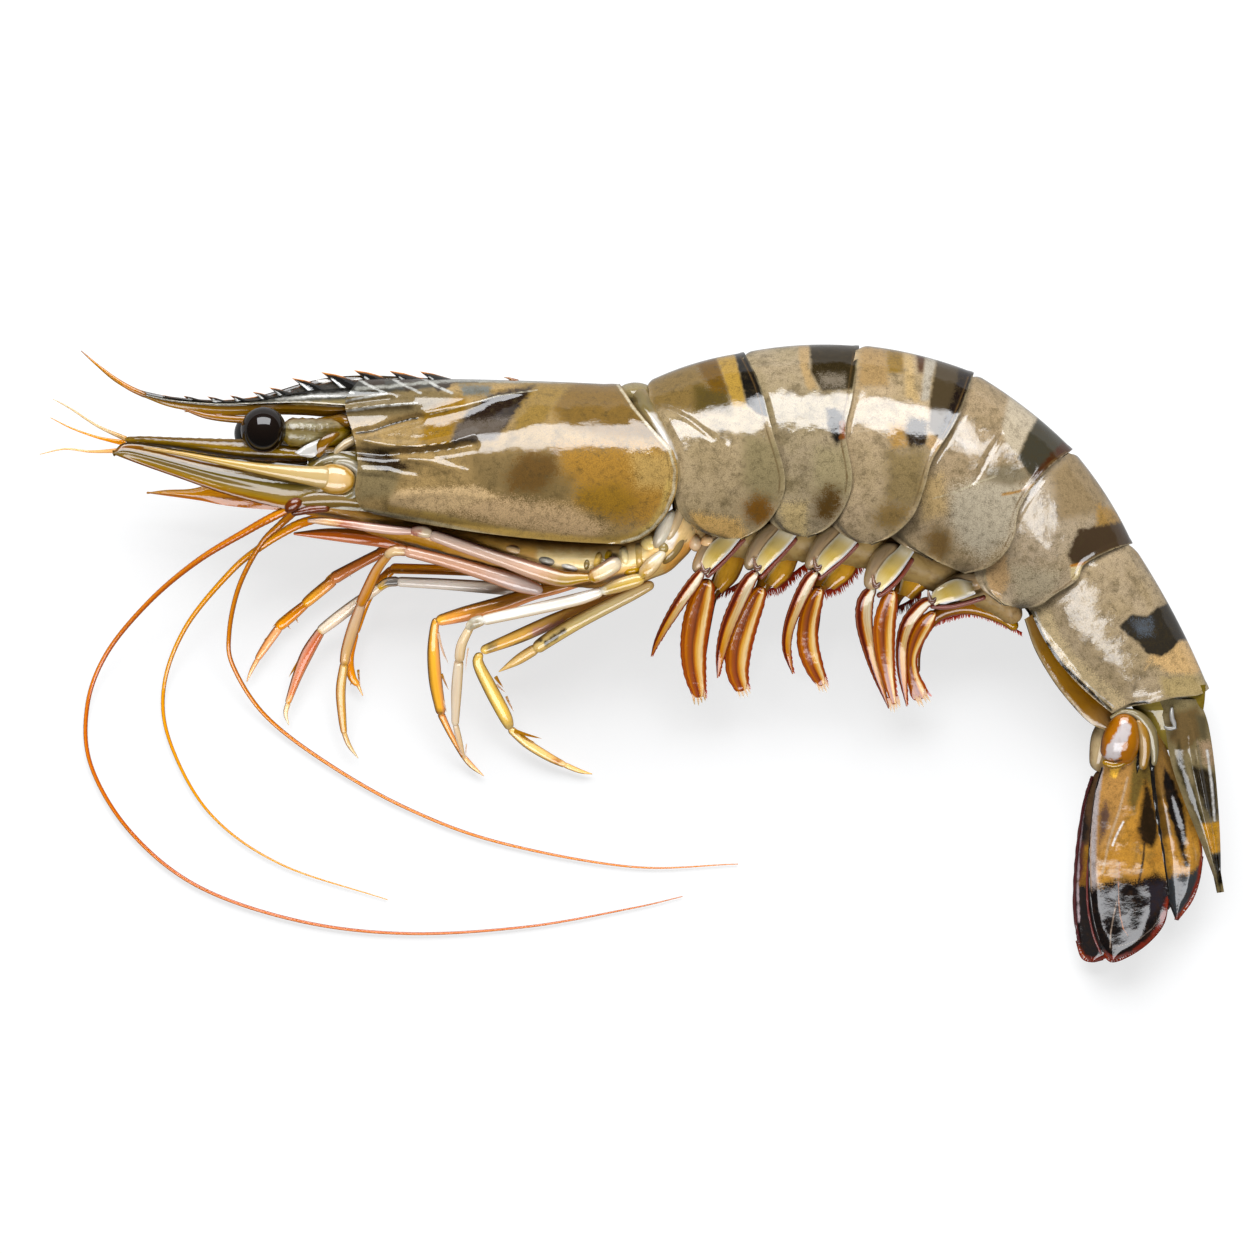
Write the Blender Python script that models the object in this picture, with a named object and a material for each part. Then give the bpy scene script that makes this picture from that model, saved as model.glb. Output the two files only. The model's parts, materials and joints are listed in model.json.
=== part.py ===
# A raw tiger prawn that lies on its right side: head towards -X, back towards +Y, left side up.
# Positions below are millimetres in the plan, seen from above. Each solid is made in metres.

import math

import bmesh
import bpy
import numpy as np

MM = 0.001

# Driving dimensions of the body, in millimetres.
BODY_HALF_WIDTH = 12.5
SHELL_WALL = 0.9
FLAT_FLANK = 7.0    # below the widest line the flank stays flat this far
TUCK = 0.16         # then it turns in by this share of the half width
LEG_FLATNESS = 0.85

# How finely the curved forms are divided.
RING_ROWS = 8
RING_BELLY_ROW = 6
SHIELD_ROWS = 10
SHIELD_BELLY_ROW = 8
LIMB_SIDES = 6
TUBE_SIDES = 8
CHEST_SIDES = 10

COLOURS = {
    "shell": ((0.30, 0.24, 0.13, 1.0), 0.30),
    "eye": ((0.006, 0.005, 0.004, 1.0), 0.12),
    "feeler": ((0.55, 0.15, 0.02, 1.0), 0.40),
    "flesh": ((0.42, 0.32, 0.20, 1.0), 0.45),
    "leg": ((0.72, 0.55, 0.38, 1.0), 0.35),
    "swimmeret": ((0.33, 0.10, 0.05, 1.0), 0.40),
    "fan": ((0.22, 0.11, 0.03, 1.0), 0.28),
}

# Plan points of each shell ring, from the ridge of the back down to the hanging edge:
# front edge, rear edge, half widths at front and rear.
RINGS = {
    "abdomen_1": (
        [(2.6, 40.9), (3.7, 37.5), (7.4, 30.0), (8.2, 24.0), (9.2, 20.0), (13.6, 17.4)],
        [(15.2, 45.0), (18.5, 40.0), (21.0, 33.3), (23.0, 26.5), (21.2, 20.6), (16.4, 17.1)],
        (12.1, 12.5),
    ),
    "abdomen_2": (
        [(15.7, 45.1), (19.0, 40.1), (21.5, 33.4), (23.5, 26.4), (22.4, 20.4), (23.9, 17.5)],
        [(34.2, 46.2), (32.9, 38.0), (31.9, 33.0), (33.1, 26.0), (30.8, 20.2), (26.5, 17.3)],
        (12.2, 12.5),
    ),
    "abdomen_3": (
        [(34.7, 46.3), (33.4, 38.1), (32.4, 33.0), (33.6, 26.1), (32.0, 20.0), (34.6, 16.1)],
        [(51.4, 42.2), (48.5, 35.0), (44.9, 29.0), (43.8, 25.0), (41.6, 20.4), (37.0, 16.9)],
        (12.2, 12.4),
    ),
    "abdomen_4": (
        [(51.9, 41.9), (49.0, 34.8), (45.4, 28.8), (44.3, 24.9), (42.4, 19.8), (44.3, 13.7)],
        [(66.3, 30.7), (62.0, 27.5), (58.0, 22.0), (57.0, 17.6), (55.0, 14.6), (49.7, 11.8)],
        (11.9, 10.9),
    ),
    "abdomen_5": (
        [(66.7, 30.2), (62.4, 27.0), (58.5, 21.7), (57.5, 17.3), (55.3, 13.6), (55.8, 7.5)],
        [(75.4, 16.6), (72.0, 15.6), (67.6, 13.4), (65.4, 11.4), (62.8, 9.4), (59.4, 6.8)],
        (10.6, 8.6),
    ),
    "abdomen_6": (
        [(75.7, 16.1), (72.2, 15.0), (68.0, 12.8), (65.8, 10.8), (63.2, 8.7), (60.2, 6.0)],
        [(87.0, -5.2), (85.2, -6.2), (81.5, -6.6), (78.0, -7.4), (75.0, -7.9), (72.2, -8.9)],
        (8.4, 6.2),
    ),
}

# Rings whose middle plane is level. The others narrow to the rear and rest on the surface as they do.
RING_MIDDLES = {"abdomen_1": 12.5, "abdomen_2": 12.5, "abdomen_3": 12.45}

CARAPACE_FRONT = [(-46.0, 41.6), (-43.4, 36.6), (-40.6, 32.0), (-40.6, 27.0), (-40.9, 23.0), (-38.0, 21.0)]
CARAPACE_REAR = [(-1.7, 40.4), (1.6, 35.2), (6.4, 30.0), (6.9, 25.0), (4.0, 19.6), (-1.0, 16.5)]
CARAPACE_HALF = (7.6, BODY_HALF_WIDTH)

# The soft waist that shows between the head shield and the first ring.
WAIST_FRONT = [(-1.2, 39.8), (2.0, 35.2), (6.7, 30.0), (7.2, 25.0), (5.0, 20.0)]
WAIST_REAR = [(2.2, 40.2), (3.3, 37.2), (7.0, 30.0), (7.8, 24.0), (8.6, 20.0)]
WAIST_HALF = 11.2

# The rostrum: a thin blade on the median plane, with its teeth along the top.
ROSTRUM_TOP = [(-82.4, 45.5), (-77.5, 41.5), (-72.0, 39.2), (-65.0, 38.1), (-58.0, 38.4), (-50.0, 40.4),
               (-40.0, 42.0), (-28.0, 41.6)]
ROSTRUM_BOTTOM = [(-28.0, 38.2), (-40.0, 36.2), (-50.0, 35.7), (-60.0, 35.6), (-68.0, 36.9), (-75.0, 39.3),
                  (-79.0, 42.0)]
ROSTRUM_TEETH = [(-67.2, 38.9), (-63.6, 38.8), (-60.2, 38.9), (-56.8, 39.5), (-54.0, 40.3), (-50.9, 41.6),
                 (-46.5, 42.6), (-41.6, 42.9), (-36.3, 42.6)]
ROSTRUM_HALF = 0.55
CARINA_PATH = [(-76.0, 40.0, 12.5, 0.5, 0.8), (-68.0, 37.6, 12.5, 1.1, 1.6), (-58.0, 37.2, 12.5, 1.9, 2.6),
               (-48.0, 38.0, 12.5, 3.6, 4.4), (-38.0, 38.4, 12.5, 5.2, 7.4), (-30.0, 37.6, 12.5, 5.0, 9.0)]

# Paths below hold x, y, height of the centre, width across and thickness.
THORAX_PATH = [(-51.0, 23.2, 12.5, 2.6, 5.0), (-44.0, 20.8, 12.5, 4.0, 5.6), (-34.0, 18.4, 12.5, 4.2, 7.6),
               (-22.0, 15.6, 12.5, 5.6, 11.0), (-12.0, 13.2, 12.5, 6.6, 13.0), (-3.0, 12.9, 12.5, 7.2, 13.5),
               (4.5, 14.8, 12.5, 5.6, 12.5), (7.4, 17.2, 12.5, 3.4, 10.0)]
BELLY_PATH = [(9.8, 17.4, 12.5, 3.4, 4.0), (18.0, 16.6, 12.5, 4.2, 4.4), (28.0, 16.4, 12.3, 4.4, 4.4),
              (38.0, 15.2, 12.0, 4.4, 4.0), (46.0, 11.4, 10.6, 4.2, 3.6), (53.0, 8.2, 9.6, 3.6, 3.2),
              (58.6, 4.4, 8.8, 2.6, 3.0)]

# Both eyes: centre and radius, then their stalks and the stems of the short feelers.
EYES = {"near": ((-54.9, 33.5, 18.4), 3.4), "far": ((-56.6, 33.2, 6.6), 3.1)}
EYESTALKS = {
    "near": [(-43.6, 32.4, 15.4, 3.0, 2.4), (-48.0, 32.9, 16.6, 4.6, 3.6), (-51.0, 33.2, 17.4, 4.4, 3.8)],
    "far": [(-43.6, 32.4, 9.6, 3.0, 2.4), (-48.5, 32.7, 8.4, 4.4, 3.4), (-53.0, 33.0, 7.4, 4.0, 3.4)],
}
PEDUNCLES = {
    "near": [(-44.0, 30.0, 14.2, 1.8, 2.0), (-52.0, 30.4, 14.3, 2.6, 2.4), (-60.0, 30.8, 14.0, 2.8, 2.2),
             (-70.0, 31.6, 13.6, 1.5, 1.4), (-75.6, 32.0, 13.4, 1.0, 0.9)],
    "far": [(-44.0, 29.6, 10.8, 1.8, 2.0), (-52.0, 29.6, 10.7, 2.6, 2.4), (-60.0, 29.8, 11.0, 2.6, 2.2),
            (-70.0, 30.7, 11.4, 1.4, 1.4), (-76.2, 31.1, 11.6, 0.9, 0.9)],
}
# The rounded base of the antenna, below the eye.
ANTENNA_BASE = [(-41.4, 25.7, 17.6, 2.6, 2.4), (-42.2, 25.8, 17.8, 4.2, 3.4), (-44.4, 26.2, 18.0, 4.4, 3.6),
                (-45.9, 26.4, 17.8, 3.2, 2.8)]

# The short feelers at the tip of the stems.
FLAGELLA = {
    "flagellum_1": [(-76.3, 32.3, 13.4, 0.6), (-80.0, 34.2, 13.8, 0.45), (-84.0, 36.8, 14.2, 0.3),
                    (-86.6, 38.2, 14.4, 0.14)],
    "flagellum_2": [(-76.9, 31.5, 11.8, 0.6), (-80.0, 32.5, 11.4, 0.45), (-84.0, 33.9, 11.0, 0.3),
                    (-87.2, 35.5, 10.6, 0.14)],
    "flagellum_3": [(-77.2, 30.2, 10.6, 0.6), (-81.0, 30.4, 10.2, 0.45), (-85.0, 30.8, 9.8, 0.3),
                    (-88.8, 30.0, 9.4, 0.14)],
}

# Flat leaves: upper edge and lower edge in the plan, height at both ends, thickness.
LEAVES = {
    "antennal_scale_near": (
        [(-46.5, 28.4), (-55.0, 28.9), (-62.0, 29.5), (-70.0, 31.0), (-76.4, 31.0)],
        [(-46.5, 24.6), (-50.0, 21.8), (-58.0, 23.2), (-68.0, 26.5), (-77.0, 30.1)],
        (17.6, 16.6), 1.1,
    ),
    "antennal_scale_far": (
        [(-46.5, 27.8), (-55.0, 27.6), (-62.0, 26.0), (-68.0, 25.0), (-72.3, 24.5)],
        [(-46.5, 23.0), (-52.0, 21.9), (-60.0, 22.3), (-67.0, 23.5), (-72.6, 24.2)],
        (7.4, 7.0), 1.0,
    ),
    "uropod_exopod_near": (
        [(78.0, -17.0), (78.9, -22.0), (80.0, -30.0), (80.9, -37.0), (78.6, -42.8), (73.2, -46.2)],
        [(71.2, -17.0), (69.9, -21.0), (69.2, -29.0), (69.4, -37.0), (70.6, -43.5), (72.4, -46.4)],
        (8.9, 5.6), 0.9,
    ),
    "uropod_exopod_far": (
        [(75.6, -17.6), (77.0, -22.0), (78.4, -30.0), (78.4, -37.0), (76.0, -42.8), (69.6, -46.5)],
        [(70.0, -17.6), (68.6, -21.0), (67.2, -29.0), (66.9, -37.0), (67.6, -43.8), (68.8, -46.6)],
        (3.0, 1.2), 0.9,
    ),
    "uropod_endopod_near": (
        [(80.6, -13.4), (82.0, -18.0), (84.9, -25.0), (86.0, -30.0), (84.9, -35.6), (82.6, -40.0)],
        [(77.6, -13.4), (76.8, -18.0), (77.6, -25.0), (79.0, -31.0), (80.4, -36.0), (82.0, -40.1)],
        (6.8, 4.2), 0.8,
    ),
    "uropod_endopod_far": (
        [(79.8, -13.6), (81.0, -18.0), (83.4, -25.0), (84.4, -30.0), (83.4, -34.6), (81.2, -38.6)],
        [(77.0, -13.6), (76.0, -18.0), (76.4, -25.0), (77.6, -31.0), (79.0, -35.4), (80.6, -38.7)],
        (5.2, 2.7), 0.8,
    ),
}

UROPOD_STEMS = {
    "near": [(74.6, -9.6, 9.2, 3.0, 3.6), (74.2, -11.2, 9.4, 5.0, 4.6), (73.7, -14.0, 9.3, 5.6, 4.2),
             (73.4, -16.6, 9.0, 4.8, 2.2)],
    "far": [(74.0, -9.6, 3.2, 3.0, 3.6), (73.4, -11.2, 3.0, 5.0, 4.4), (72.6, -14.2, 3.0, 5.4, 4.0),
            (72.2, -17.2, 3.0, 4.8, 2.2)],
}

# The telson is a trough: its ridge faces +X, its two side edges face -X.
TELSON_RIDGE = [(86.0, -7.6), (87.2, -14.0), (88.1, -21.0), (88.7, -29.0), (88.9, -35.4)]
TELSON_EDGE = [(80.2, -8.8), (81.0, -15.0), (83.2, -21.6), (86.2, -29.4), (88.5, -35.8)]
TELSON_HALF = (3.4, 0.35)
TELSON_MID = (6.2, 5.4)

# The legs: each point is x, y, height, width. Knees lie at the points themselves.
LEGS = {
    "maxilliped_near": [(-1.6, 13.6, 20.4, 1.8), (-2.6, 13.2, 20.7, 2.9), (-5.4, 11.7, 20.8, 2.6),
                        (-6.2, 11.3, 20.6, 1.6), (-9.0, 11.2, 20.4, 2.4), (-14.5, 12.6, 20.0, 2.4),
                        (-30.6, 18.0, 18.4, 1.7), (-32.2, 18.5, 18.2, 1.9), (-33.4, 18.5, 18.0, 1.5),
                        (-40.0, 19.2, 17.4, 1.5), (-48.0, 20.2, 16.4, 1.1)],
    "maxilliped_far": [(-24.0, 14.9, 4.6, 1.6), (-34.0, 16.5, 5.0, 2.0), (-42.0, 17.6, 6.0, 1.7),
                       (-50.6, 18.1, 7.4, 0.5)],
    "leg_1_near": [(-14.2, 9.6, 17.2, 2.4), (-19.0, 11.4, 17.6, 2.6), (-26.0, 13.6, 17.2, 2.0),
                   (-34.4, 15.5, 16.2, 1.9), (-36.4, 15.0, 15.4, 1.5), (-38.2, 12.0, 12.2, 1.7),
                   (-40.3, 7.6, 9.6, 1.5), (-42.9, 0.6, 5.4, 1.5), (-43.8, -5.4, 3.4, 1.5),
                   (-43.4, -12.0, 2.2, 1.1), (-41.3, -15.6, 1.6, 0.3)],
    "leg_1_far": [(-18.6, 13.0, 3.2, 1.6), (-33.0, 16.0, 3.4, 1.9), (-40.0, 14.2, 3.2, 1.7),
                  (-45.4, 11.2, 2.8, 2.0), (-50.0, 7.2, 2.4, 1.5), (-53.6, 3.9, 2.0, 1.6),
                  (-56.2, 0.0, 1.6, 1.1), (-58.0, -4.2, 1.1, 0.3)],
    "leg_2_far": [(-15.0, 9.2, 8.0, 1.4), (-20.0, 9.9, 8.2, 1.8), (-30.0, 10.6, 8.2, 1.7),
                  (-36.0, 10.9, 7.8, 1.6), (-38.6, 9.2, 6.8, 1.4), (-46.6, 3.6, 3.6, 1.5),
                  (-49.8, -1.8, 2.6, 1.9), (-51.9, -7.4, 1.8, 1.0), (-51.7, -10.7, 1.2, 0.3)],
    "leg_2_near": [(-11.6, 8.8, 12.4, 1.4), (-16.0, 8.7, 12.6, 2.0), (-28.6, 5.0, 11.2, 1.8),
                   (-29.7, 3.8, 10.4, 1.5), (-29.9, -1.0, 8.0, 2.0), (-29.1, -7.6, 4.6, 2.1),
                   (-28.4, -9.4, 3.8, 1.2), (-25.4, -15.4, 1.2, 0.9), (-22.3, -18.4, 0.8, 0.3)],
    "leg_3_near": [(4.5, 15.0, 20.2, 1.2), (3.9, 14.1, 20.4, 2.4), (2.1, 11.8, 20.4, 2.2),
                   (1.2, 11.1, 20.2, 1.5), (-1.5, 10.3, 19.8, 2.1), (-6.0, 8.8, 19.0, 1.8),
                   (-22.6, 4.9, 15.6, 1.7), (-24.2, 4.0, 15.0, 1.6), (-25.6, 0.4, 12.6, 1.5),
                   (-26.3, -5.0, 9.2, 1.4), (-26.5, -10.8, 5.8, 1.2), (-25.2, -15.6, 3.2, 0.5)],
    "leg_4_near": [(-8.6, 5.6, 9.6, 1.6), (-13.0, 3.9, 9.6, 1.9), (-22.0, 0.2, 8.0, 1.9),
                   (-23.0, -0.9, 7.4, 1.6), (-21.2, -5.2, 5.4, 2.1), (-18.4, -10.8, 3.2, 1.9),
                   (-17.4, -12.0, 2.8, 1.3), (-10.0, -16.8, 1.2, 1.1), (-5.9, -18.2, 0.8, 0.3)],
    "leg_5_near": [(-2.2, 7.4, 13.6, 1.4), (-6.6, 5.4, 13.6, 2.0), (-13.0, 1.6, 12.2, 2.1),
                   (-17.0, -1.0, 11.0, 1.5), (-19.7, -2.6, 10.2, 0.4)],
    "leg_3_far": [(-15.6, 11.9, 5.2, 1.2), (-27.0, 12.6, 5.2, 1.4), (-36.4, 12.8, 4.6, 1.4),
                  (-39.4, 9.0, 4.0, 1.4), (-41.8, 3.0, 2.8, 1.4), (-42.4, -0.8, 2.0, 1.4),
                  (-41.4, -4.4, 1.4, 1.1), (-40.6, -6.3, 1.0, 0.3)],
}

# The swimmerets: a stem and its blades, each point is x, y, height, width, thickness.
SWIMMERETS = {
    "swimmeret_1_near": [
        [(14.6, 19.4, 17.6, 4.2, 3.0), (13.4, 16.4, 17.6, 5.0, 3.4), (11.6, 12.4, 17.4, 3.4, 2.6)],
        [(12.0, 13.4, 17.4, 1.6, 1.4), (9.2, 10.2, 16.4, 1.9, 1.2), (5.6, 5.0, 13.6, 1.5, 0.9),
         (3.4, 1.0, 11.0, 1.1, 0.7), (2.7, -1.1, 10.0, 0.3, 0.3)],
        [(11.8, 13.4, 16.8, 1.6, 1.4), (10.7, 8.6, 14.4, 3.0, 1.3), (9.5, 2.0, 10.8, 3.4, 1.1),
         (9.6, -3.4, 8.2, 2.7, 0.9), (10.2, -7.0, 7.0, 0.4, 0.3)],
    ],
    "swimmeret_2_near": [
        [(22.6, 19.4, 17.6, 4.4, 3.0), (21.4, 16.4, 17.6, 5.2, 3.4), (19.2, 12.2, 17.4, 3.4, 2.6)],
        [(19.8, 13.4, 17.4, 1.6, 1.4), (16.8, 9.6, 16.4, 2.0, 1.2), (14.2, 4.0, 13.4, 1.8, 0.9),
         (13.3, -1.0, 10.8, 1.5, 0.7), (14.0, -5.4, 9.4, 0.4, 0.3)],
        [(20.2, 13.4, 16.6, 1.6, 1.4), (18.0, 7.6, 14.0, 3.0, 1.3), (16.1, 1.6, 10.6, 3.2, 1.1),
         (16.0, -3.0, 8.4, 2.8, 0.9), (16.7, -5.9, 7.4, 0.5, 0.3)],
    ],
    "swimmeret_3_near": [
        [(31.6, 19.2, 17.6, 4.4, 3.0), (30.2, 16.0, 17.6, 5.2, 3.4), (27.8, 12.4, 17.4, 3.4, 2.6)],
        [(28.4, 13.4, 17.4, 1.6, 1.4), (25.6, 9.6, 16.4, 1.9, 1.2), (23.6, 5.0, 13.8, 1.6, 0.9),
         (23.4, 0.6, 11.4, 1.2, 0.7), (24.4, -3.2, 10.0, 0.3, 0.3)],
        [(28.6, 13.4, 16.6, 1.6, 1.4), (27.1, 7.6, 14.0, 2.8, 1.3), (26.6, 2.0, 10.8, 2.8, 1.1),
         (27.8, -2.6, 8.6, 2.4, 0.9), (28.7, -5.0, 7.6, 0.5, 0.3)],
    ],
    "swimmeret_4_near": [
        [(39.8, 16.0, 15.8, 4.0, 2.8), (38.8, 13.4, 15.8, 5.0, 3.2), (36.9, 9.6, 15.4, 3.4, 2.4)],
        [(37.4, 10.4, 14.8, 1.6, 1.4), (35.0, 6.6, 13.6, 2.2, 1.1), (35.2, 1.6, 11.0, 2.0, 0.9),
         (37.2, -4.0, 8.6, 1.4, 0.7), (39.9, -9.4, 7.4, 0.3, 0.3)],
        [(37.8, 10.6, 15.4, 1.6, 1.4), (38.2, 6.0, 13.8, 3.0, 1.2), (38.1, 0.6, 11.2, 2.9, 1.0),
         (38.9, -4.6, 9.4, 1.7, 0.8), (40.2, -9.6, 8.8, 0.3, 0.3)],
    ],
    "swimmeret_5_near": [
        [(51.6, 9.8, 13.4, 2.4, 2.4), (48.4, 9.6, 13.6, 4.0, 3.0), (44.6, 8.6, 13.4, 2.4, 2.2)],
        [(45.4, 8.8, 13.2, 1.4, 1.2), (42.3, 6.4, 12.4, 1.8, 1.0), (40.9, 2.0, 10.4, 1.6, 0.8),
         (41.1, -3.6, 8.4, 1.4, 0.7), (41.9, -8.4, 7.4, 0.3, 0.3)],
        [(45.8, 8.0, 12.8, 1.6, 1.3), (43.9, 4.6, 11.2, 2.4, 1.1), (42.3, 0.2, 8.6, 2.0, 0.9),
         (43.0, -4.4, 6.6, 2.2, 0.7), (44.4, -8.0, 5.8, 0.6, 0.3)],
    ],
    "swimmeret_1_far": [
        [(16.0, 18.8, 7.2, 3.4, 3.0), (15.0, 13.6, 7.0, 3.8, 2.8), (12.8, 10.4, 6.4, 2.4, 2.0),
         (10.4, 6.4, 5.4, 2.4, 1.0), (9.9, 1.6, 4.2, 2.2, 0.8), (10.1, -3.0, 3.2, 1.2, 0.6)],
    ],
    "swimmeret_2_far": [
        [(24.2, 18.8, 7.2, 3.4, 3.0), (22.4, 13.6, 7.0, 4.2, 2.8), (20.0, 10.8, 6.4, 2.4, 2.0),
         (17.5, 6.6, 5.4, 2.4, 1.0), (16.3, 1.6, 4.2, 2.2, 0.8), (16.3, -2.6, 3.2, 1.2, 0.6)],
    ],
    "swimmeret_3_far": [
        [(32.8, 18.4, 7.2, 3.4, 3.0), (31.0, 13.4, 7.0, 4.2, 2.8), (29.0, 10.6, 6.4, 2.4, 2.0),
         (27.1, 6.6, 5.4, 2.4, 1.0), (26.8, 2.0, 4.2, 2.0, 0.8), (27.7, -2.2, 3.2, 1.0, 0.6)],
    ],
    "swimmeret_4_far": [
        [(46.4, 13.8, 6.4, 3.4, 2.8), (43.4, 11.4, 6.2, 4.0, 2.8), (40.8, 9.2, 5.6, 2.4, 1.8),
         (38.4, 5.0, 4.8, 2.2, 1.0), (38.0, 0.6, 3.8, 2.0, 0.8), (38.9, -4.0, 2.8, 1.0, 0.6)],
    ],
    "swimmeret_5_far": [
        [(56.4, 5.6, 5.4, 2.2, 2.2), (51.0, 6.6, 5.4, 2.4, 2.2), (46.4, 5.6, 5.0, 2.4, 1.6),
         (43.8, 3.0, 4.4, 1.9, 1.0), (42.6, -0.6, 3.6, 1.7, 0.8), (43.2, -3.8, 2.8, 0.9, 0.6)],
    ],
}

# The long feelers: x, y, height, width. They leave the head and settle on the surface below.
WHIPS = {
    "feeler_1": [(-51.6, 21.3, 17.6, 1.2), (-57.0, 18.7, 15.6, 1.1), (-65.0, 14.0, 12.0, 0.9),
                 (-72.6, 7.8, 7.0, 0.8), (-79.2, 0.0, 2.6, 0.75), (-82.2, -8.0, 0.9, 0.7),
                 (-81.6, -17.0, 0.6, 0.7), (-75.6, -27.0, 0.55, 0.65), (-65.4, -35.2, 0.5, 0.6),
                 (-50.2, -40.4, 0.45, 0.55), (-34.0, -42.3, 0.4, 0.5), (-16.0, -41.3, 0.35, 0.4),
                 (0.0, -38.5, 0.3, 0.3), (7.8, -36.7, 0.25, 0.2)],
    "feeler_2": [(-46.4, 20.3, 8.4, 0.9), (-50.6, 19.2, 9.4, 0.9), (-55.2, 16.8, 9.0, 0.85),
                 (-60.2, 12.4, 7.4, 0.8), (-67.2, 4.0, 3.4, 0.7), (-70.6, -5.0, 0.9, 0.65),
                 (-69.6, -13.6, 0.55, 0.6), (-63.6, -24.2, 0.5, 0.5), (-53.0, -31.8, 0.4, 0.4),
                 (-36.8, -37.2, 0.25, 0.2)],
    "feeler_3": [(-51.4, 20.2, 13.4, 0.9), (-55.6, 16.4, 12.0, 0.9), (-59.0, 10.0, 8.6, 0.85),
                 (-60.6, 3.0, 4.6, 0.8), (-60.0, -2.0, 2.8, 0.75), (-55.2, -9.4, 1.0, 0.7),
                 (-46.0, -16.5, 0.6, 0.65), (-34.0, -23.3, 0.5, 0.6), (-20.0, -28.5, 0.45, 0.5),
                 (0.0, -32.2, 0.35, 0.4), (16.2, -31.8, 0.25, 0.2)],
}
WHIP_STATIONS = {"feeler_1": 40, "feeler_2": 28, "feeler_3": 32}


def smooth_through(points, count):
    """Evenly spaced points on a smooth curve through the given ones."""
    given = np.array(points, float)
    padded = np.vstack([2 * given[0] - given[1], given, 2 * given[-1] - given[-2]])
    curve = []
    for span in range(len(given) - 1):
        before, start, end, after = padded[span:span + 4]
        for t in np.linspace(0.0, 1.0, 24, endpoint=False):
            curve.append(0.5 * (2 * start + (end - before) * t
                                + (2 * before - 5 * start + 4 * end - after) * t ** 2
                                + (3 * start - before - 3 * end + after) * t ** 3))
    curve.append(given[-1])
    curve = np.array(curve)
    steps = np.linalg.norm(np.diff(curve[:, :2], axis=0), axis=1)
    run = np.concatenate([[0.0], np.cumsum(steps)])
    wanted = np.linspace(0.0, run[-1], count)
    columns = [np.interp(wanted, run, curve[:, axis]) for axis in range(curve.shape[1])]
    return np.stack(columns, axis=1)


def make_object(name, corners, faces, finish):
    """One closed solid from corners in millimetres, with its faces turned outwards."""
    mesh = bpy.data.meshes.new(name)
    mesh.from_pydata([tuple(float(value) * MM for value in corner) for corner in corners], [], faces)
    work = bmesh.new()
    work.from_mesh(mesh)
    bmesh.ops.recalc_face_normals(work, faces=work.faces)
    work.to_mesh(mesh)
    work.free()
    mesh.shade_smooth()
    piece = bpy.data.objects.new(name, mesh)
    bpy.context.scene.collection.objects.link(piece)
    mesh.materials.append(material_for(finish))
    return piece


def material_for(finish):
    """The material of this finish, made the first time it is asked for."""
    if finish in bpy.data.materials:
        return bpy.data.materials[finish]
    colour, roughness = COLOURS[finish]
    material = bpy.data.materials.new(finish)
    material.use_nodes = True
    shader = material.node_tree.nodes["Principled BSDF"]
    shader.inputs["Base Color"].default_value = colour
    shader.inputs["Roughness"].default_value = roughness
    shader.inputs["Metallic"].default_value = 0.0
    return material


def bridge(ring_count, ring_size):
    """Quads between rings of equal size, and a face over each end."""
    faces = []
    for ring in range(ring_count - 1):
        for corner in range(ring_size):
            following = (corner + 1) % ring_size
            here = ring * ring_size
            there = here + ring_size
            faces.append((here + corner, here + following, there + following, there + corner))
    last = (ring_count - 1) * ring_size
    faces.append(tuple(range(ring_size)))
    faces.append(tuple(range(last, last + ring_size)))
    return faces


def sweep(stations, sides):
    """Corners and faces of a tube whose stations hold x, y, height, width and thickness."""
    corners = []
    for index, station in enumerate(stations):
        behind = stations[max(index - 1, 0)]
        ahead = stations[min(index + 1, len(stations) - 1)]
        along = np.array(ahead[:3]) - np.array(behind[:3])
        along /= np.linalg.norm(along)
        across = np.cross(along, (0.0, 0.0, 1.0))
        across /= np.linalg.norm(across)
        rise = np.cross(across, along)
        for side in range(sides):
            turn = math.tau * side / sides
            corner = (np.array(station[:3]) + across * math.cos(turn) * station[3] / 2
                      + rise * math.sin(turn) * station[4] / 2)
            corners.append(corner)
    return corners, bridge(len(stations), sides)


def row_height(depth, total_depth, half_width):
    """Half width of a body section at a depth below the back, as a share of its full half width."""
    if depth < half_width:
        return math.sqrt(max(0.0, 1.0 - (1.0 - depth / half_width) ** 2))
    below = max(0.0, depth - half_width - FLAT_FLANK)
    span = max(total_depth - half_width - FLAT_FLANK, 1.0)
    return 1.0 - TUCK * min(1.0, below / span) ** 2


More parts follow.
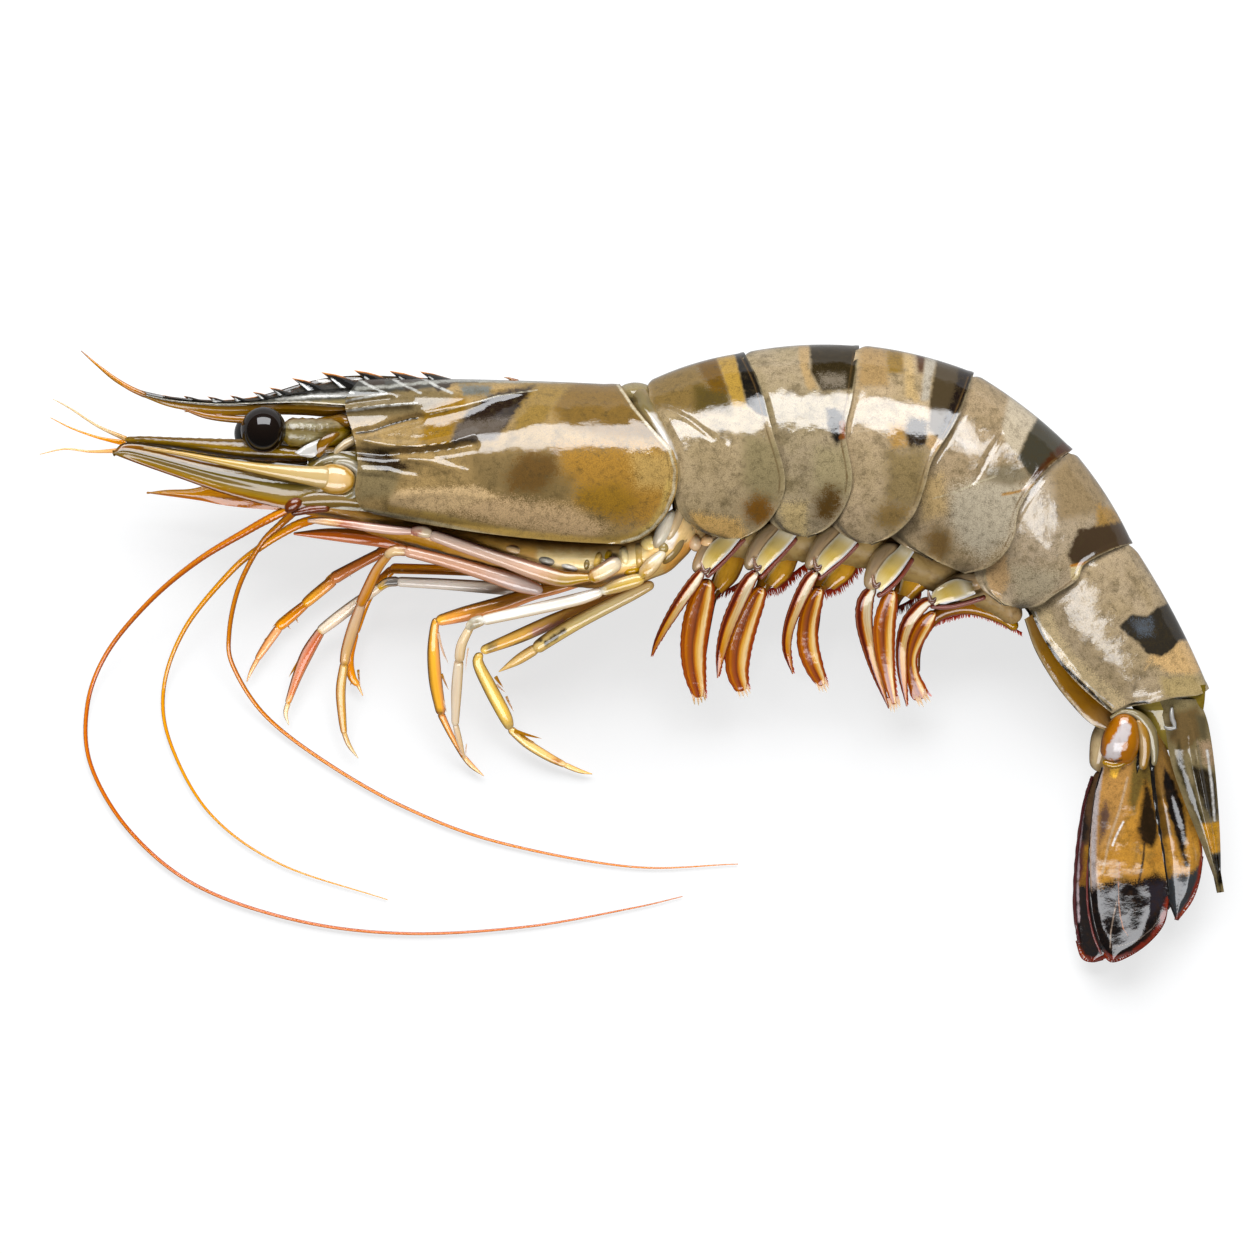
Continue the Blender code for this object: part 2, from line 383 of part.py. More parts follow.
def ring_solid(name, front, rear, halves, stations=5, crown=0.5, rows=RING_ROWS, belly_row=RING_BELLY_ROW,
               middle=None, finish="shell"):
    """A shell ring that is filled with flesh down to the belly, with its side plates hanging lower."""
    front_rows = smooth_through(front, rows + 1)
    rear_rows = smooth_through(rear, rows + 1)
    corners = []
    for station in range(stations):
        share = station / (stations - 1)
        half = halves[0] + (halves[1] - halves[0]) * min(1.0, share * 2.0)
        centre = half if middle is None else middle
        plan = front_rows + (rear_rows - front_rows) * share
        outward = plan[0] - plan[2]
        outward /= np.linalg.norm(outward)
        plan = plan + np.outer(np.linspace(1.0, 0.0, rows + 1), outward) * crown * 4 * share * (1 - share)
        depths = np.linalg.norm(plan - plan[0], axis=1)
        heights = [half * row_height(depth, depths[-1], half) for depth in depths]
        upper = [(plan[row][0], plan[row][1], centre + heights[row]) for row in range(rows + 1)]
        lower = [(plan[row][0], plan[row][1], centre - heights[row]) for row in range(rows + 1)]
        inner = [(plan[row][0], plan[row][1], heights[row] - SHELL_WALL) for row in range(rows + 1)]
        ring = [upper[row] for row in range(rows + 1)]
        ring += [(inner[row][0], inner[row][1], centre + inner[row][2])
                 for row in range(rows, belly_row - 1, -1)]
        ring += [(inner[row][0], inner[row][1], centre - inner[row][2])
                 for row in range(belly_row, rows + 1)]
        ring += [lower[row] for row in range(rows, 0, -1)]
        corners += ring
    size = len(corners) // stations
    faces = bridge(stations, size)[:-2]
    hang = rows - belly_row + 1
    for base in (0, (stations - 1) * size):
        faces += end_faces(base, rows, belly_row, hang, size)
    return make_object(name, corners, faces, finish)


def end_faces(base, rows, belly_row, hang, size):
    """The end of a ring, as strips between its two sides, so that it follows the edge of the shell."""

    def upper(row):
        return base + row

    def lower(row):
        return base + (size - row) % size

    def upper_inner(row):
        return base + rows + 1 + (rows - row)

    def lower_inner(row):
        return base + rows + 1 + hang + (row - belly_row)

    faces = [(upper(0), upper(1), lower(1))]
    for row in range(1, belly_row - 1):
        faces.append((upper(row), upper(row + 1), lower(row + 1), lower(row)))
    faces.append((upper(belly_row - 1), upper(belly_row), upper_inner(belly_row),
                  lower_inner(belly_row), lower(belly_row), lower(belly_row - 1)))
    for row in range(belly_row, rows):
        faces.append((upper(row), upper(row + 1), upper_inner(row + 1), upper_inner(row)))
        faces.append((lower(row), lower(row + 1), lower_inner(row + 1), lower_inner(row)))
    return faces


def leaf_solid(name, upper_edge, lower_edge, heights, thickness, finish, stations=9):
    """A thin leaf with a lens section between two edges in the plan."""
    upper = smooth_through(upper_edge, stations)
    lower = smooth_through(lower_edge, stations)
    corners = []
    for station in range(stations):
        share = station / (stations - 1)
        height = heights[0] + (heights[1] - heights[0]) * share
        bulge = thickness / 2 * (1.0 - 0.5 * share)
        for across, lift in ((0.0, 0.0), (0.2, 1.0), (0.8, 1.0), (1.0, 0.0), (0.8, -1.0), (0.2, -1.0)):
            point = upper[station] + (lower[station] - upper[station]) * across
            corners.append((point[0], point[1], height + lift * bulge))
    return make_object(name, corners, bridge(stations, 6), finish)


def join_into(piece, helpers):
    """Unite helper solids with a piece. The helpers stay hidden."""
    for helper in helpers:
        union = piece.modifiers.new("join", "BOOLEAN")
        union.operation = "UNION"
        union.solver = "EXACT"
        union.object = helper
        helper.hide_render = True
        helper.display_type = "WIRE"
    return piece


def build_carapace():
    """Head shield with the toothed rostrum that grows out of it."""
    shield = ring_solid("carapace", CARAPACE_FRONT, CARAPACE_REAR, CARAPACE_HALF, stations=9, crown=0.4,
                        rows=SHIELD_ROWS, belly_row=SHIELD_BELLY_ROW, middle=BODY_HALF_WIDTH)
    outline = [tuple(point) for point in smooth_through(ROSTRUM_BOTTOM, 12)][::-1]
    top = [tuple(point) for point in smooth_through(ROSTRUM_TOP, 20)]
    for tip_x, tip_y in ROSTRUM_TEETH:
        top = [point for point in top if not tip_x - 0.2 < point[0] < tip_x + 2.4]
        edge_y = np.interp(tip_x + 0.9, [p[0] for p in top], [p[1] for p in top])
        top += [(tip_x, tip_y), (tip_x + 0.9, edge_y), (tip_x + 2.2, edge_y + 0.35)]
        top.sort(key=lambda point: point[0] if point[1] != tip_y else tip_x)
    outline = top + outline[::-1]
    count = len(outline)
    blade_corners = [(x, y, BODY_HALF_WIDTH + lift)
                     for lift in (-ROSTRUM_HALF, ROSTRUM_HALF) for x, y in outline]
    sides = [(i, (i + 1) % count, count + (i + 1) % count, count + i) for i in range(count)]
    blade_faces = sides + [tuple(range(count)), tuple(range(count, 2 * count))]
    blade = make_object("rostrum_blade", blade_corners, blade_faces, "shell")
    corners, faces = sweep(smooth_through(CARINA_PATH, 12), TUBE_SIDES)
    carina = make_object("rostrum_carina", corners, faces, "shell")
    join_into(shield, [carina, blade])


def build_abdomen():
    """The six shell rings of the tail."""
    for name, (front, rear, halves) in RINGS.items():
        ring_solid(name, front, rear, halves, crown=0.7, middle=RING_MIDDLES.get(name))


def build_soft_bodies():
    """The waist behind the head shield, the chest between the leg bases and the soft belly."""
    ring_solid("waist", WAIST_FRONT, WAIST_REAR, (WAIST_HALF, WAIST_HALF), stations=2, crown=0.0,
               middle=BODY_HALF_WIDTH, finish="flesh")
    corners, faces = sweep(smooth_through(THORAX_PATH, 14), CHEST_SIDES)
    make_object("thorax", corners, faces, "flesh")
    corners, faces = sweep(smooth_through(BELLY_PATH, 12), TUBE_SIDES)
    make_object("belly", corners, faces, "flesh")


def build_eyes():
    """Both eyes on their stalks."""
    for side, (centre, radius) in EYES.items():
        bpy.ops.mesh.primitive_uv_sphere_add(segments=14, ring_count=9, radius=radius * MM,
                                             location=[value * MM for value in centre])
        ball = bpy.context.object
        ball.name = f"eye_{side}"
        ball.data.materials.append(material_for("eye"))
        ball.data.shade_smooth()
        corners, faces = sweep(smooth_through(EYESTALKS[side], 5), TUBE_SIDES)
        make_object(f"eyestalk_{side}", corners, faces, "flesh")


def build_head_parts():
    """Feeler stems, short feelers, antennal scales and the base of the antenna."""
    for side, path in PEDUNCLES.items():
        corners, faces = sweep(smooth_through(path, 8), LIMB_SIDES)
        make_object(f"antennule_{side}", corners, faces, "shell")
    for name, path in FLAGELLA.items():
        stations = [(x, y, z, width, width) for x, y, z, width in smooth_through(path, 6)]
        corners, faces = sweep(stations, LIMB_SIDES)
        make_object(name, corners, faces, "feeler")
    corners, faces = sweep(ANTENNA_BASE, TUBE_SIDES)
    make_object("antenna_base_near", corners, faces, "shell")


def build_leaves():
    """Antennal scales and the blades of the tail fan."""
    for name, (upper_edge, lower_edge, heights, thickness) in LEAVES.items():
        finish = "fan" if name.startswith("uropod") else "shell"
        leaf_solid(name, upper_edge, lower_edge, heights, thickness, finish)
    for side, path in UROPOD_STEMS.items():
        corners, faces = sweep(smooth_through(path, 6), TUBE_SIDES)
        make_object(f"uropod_stem_{side}", corners, faces, "fan")


def build_telson():
    """The pointed tail piece, a trough with a ridge along its back."""
    stations = 9
    ridge = smooth_through(TELSON_RIDGE, stations)
    edge = smooth_through(TELSON_EDGE, stations)
    corners = []
    for station in range(stations):
        share = station / (stations - 1)
        half = TELSON_HALF[0] + (TELSON_HALF[1] - TELSON_HALF[0]) * share
        middle = TELSON_MID[0] + (TELSON_MID[1] - TELSON_MID[0]) * share
        back = ridge[station]
        side = edge[station]
        reach = side - back
        wall = 0.28 * half
        for across, lift in ((0.0, 0.0), (0.3, 0.8), (1.0, 1.0)):
            point = back + reach * across
            corners.append((point[0], point[1], middle + lift * half))
        for across, lift in ((1.0, 1.0), (0.42, 0.5), (0.42, -0.5), (1.0, -1.0)):
            point = back + reach * across
            inset = wall if lift > 0 else -wall
            corners.append((point[0], point[1], middle + lift * half - inset))
        for across, lift in ((1.0, -1.0), (0.3, -0.8)):
            point = back + reach * across
            corners.append((point[0], point[1], middle + lift * half))
    make_object("telson", corners, bridge(stations, 9), "fan")


def build_legs():
    """Walking legs and the last pair of jaw legs."""
    for name, path in LEGS.items():
        stations = [(x, y, z, width, width * LEG_FLATNESS) for x, y, z, width in path]
        corners, faces = sweep(stations, LIMB_SIDES)
        make_object(name, corners, faces, "leg")


def build_swimmerets():
    """A stem and two blades for each near swimmeret, one tapering limb for each far one."""
    for name, paths in SWIMMERETS.items():
        solids = []
        for number, path in enumerate(paths):
            is_stem = number == 0 and len(paths) > 1
            corners, faces = sweep(smooth_through(path, 5 if is_stem else 8), LIMB_SIDES)
            solid_name = name if number == 0 else f"{name}_blade_{number}"
            solids.append(make_object(solid_name, corners, faces, "swimmeret"))
        join_into(solids[0], solids[1:])


def build_feelers():
    """The three long feelers that sweep back below the body."""
    for name, path in WHIPS.items():
        stations = [(x, y, z, width, width) for x, y, z, width in smooth_through(path, WHIP_STATIONS[name])]
        corners, faces = sweep(stations, LIMB_SIDES)
        make_object(name, corners, faces, "feeler")


def main():
    for old in list(bpy.data.objects):
        bpy.data.objects.remove(old)
    build_carapace()
    build_abdomen()
    build_soft_bodies()
    build_eyes()
    build_head_parts()
    build_leaves()
    build_telson()
    build_legs()
    build_swimmerets()
    build_feelers()


main()
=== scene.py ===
import json
import math
import random

import bpy
import numpy as np
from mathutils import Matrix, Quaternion, Vector

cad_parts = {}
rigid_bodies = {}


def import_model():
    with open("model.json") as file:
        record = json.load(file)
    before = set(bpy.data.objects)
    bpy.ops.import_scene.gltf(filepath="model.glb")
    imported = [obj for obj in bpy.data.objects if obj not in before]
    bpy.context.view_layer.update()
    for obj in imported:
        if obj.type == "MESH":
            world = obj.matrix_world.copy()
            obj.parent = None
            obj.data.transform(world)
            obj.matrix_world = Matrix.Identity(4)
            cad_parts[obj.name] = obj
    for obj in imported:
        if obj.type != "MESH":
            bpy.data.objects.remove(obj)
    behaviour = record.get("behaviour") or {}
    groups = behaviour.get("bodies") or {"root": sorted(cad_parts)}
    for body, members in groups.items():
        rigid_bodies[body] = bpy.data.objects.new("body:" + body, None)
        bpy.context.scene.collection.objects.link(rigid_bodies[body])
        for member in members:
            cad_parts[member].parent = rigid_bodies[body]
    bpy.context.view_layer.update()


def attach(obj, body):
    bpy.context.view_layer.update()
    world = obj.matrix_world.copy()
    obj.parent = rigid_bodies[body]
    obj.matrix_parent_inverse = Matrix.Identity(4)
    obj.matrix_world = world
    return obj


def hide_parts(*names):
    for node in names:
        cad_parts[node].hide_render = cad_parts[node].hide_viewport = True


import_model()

mm = 0.001
dim = 0.75               # every painted tone is held back to this share, because the wet skin adds light
chance = random.Random(7)


# small tools: curves, fields, grids
def curveThrough(points):  # a smooth curve through a few given points
    given = np.array(points, float)
    padded = np.vstack([2 * given[0] - given[1], given, 2 * given[-1] - given[-2]])
    curve = []
    for span in range(len(given) - 1):
        before, start, end, after = padded[span:span + 4]
        for t in np.linspace(0, 1, 16, endpoint=False):
            curve.append(0.5 * (2 * start + (end - before) * t
                                + (2 * before - 5 * start + 4 * end - after) * t ** 2
                                + (3 * start - before - 3 * end + after) * t ** 3))
    curve = np.array(curve + [given[-1]])
    run = np.concatenate([[0], np.cumsum(np.linalg.norm(np.diff(curve[:, :2], axis=0), axis=1))])
    return run / run[-1], curve


def readCurve(points, share):  # the curve's values at these shares of its length
    run, curve = curveThrough(points)
    return np.stack([np.interp(share, run, curve[:, axis]) for axis in range(curve.shape[1])], axis=1)


def lineDistance(x, y, points):  # millimetres from each spot to an open line
    nearest = np.full(len(x), 99.0)
    for (ax, ay), (bx, by) in zip(points[:-1], points[1:]):
        dx, dy = bx - ax, by - ay
        share = np.clip(((x - ax) * dx + (y - ay) * dy) / (dx * dx + dy * dy), 0, 1)
        nearest = np.minimum(nearest, np.hypot(x - ax - share * dx, y - ay - share * dy))
    return nearest


def areaDistance(x, y, points):  # the same to a closed outline, negative inside
    nearest = lineDistance(x, y, points + points[:1])
    inside = np.zeros(len(x), bool)
    for (ax, ay), (bx, by) in zip(points, points[1:] + points[:1]):
        crosses = (ay > y) != (by > y)
        inside ^= crosses & (x < (bx - ax) * (y - ay) / (by - ay + 1e-12) + ax)
    return np.where(inside, -nearest, nearest)


def easeIn(value, low, high):
    share = np.clip((value - low) / (high - low), 0, 1)
    return share * share * (3 - 2 * share)


def giveField(piece, name, values):
    layer = piece.data.attributes.new(name, "FLOAT", "POINT")
    layer.data.foreach_set("value", np.asarray(values, np.float32))


def addGrid(name, along, across, place):  # a grid primitive whose corners are put in place by a rule
    bpy.ops.object.select_all(action="DESELECT")
    bpy.ops.mesh.primitive_grid_add(x_subdivisions=along, y_subdivisions=across, size=1)
    piece = bpy.context.object
    piece.name = name
    piece.data.name = name
    spots = np.empty(len(piece.data.vertices) * 3)
    piece.data.vertices.foreach_get("co", spots)
    spots = spots.reshape(-1, 3) + 0.5
    x, y, z = place(spots[:, 0], spots[:, 1])
    piece.data.vertices.foreach_set("co", (np.stack([x, y, z], axis=1) * mm).ravel())
    piece.data.update()
    return piece, spots[:, 0], spots[:, 1]


def weld(piece):  # closes a tube's seam and ends, then turns every face outwards
    bpy.context.view_layer.objects.active = piece
    piece.select_set(True)
    bpy.ops.object.mode_set(mode="EDIT")
    bpy.ops.mesh.select_all(action="SELECT")
    bpy.ops.mesh.remove_doubles(threshold=0.002 * mm)
    bpy.ops.mesh.normals_make_consistent(inside=False)
    bpy.ops.object.mode_set(mode="OBJECT")


def giveWall(piece, thickness):  # shell thickness, inwards
    wall = piece.modifiers.new("wall", "SOLIDIFY")
    wall.thickness = thickness * mm
    wall.offset = -1
    bpy.context.view_layer.objects.active = piece
    bpy.ops.object.modifier_apply(modifier="wall")


def addTube(name, path, rings=None, sides=20, start=0.0, end=0.0, power=1.0, wiggle=None, span=(0.0, 1.0)):
    # each path point is x, y, height, width and, if not round, thickness
    path = [tuple(point) + ((point[3] * 0.9,) if len(point) == 4 else ()) for point in path]
    run, curve = curveThrough(path)
    reach = np.concatenate([[0], np.cumsum(np.linalg.norm(np.diff(curve[:, :3], axis=0), axis=1))])
    length = reach[-1]
    rings = rings or max(8, int(length / 0.4))
    roundStart = start * path[0][3] / length
    roundEnd = end * path[-1][3] / length

    def spine(share):
        share = np.clip(share, 0, 1)
        return np.stack([np.interp(share, reach / length, curve[:, axis]) for axis in range(5)], axis=1)

    def place(u, v):
        u = 0.5 - 0.5 * np.cos(u * math.pi) if start or end else u
        here = spine(u)
        along = spine(u + 0.01)[:, :3] - spine(u - 0.01)[:, :3]
        along /= np.linalg.norm(along, axis=1)[:, None]
        across = np.cross(along, (0, 0, 1.0))
        across /= np.linalg.norm(across, axis=1)[:, None]
        rise = np.cross(across, along)
        turn = v * math.tau
        wide = np.sign(np.cos(turn)) * np.abs(np.cos(turn)) ** power
        high = np.sign(np.sin(turn)) * np.abs(np.sin(turn)) ** power
        swell = np.ones(len(u))
        if roundStart:
            swell *= np.sqrt(np.clip(1 - (1 - np.clip(u / roundStart, 0, 1)) ** 2, 0, 1))
        if roundEnd:
            swell *= np.sqrt(np.clip(1 - (1 - np.clip((1 - u) / roundEnd, 0, 1)) ** 2, 0, 1))
        if wiggle is not None:
            swell = swell * (1 + wiggle(u * length, turn))
        spots = (here[:, :3] + across * (wide * here[:, 3] / 2 * swell)[:, None]
                 + rise * (high * here[:, 4] / 2 * swell)[:, None])
        return spots[:, 0], spots[:, 1], spots[:, 2]
    piece, u, v = addGrid(name, rings, sides, place)
    giveField(piece, "along", span[0] + (span[1] - span[0]) * u)
    giveField(piece, "across", 0.5 + 0.5 * np.cos(v * math.tau))
    weld(piece)
    return piece


def lengthOf(points):
    plan = np.array([point[:3] for point in points], float)
    return float(np.sum(np.linalg.norm(np.diff(plan, axis=0), axis=1)))


def joinAll(name, pieces):
    bpy.ops.object.select_all(action="DESELECT")
    for piece in pieces:
        piece.select_set(True)
    bpy.context.view_layer.objects.active = pieces[0]
    if len(pieces) > 1:
        bpy.ops.object.join()
    pieces[0].name = name
    pieces[0].data.name = name
    return pieces[0]


def addLimb(name, articles, sides=20, power=1.0, ends=0.6, wiggle=None):
    # jointed limb, one rounded tube per article
    total = sum(lengthOf(article) for article in articles)
    pieces, done = [], 0.0
    for index, article in enumerate(articles):
        size = lengthOf(article)
        pieces.append(addTube(f"{name}_{index}", article, None, sides, ends,
                              ends if index < len(articles) - 1 else 0.3,
                              power, wiggle, (done / total, (done + size) / total)))
        done += size
    return joinAll(name, pieces)


def addLeaf(name, left, right, heights, wall, dome=0.6, along=60, across=40, extra=None):
    def place(u, v):
        plan = readCurve(left, u) * (1 - v)[:, None] + readCurve(right, u) * v[:, None]
        z = np.interp(u, np.linspace(0, 1, len(heights)), heights) + dome * (1 - (2 * v - 1) ** 2)
        if extra:
            z = z + extra(plan[:, 0], plan[:, 1], u, v)
        return plan[:, 0], plan[:, 1], z
    piece, u, v = addGrid(name, along, across, place)
    giveField(piece, "along", u)
    giveField(piece, "across", v)
    giveWall(piece, wall)
    weld(piece)
    return piece


def addBristles(name, hairs):  # thin tapering hairs: root, tip, width at the root, sag
    corners, faces, alongs = [], [], []
    for root, tip, width, sag in hairs:
        root, tip = np.array(root, float), np.array(tip, float)
        side = np.cross(tip - root, (0, 0, 1.0))
        side /= np.linalg.norm(side) + 1e-9
        rise = np.cross(side, (tip - root) / (np.linalg.norm(tip - root) + 1e-9))
        first = len(corners)
        for step in range(4):
            share = step / 4
            middle = root + (tip - root) * share + side * sag * share * (1 - share) * 4
            radius = width / 2 * (1 - share * 0.8)
            for turn in (0.5, 2.6, 4.7):
                corners.append(middle + side * radius * math.cos(turn) + rise * radius * math.sin(turn))
                alongs.append(share)
        corners.append(tip)
        alongs.append(1.0)
        faces.append([first + 2, first + 1, first])
        for step in range(3):
            for corner in range(3):
                low, near = first + step * 3 + corner, first + step * 3 + (corner + 1) % 3
                faces.append([low, near, near + 3, low + 3])
        for corner in range(3):
            faces.append([first + 9 + corner, first + 9 + (corner + 1) % 3, first + 12])
    mesh = bpy.data.meshes.new(name)
    mesh.from_pydata([tuple(corner * mm) for corner in corners], [], faces)
    piece = bpy.data.objects.new(name, mesh)
    bpy.context.collection.objects.link(piece)
    giveField(piece, "along", alongs)
    giveField(piece, "across", [0.5] * len(alongs))
    weld(piece)
    return piece


def addBall(name, centre, radii, tilt=0.0, segments=40):
    bpy.ops.object.select_all(action="DESELECT")
    bpy.ops.mesh.primitive_uv_sphere_add(segments=segments, ring_count=segments // 2, radius=mm)
    piece = bpy.context.object
    piece.name = name
    piece.data.name = name
    spots = np.empty(len(piece.data.vertices) * 3)
    piece.data.vertices.foreach_get("co", spots)
    spots = spots.reshape(-1, 3) * radii
    turned = np.stack([spots[:, 0] * math.cos(tilt) - spots[:, 1] * math.sin(tilt),
                       spots[:, 0] * math.sin(tilt) + spots[:, 1] * math.cos(tilt), spots[:, 2]], axis=1)
    piece.data.vertices.foreach_set("co", (turned + np.array(centre) * mm).ravel())
    giveField(piece, "along", np.clip(spots[:, 0] / mm / radii[0] / 2 + 0.5, 0, 1))
    giveField(piece, "across", np.clip(spots[:, 1] / mm / radii[1] / 2 + 0.5, 0, 1))
    return piece


def planOf(piece):
    spots = np.empty(len(piece.data.vertices) * 3)
    piece.data.vertices.foreach_get("co", spots)
    spots = spots.reshape(-1, 3) / mm
    return spots[:, 0], spots[:, 1], spots[:, 2]


def paintMarks(piece, marks):  # each mark's distance field in millimetres, kept on the mesh
    x, y, _ = planOf(piece)
    for index, shapes in enumerate(marks):
        field = np.full(len(x), 99.0)
        for shape in shapes["shapes"]:
            if shapes.get("line"):
                field = np.minimum(field, lineDistance(x, y, shape) - shapes["line"] / 2)
            else:
                field = np.minimum(field, areaDistance(x, y, shape))
        giveField(piece, f"mark{index}", np.clip(field, -6, 6))


def finishPiece(piece, nodes=(), material=None, smooth=50):
    bpy.ops.object.select_all(action="DESELECT")
    piece.select_set(True)
    bpy.context.view_layer.objects.active = piece
    bpy.ops.object.shade_smooth_by_angle(angle=math.radians(smooth))
    if material:
        piece.data.materials.clear()
        piece.data.materials.append(material)
    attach(piece, "root")
    if nodes:
        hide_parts(*nodes)
    return piece


# materials
def colour(code, light=1.0):  # sRGB hex to linear
    parts = [int(code[i:i + 2], 16) / 255 for i in (1, 3, 5)]
    parts = [p / 12.92 if p <= 0.04045 else ((p + 0.055) / 1.055) ** 2.4 for p in parts]
    parts = [dim * light * part for part in parts]
    return tuple(part / max(1.0, max(parts) / 0.85) for part in parts) + (1.0,)


def addNode(tree, kind, settings=None, links=None):
    node = tree.nodes.new("ShaderNode" + kind)
    for key, value in (settings or {}).items():
        if isinstance(key, str) and hasattr(node, key):
            setattr(node, key, value)
        else:
            node.inputs[key].default_value = value
    for key, socket in (links or {}).items():
        tree.links.new(socket, node.inputs[key])
    return node


def newMaterial(name, gloss):
    material = bpy.data.materials.new(name)
    material.use_nodes = True
    tree = material.node_tree
    shader = tree.nodes["Principled BSDF"]
    for key, value in gloss.items():
        shader.inputs[key].default_value = value
    return material, tree, shader


def mixIn(tree, under, over, share):
    settings, links = {"data_type": "RGBA"}, {}
    for slot, value in ((6, under), (7, over), (0, share)):
        if isinstance(value, (tuple, float)):
            settings[slot] = value
        else:
            links[slot] = value
    return addNode(tree, "Mix", settings, links).outputs[2]


def mark(tone, *shapes, **rest):
    return {"tone": tone, "shapes": list(shapes), **rest}


def markAmount(tree, index, one, edge, dust=None):  # how strongly a mark shows, its rim frayed or stippled
    field = addNode(tree, "Attribute", {"attribute_name": f"mark{index}"}).outputs["Fac"]
    wobble, soft = one.get("wobble", 0.6), one.get("soft", 0.4)
    moved = addNode(tree, "Math", {"operation": "MULTIPLY_ADD", 1: wobble * 2}, {0: edge, 2: field})
    if dust and soft >= 0.6:
        moved = addNode(tree, "Math", {"operation": "MULTIPLY_ADD", 1: soft * 3.0},
                        {0: dust, 2: moved.outputs[0]})
        wobble, soft = wobble + soft * 1.5, soft * 0.75
    return addNode(tree, "MapRange", {"interpolation_type": "SMOOTHSTEP", "From Min": wobble - soft,
                                      "From Max": wobble + soft, "To Min": one.get("share", 1.0),
                                      "To Max": 0.0},
                   {"Value": moved.outputs[0]}).outputs["Result"]


wetShell = {"Roughness": 0.5, "IOR": 1.45, "Specular IOR Level": 0.03, "Coat Weight": 1.0,
            "Coat Roughness": 0.02, "Coat IOR": 1.58}
wetLimb = {**wetShell, "Subsurface Weight": 0.06, "Subsurface Radius": (1.0, 0.55, 0.3),
           "Subsurface Scale": 1.2 * mm}


def shellSkin(name, base, mottle, marks, gloss=None, grain=0.17, grainDark="#4A3D22", grainShare=0.5,
              relief=0.028, patch=5.5):
    # wet chitin over flesh: milky pigment, a fine dark grain, and a clear skin that gives sharp highlights
    material, tree, shader = newMaterial(name, {**wetShell, **(gloss or {})})
    place = addNode(tree, "TexCoord").outputs["Object"]
    broad = addNode(tree, "TexNoise", {"Scale": 1 / (patch * mm), "Detail": 4.0, "Roughness": 0.6},
                    {"Vector": place})
    edge = addNode(tree, "TexNoise", {"Scale": 1 / (1.0 * mm), "Detail": 5.0, "Roughness": 0.62},
                   {"Vector": place})
    dust = addNode(tree, "TexNoise", {"Scale": 1 / (grain * mm), "Detail": 2.0, "Roughness": 0.65},
                   {"Vector": place})
    drift = addNode(tree, "MapRange", {"From Min": 0.36, "From Max": 0.66}, {"Value": broad.outputs["Fac"]})
    tone = mixIn(tree, colour(base), colour(mottle), drift.outputs["Result"])
    haze = addNode(tree, "TexNoise", {"Scale": 1 / (2.4 * mm), "Detail": 4.0, "Roughness": 0.65},
                   {"Vector": place})
    murk = addNode(tree, "MapRange", {"From Min": 0.5, "From Max": 0.68, "To Max": 0.48},
                   {"Value": haze.outputs["Fac"]})
    tone = mixIn(tree, tone, colour("#5C4C28"), murk.outputs["Result"])
    for index, one in enumerate(marks):
        tone = mixIn(tree, tone, colour(one["tone"]),
                     markAmount(tree, index, one, edge.outputs["Fac"], dust.outputs["Fac"]))
    smoke = addNode(tree, "MapRange", {"From Min": 0.5, "From Max": 0.7, "To Max": 0.38},
                    {"Value": edge.outputs["Fac"]})
    tone = mixIn(tree, tone, colour(grainDark), smoke.outputs["Result"])
    cloud = addNode(tree, "MapRange", {"From Min": 0.3, "From Max": 0.72, "To Min": 0.4},
                    {"Value": edge.outputs["Fac"]})
    specks = addNode(tree, "MapRange", {"From Min": 0.48, "From Max": 0.62, "To Max": grainShare},
                     {"Value": dust.outputs["Fac"]})
    share = addNode(tree, "Math", {"operation": "MULTIPLY"},
                    {0: specks.outputs["Result"], 1: cloud.outputs["Result"]})
    tone = mixIn(tree, tone, colour(grainDark), share.outputs[0])
    lift = addNode(tree, "MapRange", {"From Min": 0.46, "From Max": 0.3, "To Max": 0.3},
                   {"Value": dust.outputs["Fac"]})
    bright = addNode(tree, "HueSaturation", {"Value": 1.5}, {"Color": tone})
    tone = mixIn(tree, tone, bright.outputs["Color"], lift.outputs["Result"])
    thread = addNode(tree, "TexNoise", {"Scale": 1 / (2.6 * mm), "Detail": 3.0, "Roughness": 0.55,
                                        "Distortion": 0.8},
                     {"Vector": place})
    away = addNode(tree, "Math", {"operation": "SUBTRACT", 1: 0.5}, {0: thread.outputs["Fac"]})
    near = addNode(tree, "Math", {"operation": "ABSOLUTE"}, {0: away.outputs[0]})
    vein = addNode(tree, "MapRange", {"From Min": 0.004, "From Max": 0.014, "To Min": 0.3, "To Max": 0.0},
                   {"Value": near.outputs[0]})
    thin = addNode(tree, "Math", {"operation": "MULTIPLY"},
                   {0: vein.outputs["Result"], 1: cloud.outputs["Result"]})
    tone = mixIn(tree, tone, colour(grainDark), thin.outputs[0])
    tree.links.new(tone, shader.inputs["Base Color"])
    fine = addNode(tree, "Bump", {"Strength": 0.6, "Distance": 0.03 * mm}, {"Height": dust.outputs["Fac"]})
    tree.links.new(fine.outputs["Normal"], shader.inputs["Normal"])
    swell = addNode(tree, "TexNoise", {"Scale": 1 / (3.4 * mm), "Detail": 1.0, "Roughness": 0.4},
                    {"Vector": place})
    dents = addNode(tree, "Bump", {"Strength": 1.0, "Distance": relief * 6 * mm},
                    {"Height": swell.outputs["Fac"]})
    wet = addNode(tree, "Bump", {"Strength": 1.0, "Distance": relief * mm},
                  {"Height": edge.outputs["Fac"], "Normal": dents.outputs["Normal"]})
    tree.links.new(wet.outputs["Normal"], shader.inputs["Coat Normal"])
    return material


